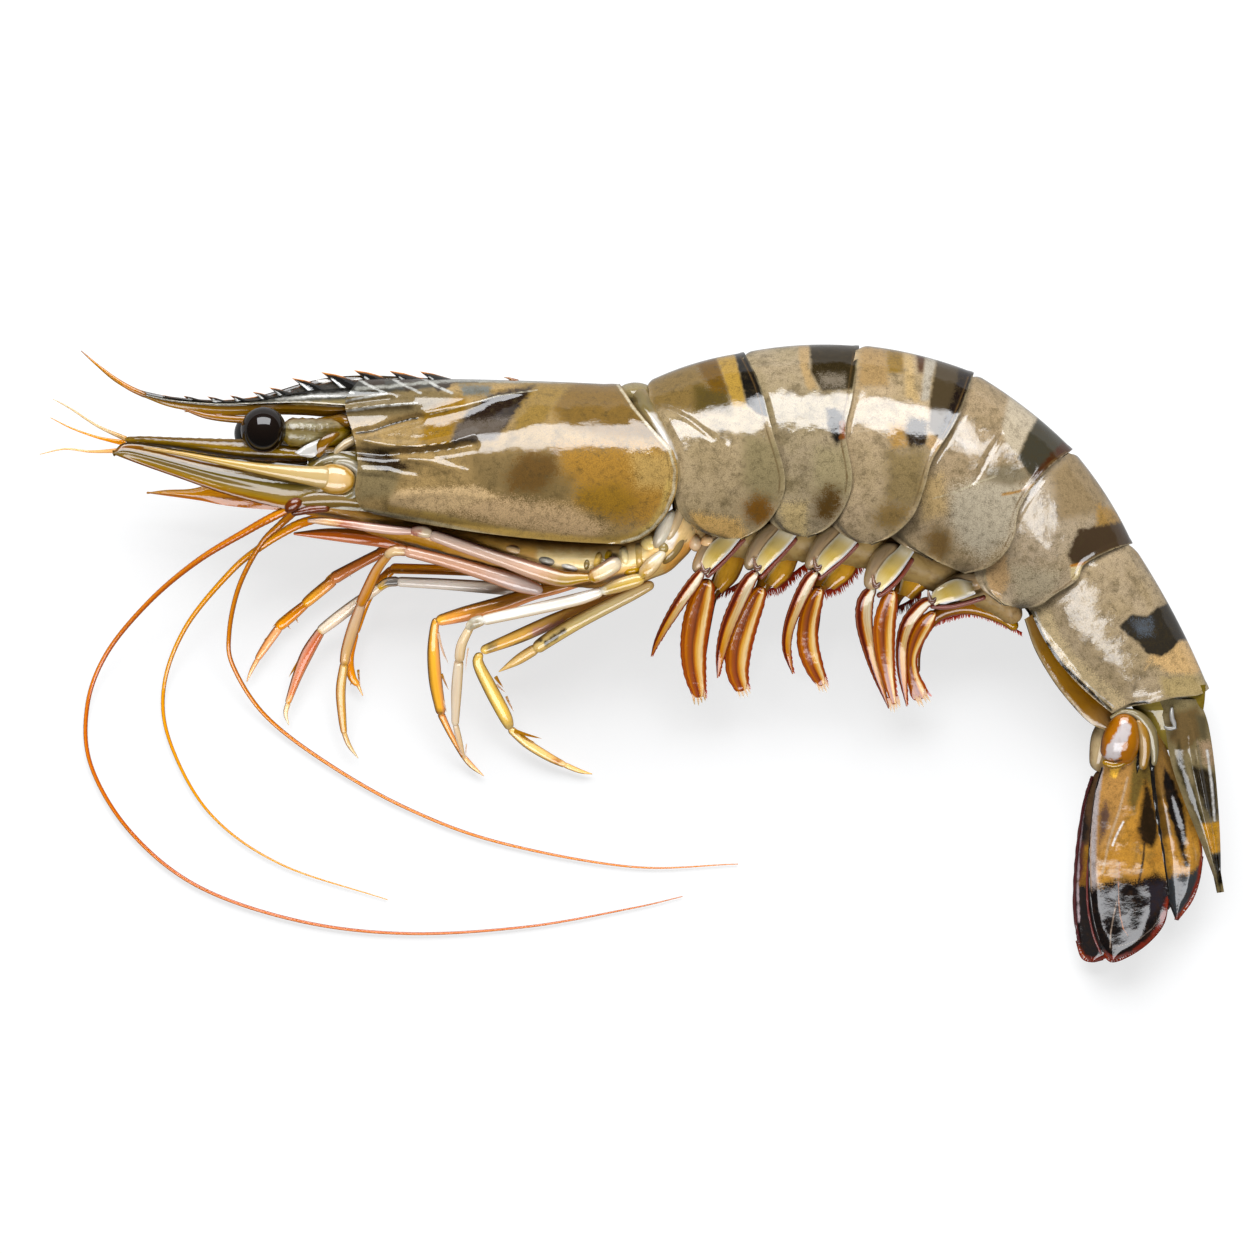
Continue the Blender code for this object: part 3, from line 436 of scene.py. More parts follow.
def fillRamp(node, stops, light):
    ramp = node.color_ramp
    while len(ramp.elements) > 1:
        ramp.elements.remove(ramp.elements[-1])
    for index, stop in enumerate(stops):
        one = ramp.elements[0] if index == 0 else ramp.elements.new(stop[0])
        one.position = stop[0]
        one.color = colour(stop[1], light)[:3] + (stop[2] if len(stop) > 2 else 1.0,)


# The light factor of each entry lifts finishes that lie in shade, under the shield or the body, and holds
# back some that face the lamps: that share of it is painted light.
tints = {  # light and colourfulness of one finish
    "fan_hair": (0.66, 1.35),
    "rib_far_inner_skin": (1.43, 1.0),
    "rib_left_skin": (0.3, 1.32),
    "rib_far_skin": (1.5, 1.0),
    "feeler_1_skin": (1.1, 0.94),
    "feeler_2_skin": (1.71, 0.91),
    "rib_right_skin": (0.87, 0.93),
    "feeler_3_skin": (1.48, 1.03),
    "leg_2_near_skin": (1.61, 0.9),
    "leg_4_near_skin": (1.66, 0.89),
    "rib_middle_skin": (0.3, 0.81),
    "fan_root_far_skin": (1.28, 0.96),
    "fan_root_second_skin": (0.74, 0.94),
    "fan_collar_skin": (0.64, 1.22),
    "fan_root_rim_skin": (0.87, 0.79),
    "fan_bulb_skin": (0.65, 1.19),
    "leg_3_near_skin": (1.05, 0.99),
    "leg_1_near_skin": (0.94, 1.16),
    "spine_skin": (0.61, 1.35),
    "telson_root_skin": (1.01, 1.35),
    "flap_membrane": (1.01, 1.0),
    "hook_skin": (0.38, 1.35),
    "leg_2_far_skin": (1.25, 1.05),
    "tuft_hair": (0.58, 1.3),
    "swim_front_skin": (0.76, 1.09),
    "swim_rear_skin": (1.14, 0.98),
    "fringe_hair": (1.46, 1.0),
    "leg_3_far_skin": (2.57, 0.95),
    "leg_1_far_skin": (1.89, 0.98),
    "swim_far_skin": (0.97, 1.09),
    "leg_5_near_skin": (1.41, 0.85),
    "belly_skin": (1.23, 1.08),
    "swim_band_skin": (1.12, 1.07),
    "swim_plate_skin": (1.22, 1.0),
    "swim_joint_skin": (2.6, 0.85),
    "swim_far_plate_skin": (1.29, 0.91),
    "swim_base_skin": (1.48, 0.75),
    "thorax_skin": (2.6, 1.02),
    "maxilliped_near_skin": (0.93, 1.08),
    "leg_root_8_skin": (1.03, 1.01),
    "leg_root_1_skin": (0.84, 1.35),
    "leg_root_2_skin": (1.17, 1.2),
    "leg_root_6_skin": (1.31, 1.0),
    "leg_root_0_skin": (0.51, 1.35),
    "leg_root_3_skin": (2.6, 1.15),
    "leg_root_5_skin": (1.81, 1.29),
    "leg_root_4_skin": (2.6, 1.03),
    "leg_root_12_skin": (2.21, 0.89),
    "leg_root_9_skin": (0.83, 1.31),
    "leg_root_10_skin": (1.46, 0.93),
    "leg_root_7_skin": (1.9, 1.25),
    "maxilliped_far_skin": (1.2, 1.05),
    "leg_root_11_skin": (2.06, 1.01),
    "knot_flesh": (0.54, 1.35),
    "cheek_panel_skin": (0.41, 1.35),
    "waist_skin": (0.75, 0.96),
    "scale_far_chitin": (0.84, 1.25),
    "scale_chitin": (0.47, 1.35),
    "cheek_chitin": (0.52, 1.17),
    "ball_chitin": (0.75, 1.03),
    "rib_chitin": (0.66, 0.99),
    "cap_membrane": (0.53, 1.35),
    "orbit_wall_skin": (2.6, 1.03),
    "stem_chitin": (0.6, 1.04),
    "orbit_flesh": (0.71, 1.35),
    "flake_membrane": (0.57, 1.35),
    "orbit_gold": (0.57, 1.02),
    "flagellum_3_skin": (1.95, 0.75),
    "orbit_folds_skin": (1.35, 0.69),
    "stalk_skin": (0.78, 1.35),
    "flagellum_2_skin": (1.88, 0.87),
    "flagellum_1_skin": (0.94, 0.92),
    "keel_chitin": (0.48, 1.2),
    "tooth_chitin": (0.49, 1.14),
    "rostrum_chitin": (1.0, 1.14),
    "waist_knob_skin": (0.67, 1.09),
    "rostrum_tip_chitin": (0.73, 1.09),
    "leg_root_15_skin": (0.52, 1.25),
    "leg_root_13_skin": (1.08, 1.35),
    "leg_root_14_skin": (1.4, 0.93),
}


def limbSkin(name, along, across=(), gloss=None, fibre="#7A4A1C", fibreShare=0.35, pace=9.0, strands=5.0,
             marks=(),
             relief=0.03, rich=1.12):
    # thin wet chitin: colour runs along the limb, stripes lie across it, fine strands run lengthwise
    material, tree, shader = newMaterial(name, {**wetLimb, **(gloss or {})})
    place = addNode(tree, "TexCoord").outputs["Object"]
    edge = addNode(tree, "TexNoise", {"Scale": 1 / (0.9 * mm), "Detail": 4.0, "Roughness": 0.6},
                   {"Vector": place})
    run = addNode(tree, "Attribute", {"attribute_name": "along"}).outputs["Fac"]
    side = addNode(tree, "Attribute", {"attribute_name": "across"}).outputs["Fac"]
    shaken = addNode(tree, "Math", {"operation": "MULTIPLY_ADD", 1: 0.05}, {0: edge.outputs["Fac"], 2: run})
    first = addNode(tree, "ValToRGB", None, {"Fac": shaken.outputs[0]})
    light, depth = tints.get(name, (1.0, 1.0))
    fillRamp(first, along, light)
    tone = first.outputs["Color"]
    spot = addNode(tree, "CombineXYZ", None, {"X": run, "Y": side})
    stretched = addNode(tree, "VectorMath", {"operation": "MULTIPLY", 1: (pace, strands, 1.0)},
                        {0: spot.outputs[0]})
    strand = addNode(tree, "TexNoise", {"Scale": 1.0, "Detail": 4.0, "Roughness": 0.6},
                     {"Vector": stretched.outputs[0]})
    if across:
        shift = addNode(tree, "MapRange", {"To Min": -0.09, "To Max": 0.09},
                        {"Value": strand.outputs["Fac"]})
        moved = addNode(tree, "Math", {"operation": "ADD"}, {0: side, 1: shift.outputs["Result"]})
        second = addNode(tree, "ValToRGB", None, {"Fac": moved.outputs[0]})
        fillRamp(second, across, light)
        tone = mixIn(tree, tone, second.outputs["Color"], second.outputs["Alpha"])
    for index, one in enumerate(marks):
        tone = mixIn(tree, tone, colour(one["tone"], light),
                     markAmount(tree, index, one, edge.outputs["Fac"]))
    streaks = addNode(tree, "MapRange", {"From Min": 0.5, "From Max": 0.72, "To Max": fibreShare},
                      {"Value": strand.outputs["Fac"]})
    tone = mixIn(tree, tone, colour(fibre, light), streaks.outputs["Result"])
    strong = addNode(tree, "HueSaturation", {"Saturation": rich * depth}, {"Color": tone})
    deep = addNode(tree, "Gamma", {"Gamma": 1.2 if rich > 1.15 else 1.0}, {"Color": strong.outputs["Color"]})
    tree.links.new(deep.outputs["Color"], shader.inputs["Base Color"])
    wet = addNode(tree, "Bump", {"Strength": 1.0, "Distance": relief * mm}, {"Height": edge.outputs["Fac"]})
    tree.links.new(wet.outputs["Normal"], shader.inputs["Coat Normal"])
    return material


# camera, light and floor
# place and size in metres, turn in degrees; a lamp lights the pieces in "on", or all but those in "off"
lights = {
    "window": {"place": (0, 0.70, 0.62), "size": (1.05, 0.62), "radiance": 9.0, "aimed": True, "turn": 0,
               "off": ("abdomen_",)},
    "ringWindow": {"place": (0, 0.634, 0.695), "size": (1.05, 0.42), "radiance": 11.0, "aimed": True,
                   "turn": 0, "on": ("abdomen_",)},
    "lowFill": {"place": (0, -0.62, 0.92), "size": (1.3, 0.5), "radiance": 7.0, "aimed": True, "turn": 0,
                "off": ("abdomen_", "head_shield", "eyeball_", "floor")},
    "fourthStrip": {"place": (0.81, 0.69, 0.85), "size": (0.18, 1.0), "radiance": 8.0, "aimed": False,
                    "turn": 131, "on": ("abdomen_4",)},
    "fifthPanel": {"place": (0.68, 0.26, 0.85), "size": (0.43, 0.57), "radiance": 8.0, "aimed": False,
                   "turn": 159, "on": ("abdomen_5",)},
    "lastStrip": {"place": (0.235, -0.22, 0.85), "size": (0.52, 0.13), "radiance": 8.0, "aimed": False,
                  "turn": 55, "on": ("abdomen_6",)},
}


def makeStage():
    bpy.ops.object.camera_add(location=(-0.6 * mm, 4.05 * mm, 1.5 + 0.0125), rotation=(0, 0, 0))
    camera = bpy.context.object
    camera.data.lens = 36 * 1.5 / 0.1881
    camera.data.sensor_width = 36
    camera.data.clip_start = 0.05
    camera.data.clip_end = 10
    bpy.context.scene.camera = camera
    bpy.ops.mesh.primitive_plane_add(size=6, location=(0, 0, -0.0001))
    floor = bpy.context.object
    floor.name = "floor"
    paper, tree, shader = newMaterial("litWhiteBoard", {"Roughness": 0.9, "Specular IOR Level": 0.1,
                                                        "Emission Color": (1, 1, 1, 1)})
    seen = addNode(tree, "LightPath").outputs["Is Camera Ray"]
    board = mixIn(tree, (0.36, 0.36, 0.36, 1.0), (0.3, 0.3, 0.3, 1.0), seen)
    tree.links.new(board, shader.inputs["Base Color"])
    glow = addNode(tree, "Math", {"operation": "MULTIPLY", 1: 0.74}, {0: seen})
    tree.links.new(glow.outputs[0], shader.inputs["Emission Strength"])
    floor.data.materials.append(paper)
    for name, lamp in lights.items():
        bpy.ops.object.light_add(type="AREA", location=lamp["place"])
        light = bpy.context.object
        light.name = name
        light.data.shape = "RECTANGLE"
        light.data.size, light.data.size_y = lamp["size"]
        light.data.energy = lamp["radiance"] * math.pi * lamp["size"][0] * lamp["size"][1]
        light.data.color = (0.96, 0.975, 1.0)
        beam = Vector(lamp["place"]).to_track_quat("Z", "Y") if lamp["aimed"] else Quaternion()
        light.rotation_euler = (beam @ Quaternion((0, 0, 1), math.radians(lamp["turn"]))).to_euler()
    world = bpy.data.worlds.new("studio")
    world.use_nodes = True
    sky = world.node_tree
    sky.nodes["Background"].inputs["Color"].default_value = (1, 1, 1, 1)
    sky.nodes["Background"].inputs["Strength"].default_value = 0.08
    bpy.context.scene.world = world
    bpy.context.scene.view_settings.view_transform = "Standard"
    print("stage ready")


def linkLights():
    for name, lamp in lights.items():
        if "on" not in lamp and "off" not in lamp:
            continue
        lit = bpy.data.collections.new(name + "Receivers")
        for piece in bpy.data.objects:
            chosen = (piece.name.startswith(lamp["on"]) if "on" in lamp
                      else not piece.name.startswith(lamp["off"]))
            if piece.type == "MESH" and chosen:
                lit.objects.link(piece)
        bpy.data.objects[name].light_linking.receiver_collection = lit


# body shells
def flankHeight(depth, total, half, peak, tuck):
    rising = np.sqrt(np.clip(1 - np.clip((peak - depth) / peak, 0, 1) ** 2, 0, 1))
    falling = 1 - tuck * np.clip((depth - peak) / (total - peak), 0, 1) ** 2
    return half * np.where(depth < peak, rising, falling)


def addShell(name, shape, along, across, wall=0.3):
    front, rear = shape["front"], shape["rear"]

    def place(u, v):
        down = np.abs(1 - 2 * v) ** shape.get("crowd", 1.15)
        side = np.where(v < 0.5, 1.0, -1.0)
        under = shape.get("under", 0.0) * (0.4 + 0.6 * easeIn(down, 0.02, 0.25))
        reach = -under + (1 + under) * u
        start = readCurve(front, down)
        end = readCurve(rear, down)
        plan = start + (end - start) * reach[:, None]
        topStart, topEnd = readCurve(front, np.zeros(1))[0], readCurve(rear, np.zeros(1))[0]
        top = topStart + (topEnd - topStart) * reach[:, None]
        lowStart, lowEnd = readCurve(front, np.ones(1))[0], readCurve(rear, np.ones(1))[0]
        low = lowStart + (lowEnd - lowStart) * reach[:, None]
        outward = top - low
        total = np.linalg.norm(outward, axis=1)
        outward /= total[:, None]
        inner = np.clip(reach, 0, 1)
        bulge = shape.get("crown", 0.6) * 4 * inner * (1 - inner) * (1 - down) ** 0.7
        sag = shape.get("sag", 0.0) * 4 * inner * (1 - inner) * easeIn(down, 0.75, 1.0)
        shrink = shape.get("step", 0.45) * easeIn(-reach, -0.05, 0.06) if shape.get("under") else 0 * reach
        lip = 0.14 * easeIn(reach, 0.93, 0.975)
        duck = 7.0 * np.clip(-reach, 0, 1) * (1 - easeIn(down, 0.0, 0.3))
        plan = plan + outward * (bulge - sag - duck - shrink * (1 - down) + lip * (1 - down))[:, None]
        depth = np.linalg.norm(plan - top - outward * bulge[:, None], axis=1)
        swelling = np.clip((reach + 0.1) / 1.1, 0, 1) if "full" not in shape else easeIn(reach, -0.1,
            shape["full"])
        half = shape["halves"][0] + (shape["halves"][1] - shape["halves"][0]) * swelling
        centre = half if shape.get("middle") is None else shape["middle"]
        height = flankHeight(depth, total, half, shape["peak"] * total, shape.get("tuck", 0.16))
        swell = shape.get("swell", 0.25) * np.sin(math.pi * inner) * easeIn(down, 0.0, 0.3)
        height = height + (swell - 0.25 - shrink + lip) * easeIn(down, 0.0, 0.15)
        for rise, width, line in shape.get("ridges", ()):
            height = height + rise * np.exp(-(lineDistance(plan[:, 0], plan[:, 1],
                                                           line) / width) ** 2) * easeIn(down, 0.02, 0.1)
        height = np.clip(height, 0, half)
        return plan[:, 0], plan[:, 1], centre + side * height
    piece, _, _ = addGrid(name, along, across, place)
    giveWall(piece, wall)
    return piece


rings = {
    "abdomen_1": {
        "front": [(2.6, 40.9), (3.5, 37.5), (7.2, 30.0), (7.4, 24.0), (8.3, 20.9), (10.6, 18.5),
                  (13.9, 17.2)],
        "rear": [(16.9, 45.2), (19.2, 40.2), (21.0, 33.3), (22.9, 26.5), (22.2, 22.4), (19.6, 18.9),
                 (16.4, 17.2)],
        "halves": (11.9, 12.5), "middle": 12.5, "peak": 0.66, "under": 0.06,
        "ridges": [(-0.3, 0.35, [(3.2, 36.9), (6.0, 36.3), (8.6, 35.0), (10.4, 33.6), (12.0, 32.3)]),
                   (0.15, 0.4, [(14.4, 31.0), (15.2, 27.0), (15.0, 24.5)])],
    },
    "abdomen_2": {
        "front": [(17.3, 45.3), (19.6, 40.3), (21.5, 33.4), (23.3, 26.4), (21.4, 21.4), (22.6, 18.8),
                  (24.9, 17.6)],
        "rear": [(34.2, 46.2), (32.9, 38.0), (31.9, 33.0), (32.9, 26.0), (31.6, 21.6), (29.2, 18.7),
                 (26.2, 17.5)],
        "halves": (12.2, 12.5), "middle": 12.5, "peak": 0.66, "under": 0.14,
    },
    "abdomen_3": {
        "front": [(34.7, 46.3), (33.4, 38.1), (32.4, 33.0), (33.4, 26.1), (30.9, 20.6), (31.9, 18.2),
                  (34.0, 16.6)],
        "rear": [(51.4, 42.2), (48.5, 35.0), (44.9, 29.0), (43.7, 25.0), (42.0, 20.7), (39.0, 17.7),
                 (35.8, 16.4)],
        "halves": (12.2, 12.45), "middle": 12.5, "peak": 0.66, "under": 0.16,
    },
    "abdomen_4": {
        "front": [(51.9, 41.9), (49.0, 34.8), (45.4, 28.8), (44.1, 24.9), (39.7, 19.6), (41.4, 16.4),
                  (45.4, 13.9)],
        "rear": [(66.3, 30.7), (62.0, 27.5), (58.0, 22.0), (57.1, 17.6), (55.5, 14.8), (53.0, 12.8),
                 (49.9, 12.0)],
        "halves": (11.9, 10.9), "peak": 0.66, "under": 0.16,
        "ridges": [(-0.25, 0.3, [(55.3, 32.9), (53.6, 30.3), (52.4, 28.0), (51.0, 25.6)]),
                   (-0.35, 0.4, [(46.6, 13.2), (47.1, 17.0), (48.0, 20.5)])],
    },
    "abdomen_5": {
        "front": [(66.7, 30.2), (62.4, 27.0), (58.5, 21.7), (56.2, 16.8), (53.0, 13.2), (53.2, 9.9),
                  (55.6, 7.5)],
        "rear": [(75.4, 16.6), (72.0, 15.6), (67.8, 13.4), (66.6, 11.0), (63.2, 8.8), (61.0, 7.2),
                 (58.2, 6.8)],
        "halves": (10.6, 8.6), "peak": 0.66, "under": 0.16,
    },
    "abdomen_6": {
        "front": [(75.7, 16.1), (72.2, 15.0), (68.0, 12.8), (65.8, 10.8), (63.2, 8.7), (60.0, 6.2)],
        "rear": [(87.0, -5.2), (85.2, -6.2), (81.5, -6.6), (78.0, -7.4), (75.0, -7.9), (72.2, -8.9)],
        "halves": (8.4, 6.2), "peak": 0.62, "under": 0.1, "sag": 1.5,
    },
}

ringSkins = {
    "abdomen_1": ("#C9B087", "#BCA479", [
        mark("#90733C", [(2, 42), (9.5, 45), (11.5, 40), (10.5, 36), (3.2, 37)], soft=1.2, wobble=1.0),
        mark("#63501E", [(9.5, 40), (14.5, 40), (15, 36), (9.5, 36.2)], soft=1.0),
        mark("#79550A", [(9.3, 45), (12.6, 45.6), (13.9, 41.5), (14.6, 39), (12, 39.3), (10.2, 42)],
             soft=0.7),
        mark("#C39A3F", [(12.3, 46), (15.3, 46), (16.6, 40.5), (17.3, 36.6), (15.3, 36.8), (14, 41)],
             soft=0.3, wobble=0.25),
        mark("#020000", [(15.3, 46), (18, 45), (19.6, 40.5), (20.8, 35.2), (18.8, 35.8), (17.2, 37.2),
                         (16.5, 40.5)],
             soft=0.3, wobble=0.3),
        mark("#A09065", [(16.8, 33), (22.5, 31.5), (23, 26), (21.5, 22.5), (18, 22), (16.8, 27)], soft=1.6,
             share=0.85),
        mark("#885A17", [(16.8, 22.0), (18.4, 23.8), (20.4, 23.0), (21.2, 20.8), (19.2, 19.0), (17.6, 19.8)],
             soft=1.3, wobble=1.6),
        mark("#FBC56B", [(9, 21), (16, 20), (17.5, 17), (13, 16.8), (9, 19)], soft=1.0, share=0.7),
    ]),
    "abdomen_2": ("#BEA986", "#B39F76", [
        mark("#C7A672", [(25.0, 47), (26.9, 47), (26.5, 43), (27.8, 39.6), (26.4, 39.3), (25.2, 43)],
             soft=0.35, wobble=0.3),
        mark("#2C2003", [(26.7, 47), (34.8, 47), (33.9, 43), (33.2, 39.5), (28.5, 39.3), (26.9, 42)],
             soft=0.35, wobble=0.4),
        mark("#AA9B85", [(28, 41.8), (31.8, 41.8), (32, 39.8), (28.6, 39.8)], soft=0.8, share=0.6),
        mark("#010000", [(29.2, 36.6), (31.7, 36.2), (31.9, 32.5), (30.6, 31), (29.3, 33.5)], soft=0.5,
             wobble=0.9),
        mark("#914900", [(31.1, 34.7), (32.4, 34.7), (32.2, 32), (31.1, 32)], soft=0.3),
        mark("#B3A276", [(27.5, 31), (32.8, 30.5), (33.3, 26.5), (32, 23.5), (28, 24), (27, 27)], soft=1.4,
             share=0.85),
        mark("#624516", [(27.6, 23.0), (29.4, 25.2), (31.0, 24.6), (31.0, 21.6), (29.2, 19.6), (27.6, 20.6)],
             soft=1.3, wobble=1.8),
        mark("#E5C789", [(22, 22.5), (26, 22.5), (26, 17.5), (23, 18)], soft=1.0, share=0.8),
    ]),
    "abdomen_3": ("#D2B790", "#C2A97F", [
        mark("#BB9863", [(34.4, 47), (38.4, 47), (38.3, 40), (34, 40)], soft=0.8),
        mark("#9D7A31", [(38.2, 47), (41, 46.5), (40.8, 42), (38.4, 42)], soft=0.6),
        mark("#D6B57C", [(40.8, 47), (42.4, 46), (42.2, 40), (43.2, 37.4), (41, 38.3)], soft=0.5,
             wobble=0.4),
        mark("#5A3102", [(42.6, 46), (44.4, 45.6), (43.7, 42), (42.9, 42)], soft=0.4),
        mark("#C7BBA6", [(44.3, 45.8), (46.2, 45), (44.9, 41), (44.4, 37.8), (43.2, 37.8), (43.7, 41.5)],
             soft=0.35, wobble=0.3),
        mark("#4F4028", [(46.1, 45.4), (52.3, 43), (49.9, 37.6), (47.8, 33.3), (46.2, 31.6), (44.4, 33.5),
                         (44.6, 38), (45.2, 41.5)],
             soft=0.35, wobble=0.5),
        mark("#120200", [(49.4, 43.6), (52, 43), (48.7, 35.5), (46.8, 32.1), (45.9, 33.2), (48, 38)],
             soft=0.6),
        mark("#291906", [(41.6, 35.4), (44.2, 34.7), (43.9, 31), (41.5, 31), (40.4, 33)], soft=0.6,
             wobble=1.2),
        mark("#C79439", [(38.3, 34.3), (40.6, 34.3), (41, 31), (38.8, 30.6)], soft=0.8, share=0.8),
        mark("#D6AF79", [(44.3, 33), (46.4, 31.6), (45.6, 30.2), (43.9, 30.6)], soft=0.3),
        mark("#98804E", [(38.5, 30), (43.8, 30), (43.6, 24), (41.5, 21.5), (38, 23)], soft=1.4, share=0.85),
        mark("#9A7C47", [(36.4, 21.0), (38.6, 22.6), (41.4, 21.6), (40.6, 19.4), (38.4, 18.6), (36.6, 19.2)],
             soft=1.3, wobble=1.6),
    ]),
    "abdomen_4": ("#BAA17D", "#AC946D", [
        mark("#D1C0A3", [(56.8, 39), (60.6, 38), (62.6, 35.6), (59.6, 33), (57.6, 29.4), (56, 31.3),
                         (55.4, 34)], soft=0.5, wobble=0.4),
        mark("#413D2F", [(61.8, 36.6), (67.2, 30.8), (63.8, 28.8), (61.4, 26.8), (59.4, 26.6), (57.7, 29.3),
                         (59.5, 33.2)],
             soft=0.35, wobble=0.5),
        mark("#482000", [(64.8, 31.8), (67, 31), (62.4, 27.4), (60.6, 25.2), (59.8, 26.5), (62.6, 29.8)],
             soft=0.35),
        mark("#CBBEA4", [(47.5, 24.5), (54, 26.5), (58.8, 25.2), (58, 20.5), (56.5, 17), (52.5, 14.3),
                         (49, 16.5), (47.5, 20)],
             soft=2.0, share=0.85),
        mark("#908266", [(53, 27.7), (57.5, 28.4), (59.7, 26.4), (56.5, 25.2), (53, 26)], soft=0.8),
        mark("#816336", [(43.8, 17.2), (45.6, 18.8), (47.4, 17.8), (47.6, 15.2), (46.2, 14.2), (44.6, 15.0)],
             soft=1.3, wobble=1.6),
        mark("#CAAA72", [(43.4, 26), (46.5, 27), (47, 21), (43.4, 20)], soft=1.2, share=0.8),
        mark("#C08A3A", [(55.4, 23.8), (58, 24.3), (60.4, 25.4)], line=0.35, soft=0.2, wobble=0.15),
        mark("#6A5230", [(55.3, 32.9), (53.6, 30.3), (52.4, 28), (51, 25.6)], line=0.2, soft=0.15,
             wobble=0.1),
        mark("#DCCFAC", [(45, 23.2), (48, 24), (51, 25.3), (54.5, 26.6)], line=0.15, soft=0.15, wobble=0.15),
    ]),
    "abdomen_5": ("#BDA98D", "#B19B78", [
        mark("#9D8560", [(66.5, 31), (72.5, 25), (70.5, 21.5), (64, 20), (63, 27)], soft=1.2),
        mark("#A98345", [(70, 22.5), (74, 21.2), (74.6, 19.2), (69.5, 18.6)], soft=0.7),
        mark("#453321", [(66.9, 18.6), (70.2, 19.2), (74, 20), (76, 17.6), (75.6, 16.2), (72, 15.2),
                         (68, 13.8), (66, 13), (65.2, 15), (66.2, 17)], soft=0.4, wobble=0.8),
        mark("#C49F6E", [(53.2, 14), (55.9, 14.8), (56.5, 11), (55, 8.2), (53.6, 9.5), (53, 11.5)], soft=0.8,
             wobble=0.8),
        mark("#C2B292", [(57, 13), (64, 12.4), (63, 9), (58, 7.4)], soft=1.4, share=0.8),
        mark("#E0C994", [(65.6, 13.2), (68.8, 13.4), (68.4, 11.6), (66, 11)], soft=0.3, wobble=0.2),
        mark("#C07A1E", [(65.8, 13.2), (69.4, 13.9)], line=0.4, soft=0.2, wobble=0.15),
    ]),
    "abdomen_6": ("#CCB490", "#C1A87E", [
        mark("#C49D60", [(76.2, 15.6), (78.8, 12.4), (81, 8.6)], line=1.1, soft=0.4, wobble=0.3),
        mark("#EDC283", [(81, 2.2), (85, 1.8), (86.8, -2), (84.6, -3.2), (80.5, -2.8), (78, -1), (77.2, -2),
                         (78.2, 0.4), (80.4, 0.4)],
             soft=0.7, wobble=0.7),
        mark("#322C23", [(73.1, 4.2), (75, 5.9), (77.6, 5.7), (78.8, 6.9), (81, 7.8), (84, 7), (84.8, 2.2),
                         (82.4, 2), (80.8, 0.3), (79.6, -0.4), (77.4, 0.1), (76.2, 1.5), (74.6, 2.7)],
                         soft=0.3, wobble=0.5),
        # painted sheen: a bluish-grey reflection laid on the dark patch
        mark("#636C76", [(75, 5.1), (78, 5.3), (78.4, 3.1), (76.2, 2.8)], soft=0.9, share=0.8),
        mark("#C9AF73", [(79.5, -3.5), (87, -3), (86.5, -6.5), (80, -6.6)], soft=0.8, share=0.8),
        mark("#1E1A14", [(76.4, 17), (80.7, 11), (82.7, 7.2), (84.9, 2.6), (86.9, -2.4)], line=0.7,
             soft=0.15, wobble=0.1),
        mark("#EED29F", [(61.8, 5.8), (63.2, 2.6), (66.0, -1.2), (69.4, -4.4), (72.8, -7.0)], line=2.2,
             soft=0.7, wobble=0.3, share=0.85),
        mark("#1E1810", [(60.0, 6.4), (61.9, 2.2), (64.8, -1.8), (68.2, -5.0), (72.0, -8.4)], line=0.5,
             soft=0.12, wobble=0.08),
        mark("#F2F0EC", [(60.5, 6.4), (62.4, 2.4), (65.3, -1.6), (68.6, -4.7), (72.4, -7.9)], line=0.18,
             soft=0.1, wobble=0.15),
        mark("#1E1810", [(72.6, -8.9), (75, -7.6), (77, -7.2), (79.6, -8.3)], line=0.5, soft=0.12,
             wobble=0.1),
    ]),
}


def rimMarks(shape):  # pale edge and a thin brown line beside it
    edge = [tuple(spot) for spot in readCurve(shape["rear"], np.linspace(0.02, 1.0, 14))]
    foot = [tuple(spot) for spot in readCurve(shape["front"], np.linspace(0.72, 1.0, 8))]
    inset = [(x - 0.75, y - 0.1) for x, y in edge[:10]]
    return [mark("#6E5128", inset, line=0.2, soft=0.14, wobble=0.12, share=0.85),
            mark("#C9B68C", edge, foot + edge[:-4:-1], line=0.22, soft=0.18, wobble=0.2, share=0.65)]


def makeAbdomen():
    for name, shape in rings.items():
        piece = addShell(name + "_shell", shape, 56, 170)
        base, mottle, marks = ringSkins[name]
        marks = marks + rimMarks(shape)
        paintMarks(piece, marks)
        finishPiece(piece, [name], shellSkin(name + "_chitin", base, mottle, marks))
    print("abdomen ready")


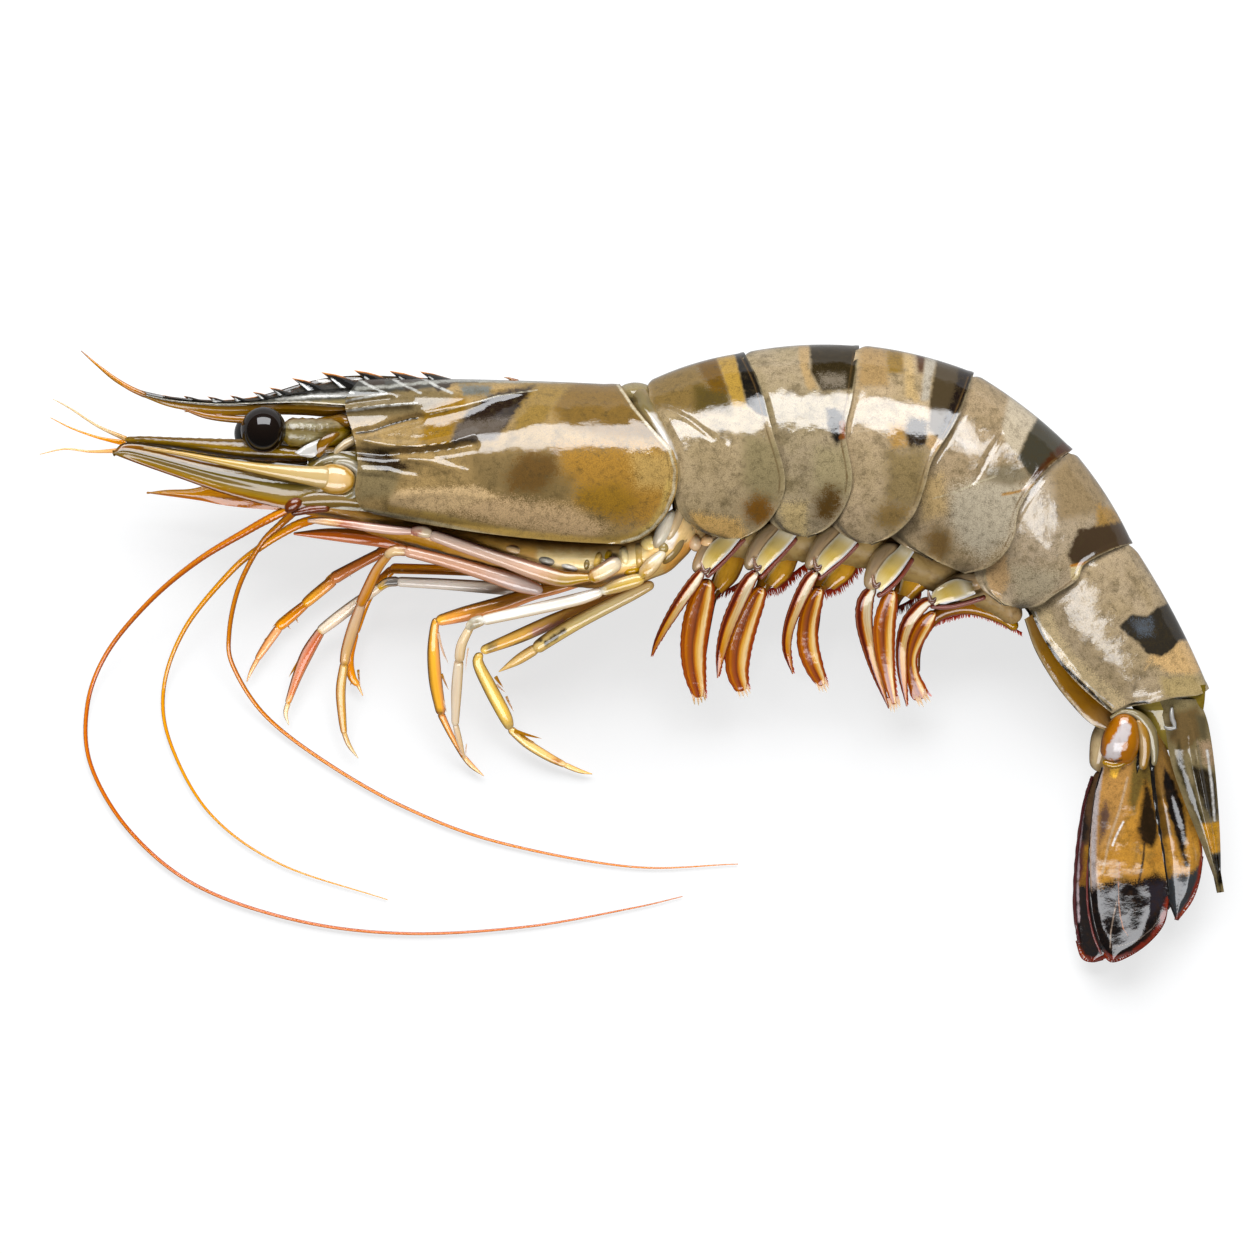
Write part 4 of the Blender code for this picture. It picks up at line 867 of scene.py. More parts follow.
shield = {
    "front": [(-40.6, 41.3), (-42.6, 38.3), (-42.5, 35.8), (-41.4, 32.6), (-40.8, 28.4), (-41.2, 24.4),
              (-40.4, 21.9), (-38.4, 20.9)],
    "rear": [(-1.7, 40.4), (0.6, 36.8), (3.6, 33.1), (6.1, 30.5), (6.9, 27.4), (6.7, 24.2), (5.5, 21.2),
             (3.6, 18.7), (1.3, 17.1), (-1.4, 16.4)],
    "halves": (7.4, 12.5), "middle": 12.5, "peak": 0.74, "full": 0.55, "crown": 0.3, "tuck": 0.1, "sag": 0.9,
    "ridges": [
        (-1.5, 2.8, [(-44, 35.6), (-36, 35.2), (-28, 35.0), (-23, 35.8), (-19, 37.0)]),
        (0.55, 0.55, [(-44, 36.4), (-41, 36.9), (-38, 37.2), (-33, 37.4)]),
        (-0.5, 0.5, [(-44, 37.2), (-40, 37.7), (-36, 38.1)]),
        (-0.7, 0.5, [(-41, 33.1), (-38.6, 33.4), (-36, 34.3), (-33, 35.1), (-31.5, 35.4)]),
        (0.3, 0.45, [(-31, 35.9), (-25, 37.1), (-20, 38.6), (-14, 39.5)]),
        (0.6, 0.6, [(-40, 32), (-36, 31.2), (-31, 31.0), (-27, 31.6), (-23.5, 32.8)]),
        (-0.7, 0.6, [(-41, 30.2), (-37, 29.8), (-33, 30.0), (-27, 30.6), (-23.5, 31.2)]),
        (0.5, 0.45, [(-33.5, 29.2), (-30, 28.7), (-27, 27.6), (-24.5, 26.8)]),
        (0.6, 0.4, [(-40, 27.4), (-36, 27.1), (-34.6, 26.6), (-32, 26.1)]),
        (0.25, 1.0, [(-36, 23), (-30, 24.6), (-24, 24.6), (-21, 23.6)]),
    ],
}

crestTips = [-67.2, -63.6, -60.2, -56.8, -54.3, -50.9, -46.5, -41.6, -36.3, -31.7]
shieldMarks = [
    mark("#85652B", [(-9, 42), (-2, 42), (3, 36), (5, 32), (-4, 32.5), (-10, 34), (-12, 37)], soft=1.4,
         wobble=1.0),
    mark("#85764C", [(-26, 42.5), (-3, 42), (-3, 40.8), (-10, 40.9), (-20, 40.6), (-26, 40.4)], soft=0.4),
    mark("#9D7D3B", [(-16, 41), (-8.2, 41), (-11.6, 37.2), (-13.2, 34), (-17, 33.2), (-17.6, 36.5)],
         soft=0.7),
    mark("#A17719", [(-31.5, 37.6), (-24.8, 38.6), (-24.6, 36.4), (-26.4, 33.2), (-27, 31), (-31.6, 31.2),
                     (-30.8, 34)], soft=0.9),
    mark("#1B0600", [(-20.8, 38.9), (-14.4, 40.2), (-16.4, 37.4), (-18.4, 34), (-20.5, 32), (-26.8, 31.3),
                     (-26.2, 33.6), (-24.4, 36.4)],
         soft=0.5, wobble=0.9),
    mark("#786C60", [(-26.2, 34.6), (-18, 35.4), (-20, 32), (-26.4, 31.8)], soft=0.8, share=0.7),
    mark("#89754E", [(-44, 39.8), (-30, 40.2), (-26, 38.8), (-31, 36.2), (-42, 34.6)], soft=0.8),
    mark("#75766E", [(-25.5, 40.2), (-21, 40.2), (-21, 38.9), (-25, 38.6)], soft=0.6),
    mark("#BA8935", [(-11, 30.8), (4, 31), (6.8, 28), (5.8, 23), (3, 19.2), (-2, 20), (-6, 23), (-10.5, 27)],
         soft=2.4, wobble=1.5),
    mark("#CEAA63", [(0, 30), (6.6, 29.4), (6.2, 24.5), (1, 25)], soft=1.6, share=0.8),
    mark("#5E4E2C", [(-23, 21.4), (-15, 21.6), (-9, 23.6), (-8.6, 26.4), (-13, 27), (-19, 24.6)], soft=1.6,
         wobble=1.2, share=0.5),
    mark("#A97D23", [(-8, 24.7), (-2, 25.4), (1, 22.8), (-1, 20.6), (-5, 20.8), (-8.4, 22.2)], soft=1.5,
         wobble=1.0),
    mark("#897146", [(-24, 30), (-17, 30), (-17, 24), (-23, 24.5)], soft=2.0, share=0.8),
    mark("#755526", [(-16.5, 30), (-11.3, 30), (-10.6, 27), (-13.5, 24.3), (-18, 24.2), (-18.4, 26.5)],
         soft=1.4, wobble=1.6),
    mark("#E3BE8C", [(-25, 23.8), (-9, 21.8), (-4, 18.8), (-6, 17), (-20, 19.6), (-27, 21.3)], soft=1.6,
         share=0.9),
    mark("#E0BD89", [(-36, 24.4), (-23, 25), (-20, 23.4), (-28, 21.2), (-36, 22)], soft=0.7),
    mark("#99855B", [(-41, 29), (-34, 28.5), (-35.5, 23.5), (-41, 23)], soft=1.0),
    mark("#281600", [(-41.5, 30), (-37, 30.6), (-32.6, 27.6), (-36.5, 27.2), (-39.5, 28.4)], soft=0.7),
    mark("#DCBA65", [(-31, 20.9), (-22, 18.9), (-14, 17.5), (-6, 16.8), (0, 17.3), (3.0, 19.2), (4.8, 22),
                     (5.6, 25.5)],
         line=0.7, soft=0.5, wobble=0.3, share=0.8),
    mark("#A88642", [(-36, 21.7), (-27, 19.8), (-18, 18.1), (-10, 17.2), (-3, 16.9), (1.4, 17.8)], line=1.0,
         soft=0.6, wobble=0.5, share=0.85),
    mark("#B9A67C", [(-40, 21.6), (-31, 19.9), (-22, 17.9), (-14, 16.5), (-6, 15.8), (0, 16.2)], line=0.5,
         soft=0.2, wobble=0.2),
    mark("#DCCFAE", [(-2.0, 40.4), (0.3, 36.8), (3.3, 33.1), (5.7, 30.5), (6.5, 27.4), (6.3, 24.2),
                     (5.1, 21.2), (3.3, 18.9), (1.1, 17.4), (-1.4, 16.7)], line=0.35, soft=0.15,
                     wobble=0.12),
    mark("#7A6232", [(-2.6, 40.2), (-0.3, 36.8), (2.7, 33.1), (5.0, 30.5), (5.8, 27.4), (5.6, 24.2),
                     (4.5, 21.4)],
         line=0.2, soft=0.12, wobble=0.12, share=0.8),
    # painted highlight: a thin pale line on the modelled ridge running back from the orbit
    mark("#E2D8BE", [(-30, 35.8), (-25, 37.1), (-20, 38.6), (-14, 39.5)], line=0.12, soft=0.12, wobble=0.1),
    mark("#1E1A12", [(-41, 33.0), (-38.6, 33.3), (-36, 34.3), (-33, 35.1), (-32, 35.2)], line=0.35,
         soft=0.15, wobble=0.1),
    mark("#45443E", [(-46, 42), (-30, 41.9), (-24, 41.2), (-30, 39.8), (-37, 39.0), (-46, 38.1)], soft=0.35,
         wobble=0.4),
    mark("#372B21", *[[(x + 0.2, 42.4), (x + 4.6, 41.6), (x + 4.8, 40.0),
                       (x + 2.8, 39.2)] for x in crestTips[5:]],
         [(-31, 41.9), (-22, 41.2), (-23, 40.6), (-29, 40.6)], soft=0.2, wobble=0.3),
    # painted highlight: a pale silver line along the front of the top edge
    mark("#B9B8AE", [(-41, 39.7), (-36.6, 40.0), (-32.5, 40.5), (-26, 41.0), (-18, 40.9), (-10, 40.9)],
         line=0.5, soft=0.2, wobble=0.3, share=0.8),
    # painted highlights: pale lines slanting back from the crest teeth over the top of the shield
    mark("#D4D3CC", *[[(x + 0.4, 41.4), (x + 2.4, 40.2), (x + 4.9, 39.0)] for x in crestTips[5:]], line=0.34,
         soft=0.14, wobble=0.2),
    # painted highlights: two pale lines along the crest's base, the lower one lying on a modelled ridge
    mark("#DAD8D0", [(-44.5, 37.4), (-41, 38.2), (-36.5, 39.0)], [(-43.4, 36.2), (-38, 37.0), (-32, 37.5)],
         line=0.3, soft=0.14, wobble=0.2),
]


def makeShield():
    piece = addShell("head_shield", shield, 150, 180)
    paintMarks(piece, shieldMarks)
    finishPiece(piece, ["carapace"], shellSkin("head_shield_chitin", "#B99962", "#AC8D57",
                                                        shieldMarks))
    print("head shield ready")


# rostrum
rostrumTop = [(-82.4, 45.5), (-79.9, 43.3), (-77.3, 41.4), (-75.0, 40.1), (-72.0, 39.2), (-68.0, 38.5),
              (-62.0, 38.1), (-57.0, 38.5), (-53.0, 39.5), (-49.0, 40.7), (-45.0, 41.5), (-40.0, 41.8),
              (-34.0, 41.6), (-29.0, 41.3)]
rostrumLow = [(-82.5, 45.4), (-80.2, 43.2), (-77.8, 41.1), (-75.4, 39.6), (-72.6, 38.3), (-68.6, 36.9),
              (-62.0, 35.9), (-57.0, 35.8), (-53.0, 35.9), (-49.0, 35.8), (-45.0, 35.6), (-40.0, 36.4),
              (-34.0, 37.4), (-29.0, 38.4)]
carina = [(-82.45, 45.45), (-80.1, 43.25), (-77.5, 41.25), (-75.2, 39.85), (-72.4, 38.75), (-68.4, 38.0),
          (-62.0, 37.5), (-57.0, 37.6), (-53.0, 37.75), (-49.0, 37.75), (-45.0, 37.5), (-40.0, 37.3),
          (-34.0, 38.4), (-29.0, 39.4)]
teeth = [(-67.2, 38.75, 1.0), (-63.6, 38.65, 1.1), (-60.2, 38.8, 1.0), (-56.8, 39.35, 1.1),
         (-54.3, 40.0, 1.3), (-50.9, 41.4, 1.7), (-46.5, 42.3, 2.0), (-41.6, 42.6, 2.1), (-36.3, 42.5, 2.0),
         (-31.7, 42.4, 1.8), (-18.8, 41.6, 1.2)]
keelTeeth = [(-66.8, 36.3, 0.8), (-63.2, 35.4, 0.9), (-60.4, 34.9, 0.9)]


def makeRostrum():
    thickness = [0.10, 0.16, 0.24, 0.34, 0.5, 0.72, 0.95, 1.15, 1.4, 1.8, 2.4, 3.2, 4.0, 4.4]

    def place(u, v):
        top, low, ridge = readCurve(rostrumTop, u), readCurve(rostrumLow, u), readCurve(carina, u)
        half = np.interp(u, np.linspace(0, 1, len(thickness)), thickness)
        down = np.where(v < 0.5, v * 2, 2 - v * 2)
        side = np.where(v < 0.5, 1.0, -1.0)
        toRidge = np.clip(down / 0.45, 0, 1)[:, None]
        toLow = np.clip((down - 0.45) / 0.55, 0, 1)[:, None]
        plan = top + (ridge - top) * toRidge + (low - ridge) * toLow
        profile = np.interp(down, [0.0, 0.04, 0.12, 0.25, 0.36, 0.43, 0.47, 0.52, 0.6, 0.75, 0.9, 0.97, 1.0],
                            [0.0, 0.14, 0.2, 0.34, 0.62, 0.95, 1.0, 0.82, 0.8, 0.78, 0.5, 0.24, 0.0])
        return plan[:, 0], plan[:, 1], 12.5 + side * half * profile
    blade, u, v = addGrid("rostrum_blade", 220, 64, place)
    giveField(blade, "along", u)
    giveField(blade, "across", np.where(v < 0.5, v * 2, 2 - v * 2))
    weld(blade)
    marks = [
        # painted sheen: a silver patch on the blade's side below the crest
        mark("#BDBBB5", [(-56, 38.3), (-50, 38.7), (-46, 39.2), (-42, 39.3), (-42, 38.8), (-46, 38.5),
                         (-52, 38.1)], soft=0.3, wobble=0.5),
        mark("#9A8A66", [(-51, 37.7), (-46, 38.0), (-42, 38.2), (-42, 37.4), (-50, 37.3)], soft=0.3,
             wobble=0.4, share=0.7),
        # painted highlights: silver faces behind three of the large teeth
        mark("#B5B2AC", [(-47.6, 41.2), (-45.6, 41.2), (-43.4, 39.8), (-44.6, 39.9)], soft=0.12, wobble=0.1),
        mark("#B5B2AC", [(-42.0, 41.2), (-38.6, 40.2), (-37, 40.2), (-40.6, 41.4)], soft=0.15, wobble=0.1),
        mark("#B5B2AC", [(-36.2, 41.2), (-33.4, 40.3), (-32, 40.3), (-35, 41.4)], soft=0.15, wobble=0.1),
    ]
    paintMarks(blade, marks)
    # the pale stop at 0.47 in the second ramp is a painted highlight line along the carina
    skin = limbSkin("rostrum_chitin", [(0.0, "#D98A2E"), (0.16, "#C9822E"), (0.22, "#5A4A28"),
                                       (0.4, "#6B5424"), (1.0, "#7E6A40")],
                    [(0.0, "#2A2018", 0.9), (0.08, "#1C1A16", 0.95), (0.3, "#2E2E2A", 0.95),
                     (0.42, "#5A5A54", 0.9), (0.47, "#DCD8CC", 0.75), (0.5, "#2A1E0A", 0.9),
                     (0.62, "#5E400F", 0.9), (0.85, "#9A6E20", 0.9), (1.0, "#B98330", 0.9)], fibre="#1E160A",
                     pace=60, strands=6, marks=marks)
    finishPiece(blade, ["carapace"], skin)
    tip = addTube("rostrum_tip", [(-82.5, 45.5, 12.5, 0.14), (-80.0, 43.3, 12.5, 0.42),
                                  (-77.4, 41.3, 12.5, 0.6), (-75.2, 39.9, 12.5, 0.8),
                                  (-72.6, 38.7, 12.5, 0.9)], None, 14, 0.5, 0.6)
    finishPiece(tip, (), limbSkin("rostrum_tip_chitin",
                                           [(0.0, "#B5561A"), (0.3, "#E39A34"), (0.7, "#D88B30"),
                                                                  (1.0, "#4A3A20")], fibre="#A34A12"))
    outline = [(-70.5, 38.9, -70.5)]
    for x, y, size in teeth[:-1]:
        outline += [(x + 0.75 * size, y - 0.6 * size, x + 1.3 * size), (x, y, x + 1.6 * size),
                    (x + 1.1 * size, y - 0.18 * size, x + 2.2 * size),
                    (x + 2.2 * size, y - 0.5 * size, x + 3.0 * size)]
    outline += [(-27.0, 41.3, -26.6)]
    outline = np.array(outline)
    run = np.concatenate([[0], np.cumsum(np.hypot(*np.diff(outline[:, :2], axis=0).T))])

    def placeCrest(u, v):
        x, top, root = (np.interp(u * run[-1], run, outline[:, k]) for k in range(3))
        down = np.where(v < 0.5, v * 2, 2 - v * 2)
        side = np.where(v < 0.5, 1.0, -1.0)
        x = x + (root - x) * down ** 0.8
        base = np.interp(x, [-70.5, -62, -56, -50, -45, -36, -27],
                         [38.5, 37.7, 38.0, 39.2, 39.6, 39.8, 40.7])
        y = top + (np.minimum(base, top - 0.05) - top) * down
        half = 0.06 + 0.6 * down ** 0.7 + np.interp(x, [-60, -48, -40], [0, 0.6, 1.4]) * down
        return x, y, 12.5 + side * half * np.sin(np.clip(u * 60, 0, math.pi / 2))
    crest, u, v = addGrid("rostrum_crest", 520, 20, placeCrest)
    giveField(crest, "along", u)
    giveField(crest, "across", np.where(v < 0.5, v * 2, 2 - v * 2))
    weld(crest)
    crestMarks = [mark("#0E0D0B", *[[(x + 0.7, y - 0.35), (x + 2.4 * size, y - 0.7 * size),
                                     (x + 3.4 * size, y - 2.6), (x + 1.6 * size, y - 2.8)]
                                    for x, y, size in teeth[:-1]], soft=0.15, wobble=0.2),
                  # painted highlights: silver lines on the dark face behind each tooth
                  mark("#C8C8C4", *[[(x + 0.8 * size, y - 0.5 * size), (x + 1.9 * size, y - 1.3 * size),
                                     (x + 3.2 * size, y - 2.2 * size)]
                                    for x, y, size in teeth[:-1]], line=0.26, soft=0.1, wobble=0.15)]
    paintMarks(crest, crestMarks)
    finishPiece(crest, (), limbSkin("crest_chitin",
                                             [(0.0, "#3A2A18"), (0.5, "#2E2A22"), (1.0, "#3A342A")],
                                             [(0.0, "#E8AC70", 1.0), (0.06, "#C8824A", 0.95),
                                              (0.15, "#4E3420", 0.8), (0.3, "#24201A", 0.6),
                                              (1.0, "#3A3630", 0.4)], fibre="#14120E", pace=80, strands=3,
                                              marks=crestMarks))
    spikes = []
    for number, (x, y, size) in enumerate([(-18.8, 41.5, 0.9)] + keelTeeth):
        sink = -1 if number < 1 else 1
        spikes.append(addTube(f"tooth_{number}", [(x + 2.2 * size, y + sink * 0.62 * size, 12.5, 0.5 * size,
                                                   0.6),
                                                  (x + 1.1 * size, y + sink * 0.42 * size, 12.5, 0.6 * size,
                                                   0.6),
                                                  (x + 0.5 * size, y + sink * 0.16 * size, 12.5, 0.36 * size,
                                                   0.4),
                                                  (x - 0.25, y, 12.5, 0.07, 0.1)], 14, 10, 0.4, 0.2))
    finishPiece(joinAll("rostrum_teeth", spikes), (),
                limbSkin("tooth_chitin", [(0.0, "#8A5A2E"), (0.35, "#C27A3A"), (0.7, "#E8A468"),
                                          (1.0, "#F2C89A")],
                         fibre="#7A2E12"))
    keel = addTube("rostrum_keel", [(-67.4, 36.9, 12.5, 0.4, 0.5), (-64.0, 35.8, 12.5, 0.9, 0.6),
                                    (-60.5, 35.3, 12.5, 1.1, 0.7), (-57.4, 35.2, 12.5, 1.1, 0.7),
                                    (-54.0, 35.7, 12.5, 0.5, 0.5)], None, 14, 0.4, 0.4)
    finishPiece(keel, (), limbSkin("keel_chitin",
                                            [(0.0, "#D07A28"), (0.5, "#E09A30"), (1.0, "#D99030")],
                                            [(0.0, "#7A4A18", 0.7), (0.35, "#B97420", 0.3),
                                             (1.0, "#E0A040", 0.0)]))
    print("rostrum ready")


# head
headTubes = {
    "stalk_near": ("head_parts", ["eyestalk_near"],
                   [(-42.2, 33.6, 13.4, 2.4, 3.0), (-44.6, 33.2, 15.0, 4.2, 3.6),
                   (-47.6, 33.0, 16.4, 4.6, 3.8), (-50.4, 33.2, 17.4, 4.3, 3.8),
                   (-52.4, 33.4, 18.0, 3.8, 3.8)]),
    "stalk_far": ("head_parts", ["eyestalk_far"],
                  [(-43.6, 32.4, 9.6, 3.0, 2.4), (-48.5, 32.7, 8.4, 4.2, 3.4),
                  (-53.0, 33.0, 7.4, 3.8, 3.4)]),
    "orbit_floor": ("flesh", [], [(-41.2, 29.6, 14.4, 1.6, 3.0), (-45.0, 29.9, 15.6, 2.2, 3.2),
                                  (-49.0, 29.9, 16.2, 2.0, 2.8), (-53.4, 30.2, 16.4, 1.2, 1.8)]),
    "orbit_lid": ("shell", [], [(-41.6, 34.5, 15.6, 1.6, 2.6), (-43.0, 35.0, 15.2, 1.9, 2.6),
                                (-44.8, 35.1, 14.2, 1.2, 2.0), (-46.6, 35.2, 13.4, 0.6, 1.2)]),
    "orbit_tab": ("shell", [], [(-43.6, 33.0, 18.0, 0.7, 0.6), (-44.8, 32.4, 18.7, 1.3, 0.6),
                                (-46.1, 31.3, 18.9, 1.7, 0.6), (-46.6, 30.2, 18.6, 1.4, 0.5),
                                (-46.8, 29.4, 18.2, 0.8, 0.4)]),
    "stem_near": ("head_parts", ["antennule_near"],
                  [(-43.0, 29.6, 15.6, 1.6, 2.4), (-50.0, 30.0, 16.4, 2.2, 2.6),
                  (-56.0, 30.5, 16.6, 3.0, 2.4), (-62.0, 31.0, 16.2, 2.5, 2.0),
                  (-68.0, 31.6, 15.2, 1.7, 1.7), (-73.0, 32.0, 14.2, 1.3, 1.3),
                  (-75.8, 32.1, 13.6, 0.9, 0.9)]),
    "stem_far": ("head_parts", ["antennule_far"],
                 [(-44.0, 29.6, 10.8, 1.8, 2.0), (-52.0, 29.6, 10.7, 2.6, 2.4),
                 (-60.0, 29.8, 11.0, 2.6, 2.2), (-70.0, 30.7, 11.4, 1.4, 1.4),
                 (-76.6, 31.0, 11.6, 0.9, 0.9)]),
    "scale_rib": ("head_parts", [], [(-44.4, 26.3, 18.6, 3.8, 2.2), (-46.6, 26.5, 19.0, 3.2, 2.0),
                                     (-50.0, 26.9, 19.2, 2.5, 1.6), (-56.0, 27.8, 19.2, 1.6, 1.2),
                                     (-62.0, 28.9, 18.9, 1.0, 0.9), (-67.0, 29.9, 18.6, 0.7, 0.7),
                                     (-73.0, 30.9, 18.0, 0.5, 0.5)]),
    "cheek": ("head_parts", [], [(-38.6, 22.4, 16.4, 2.0, 3.0), (-43.0, 23.2, 17.0, 2.8, 3.0),
                                 (-47.0, 23.3, 17.2, 3.2, 2.8), (-50.6, 22.8, 17.2, 2.2, 2.2),
                                 (-52.6, 22.1, 16.8, 1.0, 1.2)]),
    "ball_cap": ("head_parts", [], [(-44.6, 28.6, 18.2, 0.7, 0.9), (-42.8, 28.7, 18.2, 1.3, 1.4),
                                    (-41.0, 27.9, 18.0, 1.7, 1.6), (-40.2, 26.6, 17.8, 1.6, 1.6),
                                    (-40.4, 24.8, 17.6, 1.0, 1.4), (-41.2, 23.8, 17.4, 0.5, 0.8)]),
    "knot_0": ("flesh", [], [(-49.2, 23.0, 18.2, 1.2, 1.2), (-50.5, 22.3, 18.4, 1.9, 1.6),
                             (-51.6, 21.3, 18.0, 1.2, 1.2)]),
    "knot_1": ("flesh", [], [(-45.0, 21.9, 17.4, 1.2, 1.4), (-48.0, 21.6, 17.8, 1.3, 1.4),
                             (-50.8, 21.0, 17.8, 0.9, 1.0)]),
}


def makeHead():
    skins = {
        "stalk": limbSkin("stalk_skin", [(0.0, "#5A4A28"), (0.3, "#8A6A2C"), (0.6, "#9C927A"),
                                         (1.0, "#8A7A58")],
                          [(0.0, "#8A6A28", 0.5), (0.3, "#A0987E", 0.5), (0.6, "#5E5038", 0.7),
                           (0.8, "#B8B4A4", 0.5), (1.0, "#6A4E30", 0.9)], fibre="#3A2E18", fibreShare=0.7,
                           pace=7, strands=9, relief=0.15),
        "floor": limbSkin("orbit_flesh", [(0.0, "#7A5A28"), (0.5, "#A48C70"), (1.0, "#6E5632")],
                          fibre="#E8DCCB",
                          fibreShare=0.7, pace=8, strands=6, relief=0.12),
        "gold": limbSkin("orbit_gold", [(0.0, "#4E3A1A"), (0.4, "#96661C"), (1.0, "#A8762A")],
                         [(0.0, "#8A5C1A", 0.5), (0.5, "#B9842C", 0.4), (1.0, "#4A3618", 0.8)],
                         fibre="#4A3010"),
        "stem": limbSkin("stem_chitin", [(0.0, "#7A5C24"), (0.4, "#8A6824"), (0.8, "#A87E36"),
                                         (1.0, "#C8A05A")],
                         [(0.0, "#5E4012", 0.8), (0.25, "#96701F", 0.7), (0.5, "#C09A48", 0.6),
                          (0.75, "#6A4A1A", 0.8), (1.0, "#9A7A48", 0.8)], fibre="#3A2A10", fibreShare=0.6,
                          pace=14, strands=8, relief=0.08),
        "cream": limbSkin("rib_chitin", [(0.0, "#EBCF9C"), (0.3, "#EACB92"), (0.6, "#E0B75C"),
                                         (0.85, "#C99A44"), (1.0, "#8A6A34")],
                          [(0.0, "#C8952C", 0.8), (0.15, "#E8C784", 0.2), (0.8, "#F0D8A8", 0.1),
                           (1.0, "#CFA860", 0.6)],
                          fibre="#D8A858", fibreShare=0.2),
        "cheek": limbSkin("cheek_chitin", [(0.0, "#A88F66"), (0.5, "#AE9670"), (1.0, "#8A6A40")],
                          [(0.0, "#7A5C20", 0.8), (0.3, "#A88C5C", 0.5), (0.8, "#B9A386", 0.4),
                           (1.0, "#93793C", 0.8)],
                          fibre="#86683A", fibreShare=0.25),
        "cap": limbSkin("cap_membrane", [(0.0, "#B5A98C"), (0.4, "#C8C0B0"), (0.7, "#CFC6AE"),
                                         (1.0, "#A08C58")],
                        [(0.0, "#8A7A4A", 0.6), (0.4, "#D8D0C0", 0.3), (1.0, "#E4DED0", 0.3)],
                        fibre="#8A7A50",
                        fibreShare=0.2),
        "knot": limbSkin("knot_flesh", [(0.0, "#7A4632"), (0.5, "#8E5B4C"), (1.0, "#5E3222")],
                         fibre="#C9A494",
                         fibreShare=0.5, pace=5, strands=4, relief=0.1),
    }
    use = {"stalk_near": "stalk", "stalk_far": "stalk", "orbit_floor": "floor", "orbit_lid": "gold",
           "orbit_tab": "gold", "stem_near": "stem", "stem_far": "stem", "scale_rib": "cream",
           "cheek": "cheek", "ball_cap": "cap", "knot_0": "knot", "knot_1": "knot"}
    for name, (slot, nodes, path) in headTubes.items():
        bumpy = 0.05 if use[name] in ("stalk", "stem", "floor") else 0.015
        piece = addTube(name, path, None, 28, 0.5, 0.5,
                        wiggle=lambda run, turn: (bumpy * np.sin(run * 4.1 + np.sin(turn * 3) * 1.3)
                                                  * np.cos(turn * 4)))
        finishPiece(piece, nodes, skins[use[name]])

    wall = addTube("orbit_wall", [(-37.0, 31.0, 11.6, 7.0, 9.0), (-41.0, 30.4, 12.0, 7.4, 9.0),
                                  (-45.0, 29.4, 12.2, 6.0, 7.0), (-49.0, 28.6, 12.4, 3.6, 5.0),
                                  (-54.0, 28.6, 12.4, 2.4, 4.0)], None, 30, 0.5, 0.5)
    finishPiece(wall, (), limbSkin("orbit_wall_skin",
                                            [(0.0, "#4A3A1E"), (0.4, "#5E4A26"), (0.7, "#7A6238"),
                                             (1.0, "#8A6A34")],
                                            fibre="#2A200E", fibreShare=0.7, pace=6, strands=6, relief=0.12))
    folds = addTube("orbit_folds", [(-36.5, 33.2, 15.6, 1.0, 1.6), (-39.6, 32.6, 16.4, 1.2, 1.6),
                                    (-42.6, 31.4, 17.0, 1.4, 1.6), (-44.2, 29.8, 17.2, 1.0, 1.4),
                                    (-43.0, 28.9, 17.0, 0.6, 1.0)], None, 20, 0.5, 0.5)
    finishPiece(folds, (), limbSkin("orbit_folds_skin",
                                             [(0.0, "#6A5226"), (0.5, "#8A6A2E"), (1.0, "#A8905A")],
                                             [(0.0, "#3A2C14", 0.8), (0.5, "#9A7A3A", 0.3),
                                              (1.0, "#DCD2B8", 0.6)], fibre="#3A2A12"))
    flake = addLeaf("orbit_flake", [(-50.2, 30.0), (-48.4, 31.2), (-46.4, 32.0)],
                    [(-49.0, 29.7), (-47.3, 29.6), (-46.2, 31.8)], (18.5, 18.6, 18.5), 0.2, 0.25, 16, 10)
    finishPiece(flake, (), limbSkin("flake_membrane", [(0.0, "#F4F2EE"), (1.0, "#EFECE6")],
                                             fibre="#E0DAD0"))

    panel = addLeaf("cheek_panel", [(-48.4, 29.2), (-45.0, 29.8), (-42.2, 30.2), (-39.4, 30.0)],
                    [(-48.0, 22.6), (-45.0, 22.0), (-42.0, 21.6), (-38.6, 21.4)], (16.9, 17.2, 17.0), 0.5,
                    0.5, 50, 40, lambda x, y, u, v: 0.5 * np.exp(-((np.hypot((x + 44.1) / 1.25,
                        y - 26.1) - 3.1) / 0.5) ** 2))
    panelMarks = [mark("#E6E0D2", [(-46.4, 29.1), (-43.6, 29.5), (-41.4, 28.4), (-40.6, 26.0),
                                   (-41.4, 23.8)], line=0.5, soft=0.3, wobble=0.3),
                  mark("#6A5630", [(-48, 29.4), (-44.0, 30.2), (-40.4, 29.6)],
                       [(-41.3, 22.2), (-40.2, 24.2), (-39.9, 27)], line=0.4, soft=0.2, wobble=0.2)]
    paintMarks(panel, panelMarks)
    finishPiece(panel, (), limbSkin("cheek_panel_skin",
                                                  [(0.0, "#A89468"), (0.5, "#B9AC8E"), (1.0, "#A8966C")],
                                                  fibre="#8A7444",
                                                  fibreShare=0.3, marks=panelMarks))
    ball = addBall("antenna_ball", (-44.2, 26.15, 18.3), (3.05, 2.3, 1.45), -0.12)
    ballMarks = [mark("#B98A3C", [(-46.7, 26.4), (-46.1, 27.7), (-44.6, 28.25), (-42.9, 27.7), (-41.6, 26.5),
                                  (-41.6, 25.2), (-43.0, 24.2), (-44.8, 24.05), (-46.2, 24.8),
                                  (-46.7, 26.4)], line=0.35, soft=0.25, wobble=0.1)]
    paintMarks(ball, ballMarks)
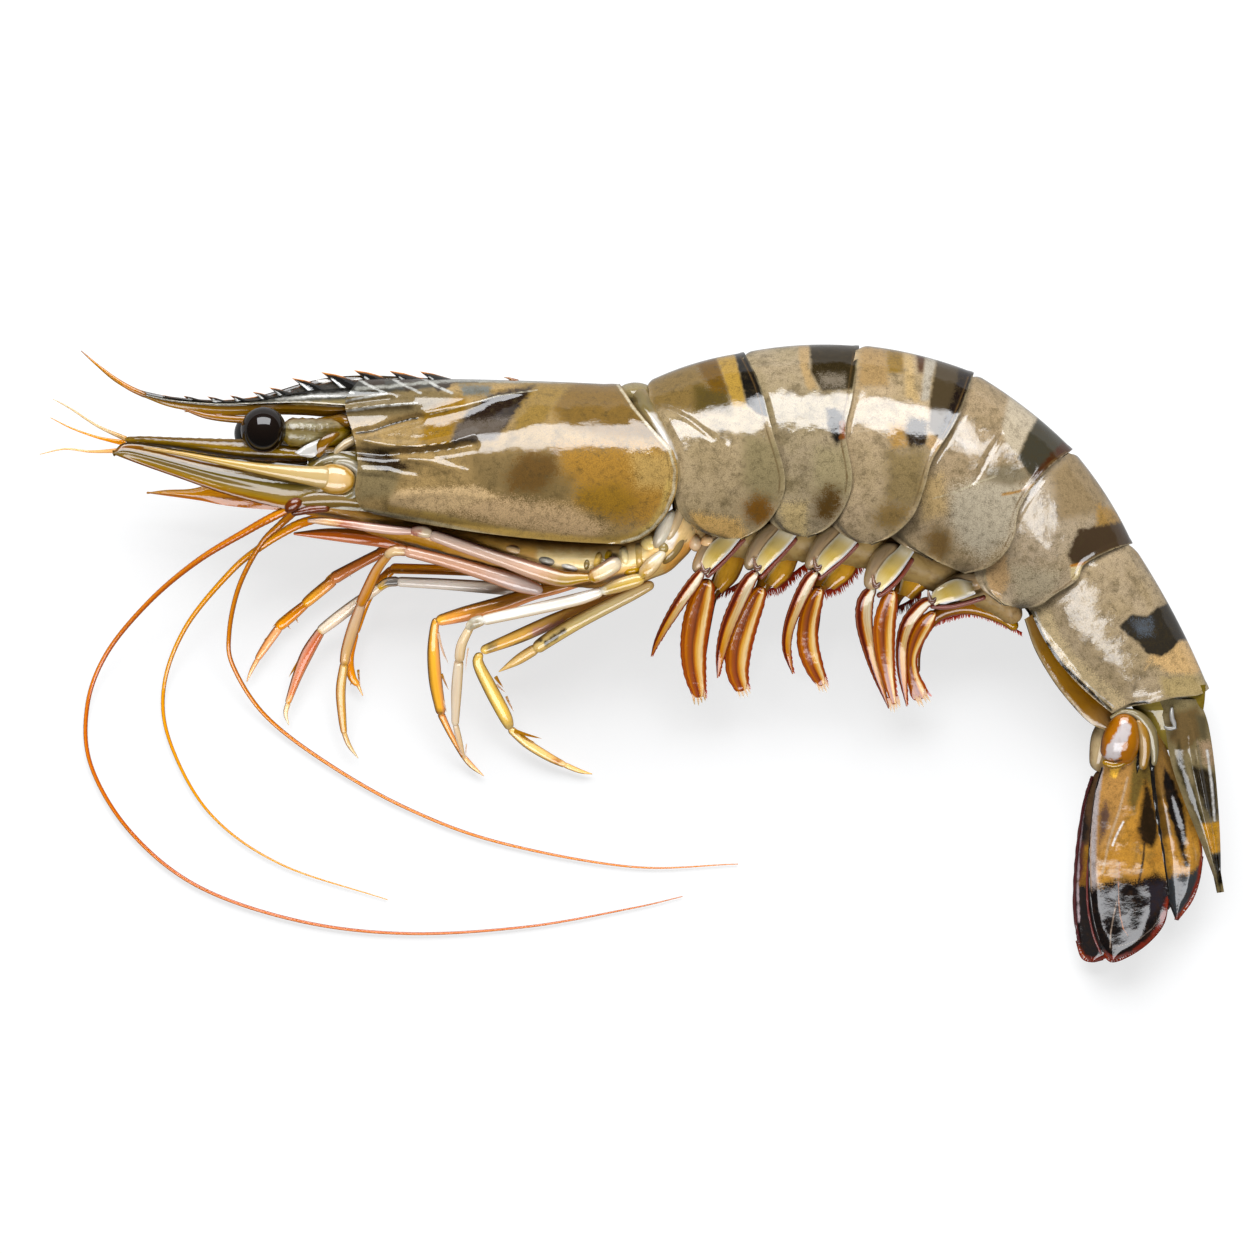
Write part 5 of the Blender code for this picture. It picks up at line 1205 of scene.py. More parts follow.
    finishPiece(ball, ["antenna_base_near"],
                limbSkin("ball_chitin", [(0.0, "#EFCB90"), (0.6, "#F3D6AC"), (1.0, "#EBC284")],
                         [(0.0, "#D8A04C", 0.8), (0.3, "#EAC080", 0.3), (1.0, "#F0D2A0", 0.2)],
                         fibre="#E0B070",
                         fibreShare=0.15, marks=ballMarks))

    scale = addLeaf("scale_near", [(-46.0, 27.9), (-52.0, 28.5), (-58.0, 29.2), (-65.0, 30.1), (-71.0, 31.2),
                                   (-75.6, 31.6), (-77.5, 30.1)],
                    [(-46.0, 23.6), (-50.0, 21.7), (-55.0, 22.4), (-61.0, 24.0), (-67.0, 26.1),
                     (-73.0, 28.2), (-77.5, 29.9)],
                    (18.0, 18.4, 18.2, 17.6), 0.6, 0.5, 110, 60,
                    lambda x, y, u, v: 0.18 * np.sin(v * 15) * np.sin(math.pi * u))
    stripes = [(0.0, "#2A2418", 0.9), (0.07, "#1E1A14", 0.95), (0.12, "#A08060", 0.8),
               (0.2, "#B58C72", 0.85), (0.29, "#8A6450", 0.85), (0.35, "#B29E80", 0.85),
               (0.43, "#55492F", 0.9), (0.52, "#7C7152", 0.9), (0.6, "#B9A684", 0.9), (0.76, "#BFA880", 0.9),
               (0.86, "#C9A87A", 0.9), (0.94, "#B9702A", 0.9), (1.0, "#8A4A18", 1.0)]
    finishPiece(scale, ["antennal_scale_near"],
                limbSkin("scale_chitin", [(0.0, "#A08A5C"), (1.0, "#D89A48")], stripes, fibre="#5A4A2A",
                         fibreShare=0.45,
                         pace=7, strands=22))
    blade = addLeaf("scale_far", [(-46.5, 27.8), (-55.0, 27.6), (-62.0, 26.0), (-66.0, 24.9), (-70.0, 24.7),
                                  (-72.9, 24.3)],
                    [(-46.5, 23.0), (-52.0, 21.7), (-60.0, 22.2), (-65.0, 23.1), (-70.0, 23.8),
                     (-72.9, 24.2)],
                    (7.4, 7.0), 0.2, 0.4, 60, 30)
    finishPiece(blade, ["antennal_scale_far"],
                limbSkin("scale_far_chitin", [(0.0, "#C07A22"), (0.6, "#E59A26"), (1.0, "#E8B060")],
                         [(0.0, "#E8A030", 0.3), (0.6, "#E08A20", 0.4), (0.72, "#8A4A14", 0.8),
                          (0.8, "#D08048", 0.9), (1.0, "#DE9A78", 0.9)], fibre="#B9601A", fibreShare=0.4,
                          pace=4, strands=14))

    for name, centre, radius in (("near", (-54.9, 33.5, 18.4), 3.42), ("far", (-56.65, 33.2, 6.6), 3.1)):
        globe = addBall("eyeball_" + name, centre, (radius, radius, radius), 0.0, 72)
        material, tree, shader = newMaterial("cornea_" + name,
                                             {"Roughness": 0.5, "Specular IOR Level": 0.02,
                                              "Coat Weight": 1.0, "Coat Roughness": 0.015, "Coat IOR": 1.5})
        place = addNode(tree, "TexCoord").outputs["Object"]
        cells = addNode(tree, "TexVoronoi", {"Scale": 1 / (0.12 * mm)}, {"Vector": place})
        deep = addNode(tree, "MapRange", {"From Max": 0.6}, {"Value": cells.outputs["Distance"]})
        tree.links.new(mixIn(tree, colour("#0C0704"), colour("#1A0F08"), deep.outputs["Result"]),
                       shader.inputs["Base Color"])
        finishPiece(globe, ["eye_" + name], material)
    print("head ready")


# feelers
feelerPaths = {
    "feeler_1": [(-51.4, 21.6, 17.8, 1.3, 0.8), (-54.0, 20.3, 17.0, 1.3, 0.7),
                 (-57.0, 18.7, 15.6, 1.15, 0.7), (-65.0, 14.0, 12.0, 0.9, 0.7), (-72.6, 7.8, 7.0, 0.75),
                 (-79.2, 0.0, 2.6, 0.7), (-82.2, -8.0, 0.9, 0.66), (-81.6, -17.0, 0.6, 0.62),
                 (-75.6, -27.0, 0.55, 0.6), (-65.4, -35.2, 0.5, 0.55), (-50.2, -40.4, 0.45, 0.5),
                 (-34.0, -42.3, 0.4, 0.46), (-16.0, -41.3, 0.35, 0.38), (0.0, -38.5, 0.3, 0.26),
                 (7.8, -36.7, 0.25, 0.14)],
    "feeler_2": [(-44.6, 20.9, 8.0, 1.0, 0.8), (-47.4, 20.3, 8.4, 1.3, 0.8), (-50.6, 19.2, 9.4, 1.4, 0.8),
                 (-55.2, 16.4, 9.0, 1.1, 0.8), (-60.2, 12.4, 7.4, 0.9), (-67.2, 4.0, 3.4, 0.7),
                 (-70.6, -5.0, 0.9, 0.6), (-69.6, -13.6, 0.55, 0.52), (-63.6, -24.2, 0.5, 0.42),
                 (-53.0, -31.8, 0.4, 0.32), (-36.8, -37.2, 0.25, 0.14)],
    "feeler_3": [(-50.4, 21.3, 14.4, 1.2, 0.8), (-52.6, 19.4, 13.0, 1.1, 0.7), (-55.6, 16.4, 12.0, 0.8),
                 (-59.0, 10.0, 8.6, 0.75), (-60.6, 3.0, 4.6, 0.7), (-60.0, -2.0, 2.8, 0.66),
                 (-55.2, -9.4, 1.0, 0.62), (-46.0, -16.5, 0.6, 0.58), (-34.0, -23.3, 0.5, 0.52),
                 (-20.0, -28.5, 0.45, 0.45), (0.0, -32.2, 0.35, 0.32), (16.2, -31.8, 0.25, 0.14)],
    "flagellum_1": [(-75.6, 32.2, 13.4, 0.8), (-80.0, 34.2, 13.8, 0.42), (-84.0, 36.8, 14.2, 0.28),
                    (-86.6, 38.2, 14.4, 0.1)],
    "flagellum_2": [(-75.8, 31.6, 12.4, 0.9), (-80.0, 32.5, 11.4, 0.42), (-84.0, 33.9, 11.0, 0.28),
                    (-87.2, 35.5, 10.6, 0.1)],
    "flagellum_3": [(-75.4, 30.6, 12.6, 0.9), (-81.0, 30.4, 10.2, 0.42), (-85.0, 30.8, 9.8, 0.28),
                    (-88.9, 30.0, 9.4, 0.1)],
}
feelerTones = {
    "feeler_1": ([(0.0, "#8A5A1E"), (0.05, "#D8912C"), (0.2, "#CC7A34"), (0.4, "#D67941"), (0.8, "#DD7A2C"),
                  (1.0, "#D98A48")],
                 [(0.0, "#9A5214", 0.8), (0.35, "#B86A22", 0.3), (0.65, "#F2C890", 0.5),
                  (1.0, "#B8601C", 0.6)]),
    "feeler_2": ([(0.0, "#C8683A"), (0.08, "#D8873E"), (0.25, "#E29E35"), (0.5, "#B98426"), (0.8, "#CC9440"),
                  (1.0, "#E0B070")],
                 [(0.0, "#8A5A14", 0.8), (0.4, "#C08020", 0.2), (0.65, "#F0C878", 0.4),
                  (1.0, "#A86A14", 0.6)]),
    "feeler_3": ([(0.0, "#9A6A20"), (0.15, "#B87A28"), (0.4, "#C8843A"), (0.7, "#DC8838"), (1.0, "#DD9A58")],
                 [(0.0, "#6E3E10", 0.8), (0.4, "#A8661E", 0.3), (0.65, "#E8BC88", 0.4),
                  (1.0, "#8A4A14", 0.7)]),
    "flagellum_1": ([(0.0, "#D8A860"), (0.4, "#EBCFA4"), (1.0, "#F0D2A8")], ()),
    "flagellum_2": ([(0.0, "#C89040"), (0.5, "#E0983A"), (1.0, "#E8A050")], ()),
    "flagellum_3": ([(0.0, "#C88A38"), (0.4, "#EDB878"), (1.0, "#E8A45C")], ()),
}


def makeFeelers():
    for name, path in feelerPaths.items():
        length = lengthOf(path)
        ringed = lambda run, turn: 0.025 * np.sin(run * math.tau / 0.9)
        whip = addTube(name + "_whip", path, int(length / 0.3), 12, 0.3, 0.3, wiggle=ringed)
        along, across = feelerTones[name]
        finishPiece(whip, [name], limbSkin(name + "_skin", along, across, fibre="#8A3E12",
                                                     fibreShare=0.2,
                                                     pace=length / 2, strands=2, rich=1.3))
    print("feelers ready")


# legs
legs = {
    "maxilliped_near": {
        "articles": [
            [(-1.5, 13.9, 20.2, 1.2), (-2.4, 13.5, 20.6, 2.5), (-3.9, 12.5, 20.8, 2.5),
             (-5.6, 11.6, 20.7, 2.2), (-6.3, 11.3, 20.5, 1.3)],
            [(-5.6, 11.5, 20.2, 1.0), (-7.6, 11.4, 20.3, 1.7), (-10.4, 11.3, 20.3, 2.5),
             (-14.5, 12.5, 20.0, 2.6), (-20.0, 14.4, 19.4, 2.1), (-26.0, 16.5, 18.8, 2.0),
             (-30.2, 18.0, 18.4, 1.7)],
            [(-29.6, 17.9, 18.4, 1.7), (-31.4, 18.4, 18.4, 1.9), (-33.0, 18.4, 18.2, 1.2)],
            [(-32.4, 18.4, 18.1, 1.1), (-36.0, 18.6, 17.8, 1.5), (-42.0, 19.4, 17.2, 1.3),
             (-46.0, 19.9, 16.6, 1.2), (-48.4, 20.0, 16.4, 0.6)]],
        "along": [(0.0, "#F4EBDD"), (0.09, "#F0DDB4"), (0.11, "#B98A2E"), (0.13, "#E2C172"),
                  (0.2, "#C29A3A"), (0.27, "#A88A46"), (0.33, "#D9B49A"), (0.45, "#E8C8B4"),
                  (0.6, "#E8CDBC"), (0.62, "#F2E2C8"), (0.67, "#F0DCBC"), (0.69, "#B8766A"),
                  (0.72, "#E0BCAE"), (0.85, "#E6C8B8"), (0.9, "#A85A3E"), (0.93, "#E8C090"),
                  (1.0, "#EACBB8")],
        "across": [(0.0, "#C98A66", 0.7), (0.2, "#E8D0C4", 0.0), (0.72, "#EFDDD2", 0.3),
                   (0.86, "#7A3A2C", 0.65), (1.0, "#5A2A22", 0.8)]},
    "maxilliped_far": {
        "articles": [[(-22.0, 14.6, 4.6, 1.6, 1.2), (-30.0, 16.0, 5.0, 2.2, 1.2),
                      (-38.0, 17.3, 5.6, 2.4, 1.2), (-45.0, 18.0, 6.6, 1.9, 1.0),
                      (-50.8, 18.1, 7.4, 0.4, 0.4)]],
        "along": [(0.0, "#5A2E16"), (0.5, "#8E4E30"), (1.0, "#C9805C")],
        "across": [(0.0, "#E0A084", 0.9), (0.3, "#C87A58", 0.8), (0.55, "#B0603C", 0.6),
                   (0.7, "#5A2E10", 0.9), (1.0, "#6E3A12", 0.9)]},
    "leg_1_near": {
        "articles": [
            [(-13.2, 9.4, 17.0, 1.6), (-17.0, 10.6, 17.6, 2.6), (-22.0, 12.2, 17.5, 2.3),
             (-28.0, 14.0, 17.0, 1.9), (-34.0, 15.5, 16.3, 1.7)],
            [(-33.0, 15.4, 16.2, 1.6), (-35.4, 15.5, 16.0, 1.7), (-36.8, 14.6, 15.2, 1.3)],
            [(-36.0, 15.2, 15.4, 1.2), (-38.0, 12.8, 13.2, 1.5), (-39.6, 9.6, 11.0, 1.7),
             (-40.8, 7.2, 9.4, 1.5)],
            [(-40.2, 8.4, 10.0, 1.3), (-41.6, 4.6, 7.6, 1.8), (-42.8, 0.8, 5.6, 1.7),
             (-43.3, -1.8, 4.6, 1.4)],
            [(-43.2, -1.2, 4.7, 1.3), (-43.8, -5.4, 3.4, 1.5), (-43.6, -9.6, 2.6, 1.25),
             (-43.3, -12.2, 2.2, 0.9)],
            [(-43.4, -11.7, 2.3, 0.8), (-42.6, -13.8, 1.9, 0.7), (-41.2, -15.8, 1.6, 0.12)]],
        "along": [(0.0, "#C9B5AE"), (0.12, "#CDBBB4"), (0.2, "#D8AE98"), (0.34, "#DFB8A4"),
                  (0.37, "#8E4438"), (0.39, "#E8CFA8"), (0.44, "#DFB07C"), (0.55, "#D79A66"),
                  (0.6, "#D29050"), (0.63, "#E8CBB0"), (0.74, "#EBC492"), (0.77, "#C89048"),
                  (0.8, "#EBC68C"), (0.92, "#E5B478"), (1.0, "#F0D6A8")],
        "across": [(0.0, "#C07A50", 0.7), (0.25, "#E8CCB8", 0.0), (0.7, "#F0E0D0", 0.3),
                   (0.88, "#A85A3A", 0.6), (1.0, "#7A3A26", 0.8)]},
    "leg_1_far": {
        "articles": [
            [(-18.6, 13.0, 3.2, 1.6), (-26.0, 14.8, 3.3, 1.8), (-34.0, 16.1, 3.4, 1.8),
             (-38.6, 15.0, 3.3, 1.8)],
            [(-37.4, 15.4, 3.3, 1.6), (-41.0, 13.6, 3.1, 1.6), (-45.4, 11.1, 2.8, 2.0)],
            [(-44.6, 11.4, 2.8, 1.7), (-48.0, 8.6, 2.6, 1.7), (-49.6, 7.2, 2.4, 1.4)],
            [(-48.8, 7.8, 2.4, 1.3), (-51.4, 5.6, 2.2, 1.7), (-53.6, 3.8, 2.0, 1.6)],
            [(-53.0, 4.2, 2.0, 1.4), (-55.0, 1.4, 1.8, 1.3), (-56.6, -1.0, 1.5, 0.9)],
            [(-56.3, -0.6, 1.5, 0.8), (-57.4, -2.6, 1.3, 0.6), (-58.1, -4.3, 1.1, 0.12)]],
        "along": [(0.0, "#5A2A12"), (0.3, "#6B3616"), (0.48, "#9A5A34"), (0.6, "#B5764E"), (0.66, "#D29A4A"),
                  (0.74, "#9A5A0E"), (0.8, "#C9801E"), (0.85, "#E8AC80"), (0.93, "#DFA070"),
                  (1.0, "#F0C090")],
        "across": [(0.0, "#E0A888", 0.5), (0.3, "#D0906C", 0.2), (0.6, "#C08050", 0.0),
                   (0.8, "#7A4418", 0.7), (1.0, "#5A2E10", 0.8)]},
    "leg_2_far": {
        "articles": [
            [(-14.6, 9.4, 8.0, 1.4), (-20.0, 9.9, 8.2, 1.9), (-28.0, 10.5, 8.2, 1.7),
             (-35.4, 10.9, 7.8, 1.5)],
            [(-34.6, 10.9, 7.8, 1.5), (-36.6, 10.8, 7.6, 1.5), (-38.2, 9.8, 7.0, 1.2)],
            [(-37.0, 10.6, 7.3, 1.2), (-41.0, 7.9, 5.8, 1.7), (-44.6, 5.2, 4.6, 1.8),
             (-47.2, 3.2, 3.5, 1.5)],
            [(-46.6, 3.8, 3.6, 1.4), (-48.8, 0.2, 2.9, 1.9), (-50.4, -3.4, 2.3, 1.5),
             (-51.9, -7.6, 1.8, 0.9)],
            [(-51.7, -7.2, 1.8, 0.8), (-52.2, -9.0, 1.4, 0.7), (-51.7, -10.8, 1.2, 0.12)]],
        "along": [(0.0, "#E4DACE"), (0.3, "#DDD2C6"), (0.4, "#D8CEBE"), (0.42, "#3A3226"), (0.44, "#453C2C"),
                  (0.46, "#DFAE3E"), (0.5, "#C9982E"), (0.53, "#EBD6BC"), (0.68, "#F0DCC2"),
                  (0.7, "#D8A838"), (0.72, "#A85614"), (0.8, "#B9520E"), (0.9, "#C86A22"), (0.93, "#E8A860"),
                  (1.0, "#F0CFA0")],
        "across": [(0.0, "#D8B898", 0.5), (0.3, "#FFFFFF", 0.0), (0.72, "#F4EDE4", 0.3),
                   (0.9, "#4A3A24", 0.75), (1.0, "#3A2A18", 0.8)]},
    "leg_3_far": {
        "articles": [
            [(-15.6, 11.9, 5.2, 1.2), (-27.0, 12.6, 5.2, 1.5), (-36.4, 12.9, 4.6, 1.6)],
            [(-35.8, 13.0, 4.6, 1.4), (-39.4, 9.0, 4.0, 1.4), (-41.8, 3.0, 2.8, 1.4)],
            [(-41.6, 3.4, 2.9, 1.2), (-42.6, -0.6, 2.0, 1.5), (-42.2, -3.4, 1.6, 1.3),
             (-41.2, -4.8, 1.3, 0.9)],
            [(-41.4, -4.4, 1.4, 0.7), (-40.5, -6.4, 1.0, 0.12)]],
        "along": [(0.0, "#7A4A14"), (0.4, "#C58024"), (0.7, "#C87A28"), (0.85, "#C96F1E"), (0.93, "#DD9440"),
                  (1.0, "#F0C080")],
        "across": [(0.0, "#C88030", 0.5), (0.5, "#D89030", 0.0), (1.0, "#7A3E10", 0.8)]},
    "leg_2_near": {
        "articles": [
            [(-7.0, 11.0, 12.4, 1.4), (-11.0, 10.0, 12.6, 1.9), (-15.0, 9.0, 12.6, 2.1),
             (-20.0, 7.3, 12.2, 2.5), (-25.0, 6.0, 11.6, 2.3), (-29.3, 4.9, 11.0, 1.6)],
            [(-29.2, 5.4, 10.8, 1.2), (-29.6, 3.4, 10.2, 1.4), (-29.7, 0.0, 8.6, 1.9),
             (-29.4, -4.4, 6.2, 2.0), (-28.6, -9.2, 4.0, 1.5)],
            [(-28.8, -8.8, 4.0, 1.2), (-27.2, -12.2, 2.8, 0.9), (-25.2, -15.8, 1.4, 0.7)],
            [(-25.4, -15.4, 1.4, 0.8), (-24.0, -17.0, 1.1, 0.8), (-22.2, -18.5, 0.8, 0.12)]],
        "along": [(0.0, "#8A5A14"), (0.1, "#9A6414"), (0.3, "#B9741E"), (0.38, "#C98438"), (0.43, "#D8A030"),
                  (0.45, "#6E5A38"), (0.48, "#C98E3A"), (0.6, "#E2A62E"), (0.72, "#E0A430"),
                  (0.745, "#5A4420"), (0.77, "#D88A38"), (0.88, "#E09A4C"), (0.9, "#8A4A20"),
                  (0.92, "#EDB878"), (1.0, "#F2C890")],
        "across": [(0.0, "#D8926A", 0.75), (0.3, "#D88A50", 0.5), (0.45, "#E8B850", 0.0),
                   (0.75, "#9A6416", 0.5), (0.92, "#3A2610", 0.85), (1.0, "#2A1C0C", 0.9)]},
    "leg_3_near": {
        "articles": [
            [(5.0, 15.4, 20.2, 0.9), (4.2, 14.5, 20.4, 1.7), (3.0, 13.2, 20.5, 2.3), (1.9, 12.0, 20.4, 1.9),
             (1.6, 11.5, 20.3, 1.2)],
            [(2.1, 11.4, 20.1, 1.2), (0.6, 11.0, 20.0, 2.0), (-2.0, 10.2, 19.7, 2.0),
             (-4.6, 9.3, 19.3, 1.4)],
            [(-4.2, 9.4, 19.2, 1.4), (-8.0, 8.2, 18.6, 1.9), (-15.0, 6.6, 17.2, 1.8),
             (-22.4, 5.0, 15.7, 1.6)],
            [(-21.8, 5.2, 15.7, 1.6), (-23.4, 4.7, 15.4, 1.8), (-24.6, 3.7, 14.8, 1.2)],
            [(-24.0, 4.2, 15.0, 1.2), (-25.4, 1.4, 13.4, 1.5), (-25.8, -1.2, 12.0, 1.5)],
            [(-25.8, -0.8, 12.0, 1.4), (-26.2, -5.0, 9.4, 1.6), (-26.5, -10.8, 5.9, 1.1)],
            [(-26.5, -10.4, 6.0, 0.9), (-25.9, -13.0, 4.6, 0.9), (-25.1, -15.8, 3.2, 0.3)]],
        "along": [(0.0, "#F0E8D4"), (0.05, "#F2E6C8"), (0.09, "#B98E3A"), (0.11, "#D8B45C"),
                  (0.2, "#B5974E"), (0.22, "#F6EFDC"), (0.28, "#F5EDE0"), (0.55, "#F5F0E4"),
                  (0.585, "#9A9076"), (0.6, "#EFE2C4"), (0.63, "#EBCFA0"), (0.68, "#EBD0A8"),
                  (0.735, "#C89A5A"), (0.75, "#EFDABC"), (0.9, "#F0D8B8"), (1.0, "#E8C496")],
        "across": [(0.0, "#E0B070", 0.75), (0.2, "#E8CC9A", 0.3), (0.4, "#FFFFFF", 0.0),
                   (0.85, "#F8F4EA", 0.2), (1.0, "#C8A060", 0.7)]},
    "leg_4_near": {
        "articles": [
            [(-0.6, 9.6, 10.6, 1.6), (-4.6, 7.9, 10.2, 2.0), (-8.6, 6.2, 9.8, 2.1), (-12.0, 4.8, 9.8, 2.2),
             (-17.0, 2.6, 9.0, 2.1), (-22.6, 0.4, 8.0, 1.4)],
            [(-22.6, 0.2, 7.8, 1.1), (-23.0, -1.4, 7.2, 1.7), (-21.2, -5.2, 5.5, 2.1),
             (-19.0, -9.4, 4.0, 2.0), (-18.2, -11.4, 3.1, 1.2)],
            [(-18.4, -11.2, 3.1, 1.2), (-15.6, -13.6, 2.4, 1.45), (-12.4, -15.6, 1.8, 1.3),
             (-9.8, -16.9, 1.3, 0.9)],
            [(-10.2, -16.7, 1.3, 0.9), (-7.8, -17.7, 1.0, 0.7), (-5.8, -18.2, 0.8, 0.12)]],
        "along": [(0.0, "#8A5A16"), (0.1, "#B5802C"), (0.25, "#C99640"), (0.37, "#C9963A"), (0.4, "#6E5A34"),
                  (0.43, "#D8B45C"), (0.55, "#DDB858"), (0.66, "#D8B048"), (0.7, "#8A744A"),
                  (0.73, "#EBC682"), (0.86, "#EBBE74"), (0.89, "#9A5A2A"), (0.91, "#F0C68A"),
                  (1.0, "#F0B868")],
        "across": [(0.0, "#B98040", 0.7), (0.3, "#E8C060", 0.1), (0.6, "#F0D080", 0.1),
                   (0.85, "#8A6A26", 0.6), (1.0, "#2E2210", 0.85)],
        "marks": [mark("#3E3420", [(-19.8, 0.5), (-16.5, 1.9), (-15.4, 2.2), (-18.4, 0.9)], soft=0.25,
                       wobble=0.2),
                  mark("#C08A70", [(-15, 3.6), (-10, 5.2), (-10, 4.2), (-14.6, 2.6)], soft=0.3)]},
    "leg_5_near": {
        "articles": [
            [(3.4, 10.6, 13.6, 1.4), (0.4, 9.1, 13.6, 1.9), (-4.0, 6.9, 13.6, 2.1), (-8.0, 4.8, 13.4, 2.2),
             (-12.0, 2.4, 12.6, 2.2), (-14.6, 0.6, 12.0, 1.9)],
            [(-14.0, 1.0, 11.9, 1.7), (-17.0, -0.9, 11.0, 1.5), (-19.9, -2.7, 10.2, 0.15)]],
        "along": [(0.0, "#A87A30"), (0.3, "#C4AC74"), (0.55, "#C9A94E"), (0.75, "#B98E3C"),
                  (1.0, "#D0A050")],
        "across": [(0.0, "#A07A3C", 0.7), (0.3, "#D0B468", 0.1), (0.55, "#E4D49A", 0.3),
                   (0.8, "#A07A2E", 0.5), (1.0, "#5A4218", 0.85)],
        "marks": [mark("#3A3018", [(-13.2, 1.9), (-10, 3.9), (-9.6, 3.2), (-13, 1.0)], soft=0.3, wobble=0.5),
                  mark("#4A3E22", [(-14.6, 2.6), (-12.8, 2.8), (-13.4, 1.8), (-15.4, 1.6)], soft=0.25,
                       wobble=0.5)]},
}

legSpines = [  # root, tip, width
    ((-29.0, 3.2, 10.4), (-27.9, -0.9, 9.6), 0.6), ((-28.6, 1.6, 9.8), (-27.4, -1.6, 9.0), 0.35),
    ((-28.5, -3.0, 7.2), (-27.4, -5.5, 6.8), 0.5), ((-28.2, -7.0, 5.4), (-27.7, -8.9, 5.0), 0.35),
    ((-20.4, -3.4, 6.4), (-19.2, -5.1, 6.2), 0.7), ((-20.2, -4.6, 6.0), (-18.8, -5.9, 5.6), 0.4),
    ((-18.8, -6.4, 5.2), (-17.6, -8.8, 4.8), 0.5), ((-17.6, -11.6, 3.6), (-13.4, -12.8, 3.2), 0.75),
    ((-16.6, -12.3, 3.4), (-14.4, -13.4, 3.0), 0.4), ((-24.4, 0.9, 13.4), (-24.8, -2.6, 12.4), 0.3),
    ((-24.8, -13.6, 4.6), (-24.9, -15.9, 3.8), 0.25), ((-49.6, -0.4, 2.8), (-51.7, -3.6, 2.4), 0.7),
    ((-45.0, 12.0, 3.2), (-46.2, 11.2, 3.0), 0.6), ((-42.9, 12.9, 3.4), (-42.2, 11.6, 3.2), 0.5),
    ((-52.2, 5.6, 2.6), (-54.2, 4.0, 2.4), 0.6), ((-50.6, 5.6, 2.4), (-50.2, 4.6, 2.3), 0.5),
    ((-54.0, 3.0, 2.2), (-55.5, 2.0, 2.1), 0.5), ((-52.0, 4.6, 2.2), (-51.4, 3.7, 2.1), 0.5),
    ((-41.8, -3.2, 1.8), (-42.4, -4.9, 1.6), 0.5), ((-41.2, -2.4, 1.8), (-40.9, -4.8, 1.5), 0.5),
]


def makeLegs():
    for name, leg in legs.items():
        piece = addLimb(name + "_limb", leg["articles"], 24, 0.92, 0.55)
        marks = leg.get("marks", [])
        paintMarks(piece, marks)
        length = sum(lengthOf(article) for article in leg["articles"])
        finishPiece(piece, [name], limbSkin(name + "_skin", leg["along"], leg["across"],
                                                   fibre="#9A5C2E",
                                                   fibreShare=0.22, pace=length / 4, strands=7, marks=marks))
    spines = addBristles("leg_spines", [(root, tip, width, 0.06) for root, tip, width in legSpines])
    finishPiece(spines, (), limbSkin("spine_skin",
                                            [(0.0, "#D89A34"), (0.6, "#CF8A3E"), (1.0, "#E8BE90")]))
    print("legs ready")


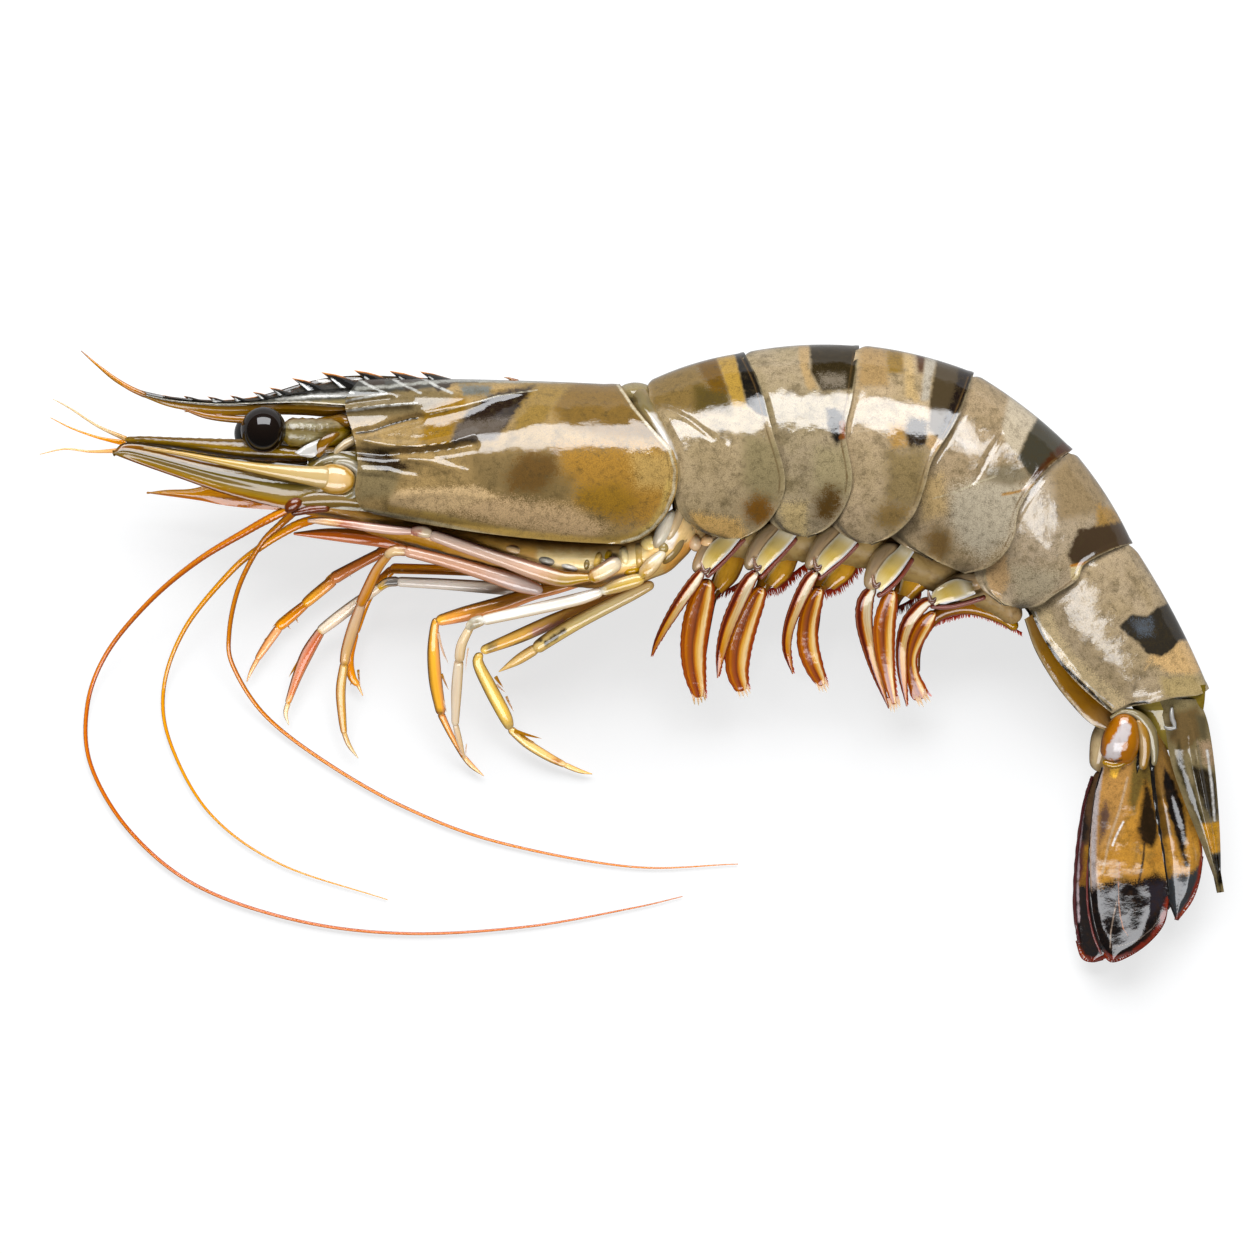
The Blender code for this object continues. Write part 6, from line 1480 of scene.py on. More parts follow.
# soft bodies and leg roots
def makeSoftBodies():
    thorax = addTube("thorax_flesh", [(-52.0, 22.4, 12.5, 1.6, 4.0), (-44.0, 21.4, 12.5, 3.2, 7.0),
                                      (-34.0, 18.6, 12.5, 4.4, 9.6), (-22.0, 15.7, 12.5, 6.2, 12.6),
                                      (-12.0, 14.0, 12.5, 7.4, 14.4), (-3.0, 13.8, 12.5, 7.6, 15.4),
                                      (3.5, 15.4, 12.5, 7.4, 16.0), (7.0, 18.6, 12.5, 6.4, 15.4),
                                      (8.4, 22.0, 12.5, 4.6, 14.0)],
                     120, 60, 0.5, 0.5, wiggle=lambda run, turn: 0.02 * np.sin(run * 1.9) * np.cos(turn * 3))
    thoraxMarks = [mark("#6A4A20", [(-52, 21), (-30, 16.6), (-20, 13.8), (-20, 11), (-52, 18)], soft=1.0),
                   mark("#8A6A44", [(-28, 15.6), (-10, 12.8), (4, 11), (9, 15.4), (6, 13), (1, 8), (-28, 9)],
                        soft=0.6),
                   mark("#CDB88C", [(-14, 15.8), (-2, 15.2), (2, 16.4), (2.6, 13.4), (-6, 12.4),
                                    (-14, 13.4)], soft=0.6),
                   mark("#E6E0D6", [(5.2, 21), (6.4, 21.4), (7.0, 18), (6.2, 15.6), (4.9, 16.0), (4.8, 18)],
                        soft=0.3, wobble=0.3),
                   mark("#B58A58", [(6.6, 16), (9, 17), (9.4, 16), (5.4, 11.6), (4.8, 13)], soft=0.4)]
    paintMarks(thorax, thoraxMarks)
    finishPiece(thorax, ["thorax"],
                limbSkin("thorax_skin", [(0.0, "#7A5226"), (0.5, "#94703E"), (0.8, "#B59A6C"),
                                         (1.0, "#C2AC8A")],
                         [(0.0, "#8A6238", 0.8), (0.3, "#A8865A", 0.4), (0.6, "#C9AE84", 0.2),
                          (1.0, "#C0A070", 0.0)],
                         fibre="#7A5A30", fibreShare=0.5, pace=22, marks=thoraxMarks, relief=0.12))
    coxae = [((-12.5, 13.9, 18.6), (1.7, 0.8, 1.5), -0.2, "#EFE9DC"),
             ((-9.2, 13.0, 19.2), (1.5, 0.5, 1.0), -0.25, "#F6F2EA"),
             ((-6.6, 13.5, 18.6), (0.9, 1.3, 1.6), -0.3, "#8A7A5A"),
             ((-5.0, 13.9, 18.8), (0.9, 1.5, 1.6), -0.3, "#B79C6C"),
             ((-3.4, 14.4, 18.8), (0.8, 1.3, 1.6), -0.3, "#A8863C"),
             ((-0.9, 14.4, 19.0), (1.0, 1.7, 1.6), 0.25, "#D6C8A8"),
             ((1.2, 14.6, 19.0), (1.1, 2.0, 1.6), 0.1, "#C3A468"),
             ((2.9, 16.2, 19.0), (1.5, 1.6, 1.6), 0.5, "#CDBB92"),
             ((0.2, 12.6, 18.8), (1.5, 1.0, 1.2), 0.3, "#BF9438"),
             ((4.8, 15.9, 19.9), (0.9, 0.9, 1.0), 0.4, "#B9A884"),
             ((9.6, 16.6, 16.4), (1.0, 1.3, 1.6), 0.2, "#CDB290"),
             ((11.6, 16.8, 16.6), (1.2, 1.1, 1.6), -0.2, "#C9AA84"),
             ((-17.5, 15.4, 18.0), (1.8, 0.9, 1.4), -0.25, "#B8966A"),
             ((4.9, 18.6, 20.2), (1.1, 3.2, 1.3), -0.45, "#DDD6C8"),
             ((6.6, 19.6, 19.6), (0.9, 3.4, 1.4), -0.4, "#BFA680"),
             ((6.3, 15.6, 18.6), (1.0, 2.6, 1.3), -0.65, "#CDB48C"),
             ((8.2, 18.0, 17.8), (0.8, 2.6, 1.3), -0.5, "#B99C74")]
    for index, (centre, radii, tilt, tone) in enumerate(coxae):
        ball = addBall(f"leg_root_{index}", centre, radii, tilt, 28)
        finishPiece(ball, (), limbSkin(f"leg_root_{index}_skin", [(0.0, tone), (1.0, tone)],
                                                [(0.0, "#8A6A34", 0.7), (0.35, tone, 0.0),
                                                 (1.0, "#FFF6E4", 0.2)],
                                                fibre="#A88850", fibreShare=0.3, relief=0.05))
    waist = addTube("waist_flesh", [(-0.4, 39.6, 12.5, 2.6, 7.0), (1.4, 38.2, 12.5, 4.4, 13.0),
                                    (2.2, 36.4, 12.5, 5.0, 17.0), (4.8, 32.4, 12.5, 5.0, 21.5),
                                    (6.6, 28.4, 12.5, 4.0, 23.0), (7.4, 24.6, 12.5, 3.2, 22.4),
                                    (7.8, 20.8, 12.5, 2.8, 20.0)],
                    60, 60, 0.5, 0.4)
    waistMarks = [mark("#8A7A50", [(0.4, 39.8), (3.6, 38), (3.2, 35.8), (0.8, 36.4)], soft=0.8),
                  mark("#E8E0D4", [(2.6, 36), (3.6, 36), (6, 31.6), (7, 29), (6, 29.6), (4, 33)], soft=0.3,
                       wobble=0.3)]
    paintMarks(waist, waistMarks)
    finishPiece(waist, ["waist"], limbSkin("waist_skin",
                                                    [(0.0, "#9A8258"), (0.5, "#A89268"), (1.0, "#BBA47C")],
                                                    fibre="#7A6238", fibreShare=0.3, marks=waistMarks))
    knob = addBall("waist_knob", (0.9, 38.7, 13.8), (3.1, 2.0, 3.6), -0.1)
    finishPiece(knob, (), limbSkin("waist_knob_skin", [(0.0, "#B5A684"), (1.0, "#9A875A")],
                                            [(0.0, "#7A6436", 0.8), (0.5, "#A8966C", 0.2),
                                             (1.0, "#C8BCA0", 0.5)], fibre="#6E5A34"))
    belly = addTube("belly_flesh", [(8.6, 18.4, 12.5, 3.6, 9.0), (13.0, 17.6, 12.5, 5.2, 8.0),
                                    (18.0, 17.2, 12.3, 6.0, 7.6), (28.0, 16.8, 12.1, 6.2, 7.6),
                                    (38.0, 15.4, 11.4, 6.2, 7.0), (46.0, 12.0, 9.8, 5.4, 6.4),
                                    (53.0, 9.0, 8.6, 4.2, 5.6), (58.6, 5.2, 7.6, 3.0, 4.0)], 160, 48, 0.5,
                                    0.5,
                    wiggle=lambda run, turn: 0.03 * np.sin(run * 1.5 + np.sin(turn * 2)) * np.cos(turn * 2)
                    + 0.03 * np.sin(run * 3.7) * np.cos(turn * 5))
    finishPiece(belly, ["belly"],
                limbSkin("belly_skin", [(0.0, "#B8A286"), (0.3, "#A8926E"), (0.6, "#A08A64"),
                                        (1.0, "#B89C80")],
                         [(0.0, "#A0825E", 0.7), (0.25, "#B0946E", 0.6), (0.5, "#A89068", 0.5),
                          (1.0, "#84704E", 0.8)],
                         {"Coat Roughness": 0.32, "Coat Weight": 0.3}, fibre="#6E5436", fibreShare=0.6,
                         pace=40, relief=0.2))
    print("soft bodies ready")


# swimmerets
swimmerets = {
    "swimmeret_1_near": {
        "base": [(14.6, 18.6, 15.8, 3.0, 3.2), (12.2, 16.0, 16.2, 3.4, 3.4), (10.3, 13.6, 16.2, 2.2, 2.8),
                 (9.6, 12.2, 16.0, 1.0, 1.6)],
        "plate": [[(11.0, 12.2), (10.8, 14.0), (11.9, 16.2), (13.4, 17.4), (15.0, 19.0)],
                  [(11.3, 12.0), (13.2, 13.7), (14.8, 15.3), (16.0, 16.8), (17.4, 18.6)]],
        "band": [(17.0, 17.4), (15.6, 15.8), (13.4, 13.5), (11.2, 11.5)],
        "front": [(10.8, 12.6, 17.6, 1.0, 1.2), (9.6, 10.9, 16.9, 1.9, 1.2), (7.4, 7.8, 15.4, 1.9, 1.1),
                  (5.4, 4.6, 13.4, 1.5, 0.9), (3.9, 1.8, 11.5, 0.9, 0.7), (3.0, -0.4, 10.4, 0.1, 0.2)],
        "rear": [(11.6, 11.2, 15.8, 1.8, 1.4), (10.8, 8.6, 14.4, 3.5, 1.3), (9.9, 5.0, 12.6, 4.1, 1.2),
                 (9.4, 1.0, 10.6, 3.9, 1.1), (9.6, -2.6, 8.8, 3.4, 1.0), (10.1, -5.4, 7.6, 2.4, 0.7),
                 (10.3, -6.6, 7.2, 1.5, 0.4)],
        "farPlate": [[(12.6, 10.6), (13.4, 13.0), (15.4, 15.6)], [(13.4, 9.2), (15.8, 11.4), (17.2, 15.0)]]},
    "swimmeret_2_near": {
        "base": [(23.0, 19.4, 15.8, 3.0, 3.2), (20.4, 17.0, 16.2, 3.8, 3.4), (18.3, 14.4, 16.2, 2.6, 2.8),
                 (17.4, 12.6, 16.0, 1.2, 1.6)],
        "plate": [[(18.8, 12.6), (19.0, 14.2), (20.2, 16.2), (21.6, 17.8), (23.0, 19.4)],
                  [(19.4, 12.0), (20.9, 13.5), (22.6, 15.2), (24.0, 16.8), (25.4, 18.6)]],
        "band": [(24.8, 17.4), (23.4, 15.8), (21.4, 13.6), (19.2, 11.3)],
        "front": [(18.9, 12.4, 17.6, 1.2, 1.2), (17.6, 10.8, 16.9, 2.2, 1.2), (16.0, 7.6, 15.2, 2.4, 1.1),
                  (14.5, 4.0, 13.2, 2.2, 0.9), (13.5, 0.2, 11.2, 1.5, 0.8), (13.0, -3.6, 10.0, 0.2, 0.3)],
        "rear": [(19.7, 10.0, 15.4, 1.6, 1.4), (18.6, 8.0, 14.2, 3.0, 1.3), (17.2, 4.6, 12.4, 3.7, 1.2),
                 (16.2, 1.0, 10.6, 3.9, 1.1), (16.0, -2.4, 8.9, 3.4, 1.0), (16.5, -4.6, 7.9, 2.5, 0.7),
                 (16.9, -5.6, 7.6, 1.5, 0.4)],
        "farPlate": [[(20.2, 10.6), (21.4, 12.6), (23.4, 14.8)],
                     [(21.6, 10.0), (23.8, 11.8), (24.8, 14.2)]]},
    "swimmeret_3_near": {
        "base": [(31.6, 18.8, 15.8, 3.0, 3.2), (29.4, 16.6, 16.2, 3.8, 3.4), (27.4, 14.2, 16.2, 2.6, 2.8),
                 (26.5, 12.6, 16.0, 1.2, 1.6)],
        "plate": [[(27.8, 12.6), (28.2, 14.4), (29.4, 16.0), (30.8, 17.4), (32.2, 18.8)],
                  [(28.5, 11.8), (30.2, 13.2), (31.8, 14.5), (33.4, 16.2), (34.6, 17.8)]],
        "band": [(34.0, 16.6), (32.4, 14.9), (30.4, 13.1), (27.9, 11.2)],
        "front": [(27.8, 12.4, 17.6, 1.2, 1.2), (26.6, 10.9, 16.9, 2.1, 1.2), (25.0, 7.6, 15.4, 2.1, 1.1),
                  (23.7, 4.0, 13.4, 1.7, 0.9), (23.4, 0.6, 11.6, 1.3, 0.8), (24.3, -3.0, 10.3, 0.2, 0.3)],
        "rear": [(28.4, 10.0, 15.4, 1.4, 1.4), (27.4, 7.8, 14.2, 2.7, 1.3), (26.6, 4.6, 12.2, 3.0, 1.2),
                 (26.6, 1.2, 10.6, 3.2, 1.1), (27.5, -1.8, 9.2, 2.8, 1.0), (28.4, -3.8, 8.0, 2.0, 0.7),
                 (28.8, -4.8, 7.8, 1.1, 0.4)],
        "farPlate": [[(28.8, 10.2), (30.2, 12.2), (32.6, 14.4)], [(30.4, 9.9), (32.8, 11.6), (33.8, 13.6)]]},
    "swimmeret_4_near": {
        "base": [(40.2, 16.4, 14.6, 3.0, 3.4), (38.2, 14.0, 15.0, 4.6, 3.6), (36.4, 11.4, 14.8, 3.2, 3.0),
                 (35.6, 9.6, 14.4, 1.4, 1.8)],
        "plate": [[(36.6, 10.0), (37.0, 12.2), (38.4, 14.2), (39.8, 15.4), (41.0, 16.8)],
                  [(37.4, 9.3), (39.2, 10.9), (40.6, 12.6), (41.8, 14.4), (42.8, 16.0)]],
        "band": [(42.2, 14.4), (40.6, 11.9), (38.6, 9.8), (36.8, 8.6)],
        "front": [(36.4, 10.2, 14.8, 1.2, 1.3), (35.2, 8.0, 14.2, 2.5, 1.2), (35.0, 5.0, 12.8, 2.6, 1.1),
                  (35.7, 1.2, 11.0, 2.1, 0.9), (37.0, -3.2, 9.3, 1.4, 0.8), (38.8, -8.2, 8.0, 0.2, 0.3)],
        "rear": [(39.2, 9.6, 15.6, 1.4, 1.4), (38.6, 7.6, 14.8, 2.7, 1.3), (38.0, 4.2, 13.2, 3.3, 1.2),
                 (38.1, 0.4, 11.4, 3.0, 1.1), (38.7, -3.6, 9.8, 2.0, 0.9), (39.6, -7.6, 8.8, 0.8, 0.4)],
        "farPlate": [[(40.4, 9.0), (41.2, 11.6), (44.0, 13.6), (46.2, 13.6)],
                     [(42.0, 8.3), (44.0, 9.8), (46.0, 11.2), (47.2, 12.2)]]},
    "swimmeret_5_near": {
        "base": [(53.0, 10.8, 12.0, 2.0, 2.6), (50.4, 10.8, 12.4, 3.2, 3.0), (47.4, 9.6, 12.6, 3.0, 2.8),
                 (45.2, 8.2, 12.4, 1.4, 1.8)],
        "plate": [[(45.0, 7.7), (45.8, 9.6), (48.4, 11.0), (51.0, 10.6)],
                  [(45.6, 7.5), (47.6, 7.7), (49.6, 8.2), (51.6, 9.0)]],
        "band": [(53.2, 8.6), (50.4, 7.7), (47.6, 7.1), (44.8, 7.2)],
        "front": [(45.6, 8.3, 13.6, 1.1, 1.2), (43.6, 7.2, 13.0, 2.0, 1.1), (41.6, 4.6, 12.0, 2.2, 1.0),
                  (40.7, 1.4, 10.4, 1.8, 0.8), (40.8, -2.8, 9.0, 1.5, 0.7), (41.5, -7.9, 8.0, 0.2, 0.3)],
        "rear": [(45.6, 6.4, 12.6, 1.0, 1.2), (44.2, 4.6, 11.8, 2.5, 1.1), (42.9, 2.2, 10.2, 2.4, 1.0),
                 (42.2, -0.4, 8.6, 1.7, 0.9), (42.4, -3.0, 7.4, 1.9, 0.8), (43.3, -5.6, 6.4, 2.6, 0.5),
                 (43.9, -6.8, 6.2, 2.4, 0.3)]},
}
farSwimmerets = {
    "swimmeret_1_far": [(16.4, 18.4, 8.0, 3.4, 3.0), (15.2, 14.6, 7.4, 3.6, 3.0),
                        (13.8, 11.4, 6.8, 3.0, 2.4), (12.2, 9.0, 6.2, 2.0, 1.6), (11.0, 5.0, 5.0, 2.4, 1.0),
                        (10.4, 0.0, 3.8, 2.0, 0.8), (10.5, -3.4, 3.0, 1.0, 0.6)],
    "swimmeret_2_far": [(25.0, 18.2, 8.0, 3.4, 3.0), (22.9, 14.6, 7.4, 4.0, 3.0),
                        (21.0, 12.0, 6.8, 3.2, 2.4), (19.6, 9.6, 6.2, 2.0, 1.6), (17.9, 5.0, 5.0, 2.4, 1.0),
                        (16.8, 0.6, 3.8, 2.0, 0.8), (16.7, -2.6, 3.0, 1.0, 0.6)],
    "swimmeret_3_far": [(33.4, 17.8, 8.0, 3.4, 3.0), (31.4, 14.2, 7.4, 4.0, 3.0),
                        (29.6, 11.6, 6.8, 3.2, 2.4), (28.2, 9.4, 6.2, 1.8, 1.6), (27.4, 5.0, 5.0, 2.2, 1.0),
                        (27.0, 1.0, 3.8, 2.0, 0.8), (27.6, -1.8, 3.0, 1.0, 0.6)],
    "swimmeret_4_far": [(48.0, 13.4, 8.6, 2.2, 2.6), (45.0, 12.4, 9.0, 3.0, 3.0),
                        (42.0, 10.8, 8.6, 3.0, 2.6), (40.0, 8.6, 8.0, 1.8, 1.6), (38.6, 5.0, 6.4, 2.2, 1.0),
                        (38.6, 0.6, 5.0, 1.8, 0.8), (39.4, -4.0, 4.2, 1.0, 0.6)],
    "swimmeret_5_far": [(58.2, 3.8, 6.4, 1.6, 2.2), (55.6, 5.6, 6.4, 2.0, 2.4), (51.0, 7.0, 6.4, 2.2, 2.4),
                        (46.8, 6.2, 6.2, 2.0, 2.0), (44.2, 3.8, 5.8, 2.0, 1.2), (42.9, 0.6, 5.0, 1.8, 0.9),
                        (43.0, -3.0, 4.2, 1.2, 0.6)],
}
fringeLines = [  # where red hairs stand, how many, their length and lean
    ([(16.6, 10.6, 7.0), (14.8, 9.6, 6.6), (13.0, 9.0, 6.0)], 40, 1.0, (-0.45, -1.0)),
    ([(28.0, 14.4, 7.4), (25.0, 12.4, 7.0), (22.6, 10.2, 6.8), (20.2, 9.4, 6.2)], 90, 1.1, (0.3, -1.0)),
    ([(36.6, 15.4, 8.0), (34.0, 12.8, 7.2), (31.8, 10.4, 6.8), (29.0, 9.2, 6.2)], 90, 1.1, (0.3, -1.0)),
    ([(43.6, 9.0, 8.0), (41.6, 7.6, 7.4), (40.0, 6.8, 7.0)], 36, 1.1, (0.0, -1.0)),
    ([(58.8, 3.0, 6.6), (55.4, 4.7, 6.2), (51.4, 5.9, 6.0), (47.8, 5.2, 6.0), (45.0, 4.2, 5.8)], 90, 0.5,
     (0.1, -1.0)),
]


def edgeFringe(path, side, count, length, start=0.25, splay=0.5):  # hairs along one edge of a blade
    hairs = []
    shares = np.linspace(start, 0.97, count)
    here, ahead = readCurve(path, shares), readCurve(path, np.clip(shares + 0.02, 0, 1))
    behind = readCurve(path, np.clip(shares - 0.02, 0, 1))
    for index in range(count):
        along = (ahead - behind)[index, :3]
        along /= np.linalg.norm(along)
        out = np.cross(along, (0, 0, 1.0)) * side
        root = here[index, :3] + out * here[index, 3] * 0.44
        reach = length * chance.uniform(0.6, 1.1)
        hairs.append((root, root + out * reach * splay + along * reach + np.array((0, 0, -0.15)), 0.3,
                      chance.uniform(-0.08, 0.08)))
    return hairs


def tipTuft(path, count, length):  # frayed end of a blade
    last, before = np.array(path[-1], float), np.array(path[-2], float)
    along = (last - before)[:3]
    along /= np.linalg.norm(along)
    out = np.cross(along, (0, 0, 1.0))
    hairs = []
    for index in range(count):
        spread = (index + 0.5) / count * 2 - 1
        root = last[:3] - along * 1.2 + out * spread * before[3] * 0.4
        reach = length * (1.15 - 0.35 * abs(spread)) * chance.uniform(0.75, 1.15)
        hairs.append((root, root + along * (reach + 1.2) + out * spread * 0.2 * reach, 0.75,
                      chance.uniform(-0.1, 0.1)))
    return hairs


def makeSwimmerets():
    baseSkin = limbSkin("swim_base_skin", [(0.0, "#A87E34"), (0.4, "#96764A"), (0.8, "#A6865A"),
                                           (1.0, "#5A4430")],
                        [(0.0, "#B98A44", 0.5), (0.35, "#C89A50", 0.3), (0.7, "#86704E", 0.5),
                         (1.0, "#B9964E", 0.7)],
                        fibre="#5A4A20", fibreShare=0.5, pace=4, strands=5, relief=0.06)
    # both ramps end in near-white stops that paint a highlight frame round the gold plate
    plateSkin = limbSkin("swim_plate_skin", [(0.0, "#E8E2D4"), (0.08, "#D8CBA2"), (0.4, "#C9AE68"),
                                             (0.7, "#CDB987"), (0.84, "#DAD2BE"), (1.0, "#6A5A48")],
                         [(0.0, "#E0D6C2", 0.9), (0.09, "#D2C4A2", 0.6), (0.2, "#C8B078", 0.3),
                          (0.68, "#C9A850", 0.2), (0.82, "#E0D6C0", 0.6), (0.92, "#F2EEE6", 0.95),
                          (1.0, "#FAF8F4", 1.0)], fibre="#A8924A", fibreShare=0.3, pace=4, strands=6)
    # the pale first stop of the second ramp is a painted highlight along one edge of the gold
    farPlateSkin = limbSkin("swim_far_plate_skin",
                            [(0.0, "#8A5A1C"), (0.3, "#C9922A"), (0.7, "#D09A30"), (1.0, "#8A5A24")],
                            [(0.0, "#E8DCC0", 0.7), (0.16, "#D8A840", 0.5), (0.6, "#C8902A", 0.2),
                             (0.85, "#B07A24", 0.5), (0.95, "#6A2E14", 0.9), (1.0, "#5A2410", 0.9)],
                             fibre="#8A5A18", fibreShare=0.5, pace=4, strands=6)
    bandSkin = limbSkin("swim_band_skin", [(0.0, "#6A3A34"), (0.3, "#8A5248"), (0.7, "#7A3A30"),
                                           (1.0, "#5A2A22")],
                        [(0.0, "#B9988E", 0.6), (0.4, "#8A5A50", 0.3), (1.0, "#4E1E18", 0.8)])
    # the brown-lilac stop at 0.92 of the second ramp is a painted sheen on the maroon edge
    frontSkin = limbSkin("swim_front_skin", [(0.0, "#FFF8E8"), (0.35, "#FFF0D0"), (0.6, "#F8C880"),
                                             (0.8, "#DE8A38"), (1.0, "#CC6E2A")],
                         [(0.0, "#7A1E10", 0.97), (0.09, "#A03A1C", 0.95), (0.15, "#E8C0A0", 0.7),
                          (0.22, "#FFF8EA", 0.3), (0.5, "#FFF0CC", 0.1), (0.58, "#E8923A", 0.7),
                          (0.66, "#8A2A10", 0.9), (0.76, "#5E160A", 0.97), (0.86, "#8E3220", 0.95),
                          (0.92, "#C08A7A", 0.85), (1.0, "#7A1E10", 0.97)], fibre="#B04A16", fibreShare=0.4,
                          pace=4, strands=7, rich=1.2)
    # the cream stop at 0.21 of the second ramp is a cream stripe painted partly as a highlight
    rearSkin = limbSkin("swim_rear_skin", [(0.0, "#5A2A12"), (0.12, "#C9962F"), (0.5, "#D8A23C"),
                                           (0.78, "#D08834"), (0.92, "#C8702A"), (1.0, "#F0C890")],
                        [(0.0, "#9A3A22", 0.97), (0.08, "#8E4028", 0.95), (0.15, "#B86A3A", 0.85),
                         (0.21, "#E8D0A4", 0.9), (0.31, "#E6C488", 0.85), (0.4, "#CC9448", 0.8),
                         (0.46, "#A85A30", 0.9), (0.54, "#5E2A20", 0.95), (0.6, "#864232", 0.92),
                         (0.7, "#94502E", 0.92), (0.79, "#BC6E2C", 0.9), (0.87, "#8E4022", 0.95),
                         (0.94, "#A0522C", 0.9), (1.0, "#8A3018", 0.97)],
                        fibre="#7E3018", fibreShare=0.45, pace=4, strands=8, rich=1.1)
    farSkin = limbSkin("swim_far_skin", [(0.0, "#A87A2A"), (0.2, "#C08E2E"), (0.4, "#A86A20"),
                                         (0.55, "#7A2E14"), (1.0, "#8A3A1C")],
                       [(0.0, "#6A2A1C", 0.9), (0.12, "#A0641E", 0.7), (0.4, "#D0A040", 0.2),
                        (0.8, "#9A6A24", 0.4), (1.0, "#5A2010", 0.9)],
                       fibre="#8A4A1A", fibreShare=0.4, pace=5)
    jointSkin = limbSkin("swim_joint_skin", [(0.0, "#1E1410"), (0.5, "#4A3024"), (1.0, "#8A6A50")])
    hairs, tips = [], []
    for name, parts in swimmerets.items():
        height = parts["base"][1][2] + 1.5
        finishPiece(addTube(name + "_base", parts["base"], 40, 32, 0.5, 0.5, 0.85), [name],
                    baseSkin)
        plate = addLeaf(name + "_plate", *parts["plate"], (height, height + 0.2, height - 0.2), 0.4, 0.35,
                        40, 30,
                        lambda x, y, u, v: 0.25 * np.clip(2 * v - 1, 0, 1) ** 6)
        finishPiece(plate, (), plateSkin)
        band = addTube(name + "_band", [spot + (height - 0.5, 0.85, 1.3) for spot in parts["band"]], None,
                       16, 0.4, 0.4)
        finishPiece(band, (), bandSkin)
        x, y = parts["plate"][0][0]
        hinge = addTube(name + "_hinge", [(x + 0.9, y + 0.9, height + 0.5, 0.5),
                                          (x + 0.1, y + 0.1, height + 0.6, 0.9),
                                          (x - 0.3, y + 0.9, height + 0.4, 0.6),
                                          (x - 0.5, y + 1.9, height + 0.2, 0.2)], 24, 12, 0.4, 0.4)
        finishPiece(hinge, (), jointSkin)
        if "farPlate" in parts:
            farPlate = addLeaf(name + "_far_plate", *parts["farPlate"],
                               (height - 6.0, height - 5.8, height - 6.0), 0.4, 0.5, 36, 24)
            finishPiece(farPlate, (), farPlateSkin)
        front = addTube(name + "_front", parts["front"], None, 28, 0.4, 0.2, 0.9,
                        wiggle=lambda run, turn: (0.03 * np.cos(turn * 5)
                                                  + 0.04 * np.sin(run * 5) * np.cos(turn)))
        finishPiece(front, (), frontSkin)
        rear = addTube(name + "_rear", parts["rear"], None, 32, 0.4, 0.3, 0.9,
                       wiggle=lambda run, turn: (0.03 * np.cos(turn * 6)
                                                 + 0.03 * np.sin(run * 4) * np.cos(turn)))
        finishPiece(rear, (), rearSkin)
        hairs += edgeFringe(parts["rear"], -1, 60, 0.9, 0.2, 0.35)
        hairs += edgeFringe(parts["front"], -1, 30, 0.6, 0.5, 0.25)
        tips += tipTuft(parts["rear"], 4, 1.1)
    for name, path in farSwimmerets.items():
        finishPiece(addTube(name + "_body", path, None, 26, 0.5, 0.5, 0.85), [name], farSkin)
    for line, count, length, lean in fringeLines:
        spots = readCurve(line, np.linspace(0, 1, count))
        for spot in spots:
            reach = length * chance.uniform(0.7, 1.2)
            sway = lean[0] + chance.uniform(-0.25, 0.25)
            hairs.append((spot + np.array((0, 0.3, 0)), spot + np.array((sway, lean[1], -0.1)) * reach, 0.3,
                          chance.uniform(-0.1, 0.1)))
    finishPiece(addBristles("swim_fringe", hairs), (),
                limbSkin("fringe_hair", [(0.0, "#7A2010"), (0.5, "#A83A1C"), (1.0, "#C8603A")], rich=1.2))
    finishPiece(addBristles("swim_tufts", tips), (),
                limbSkin("tuft_hair", [(0.0, "#C9682E"), (0.35, "#E8A860"), (1.0, "#FBE8C8")]))
    print("swimmerets ready")


# tail fan
fanRed = "#7A2412"


def addRib(name, path, width, tone, beads=0.0):
    rib = addTube(name, [point + (width, width * 0.8) for point in path], None, 12, 0.5, 0.5,
                  wiggle=lambda run, turn: beads * np.sin(run * math.tau / 0.5))
    finishPiece(rib, (), limbSkin(name + "_skin", [(0.0, tone), (1.0, tone)], fibre="#6A5A4A",
                                              fibreShare=0.3))


def marginFringe(line, height, count, length):
    spots = readCurve([(x, y, height) for x, y in line], np.linspace(0, 1, count))
    ahead = readCurve([(x, y, height) for x, y in line], np.linspace(0.01, 1, count))
    hairs = []
    for index in range(count - 1):
        along = ahead[index] - spots[index]
        along /= np.linalg.norm(along) + 1e-9
        out = np.array((along[1], -along[0], 0.0))
        reach = length * chance.uniform(0.6, 1.15)
        hairs.append((spots[index] - out * 0.3, spots[index] + out * reach + along * chance.uniform(-0.15,
            0.15), 0.26, 0.0))
    return hairs


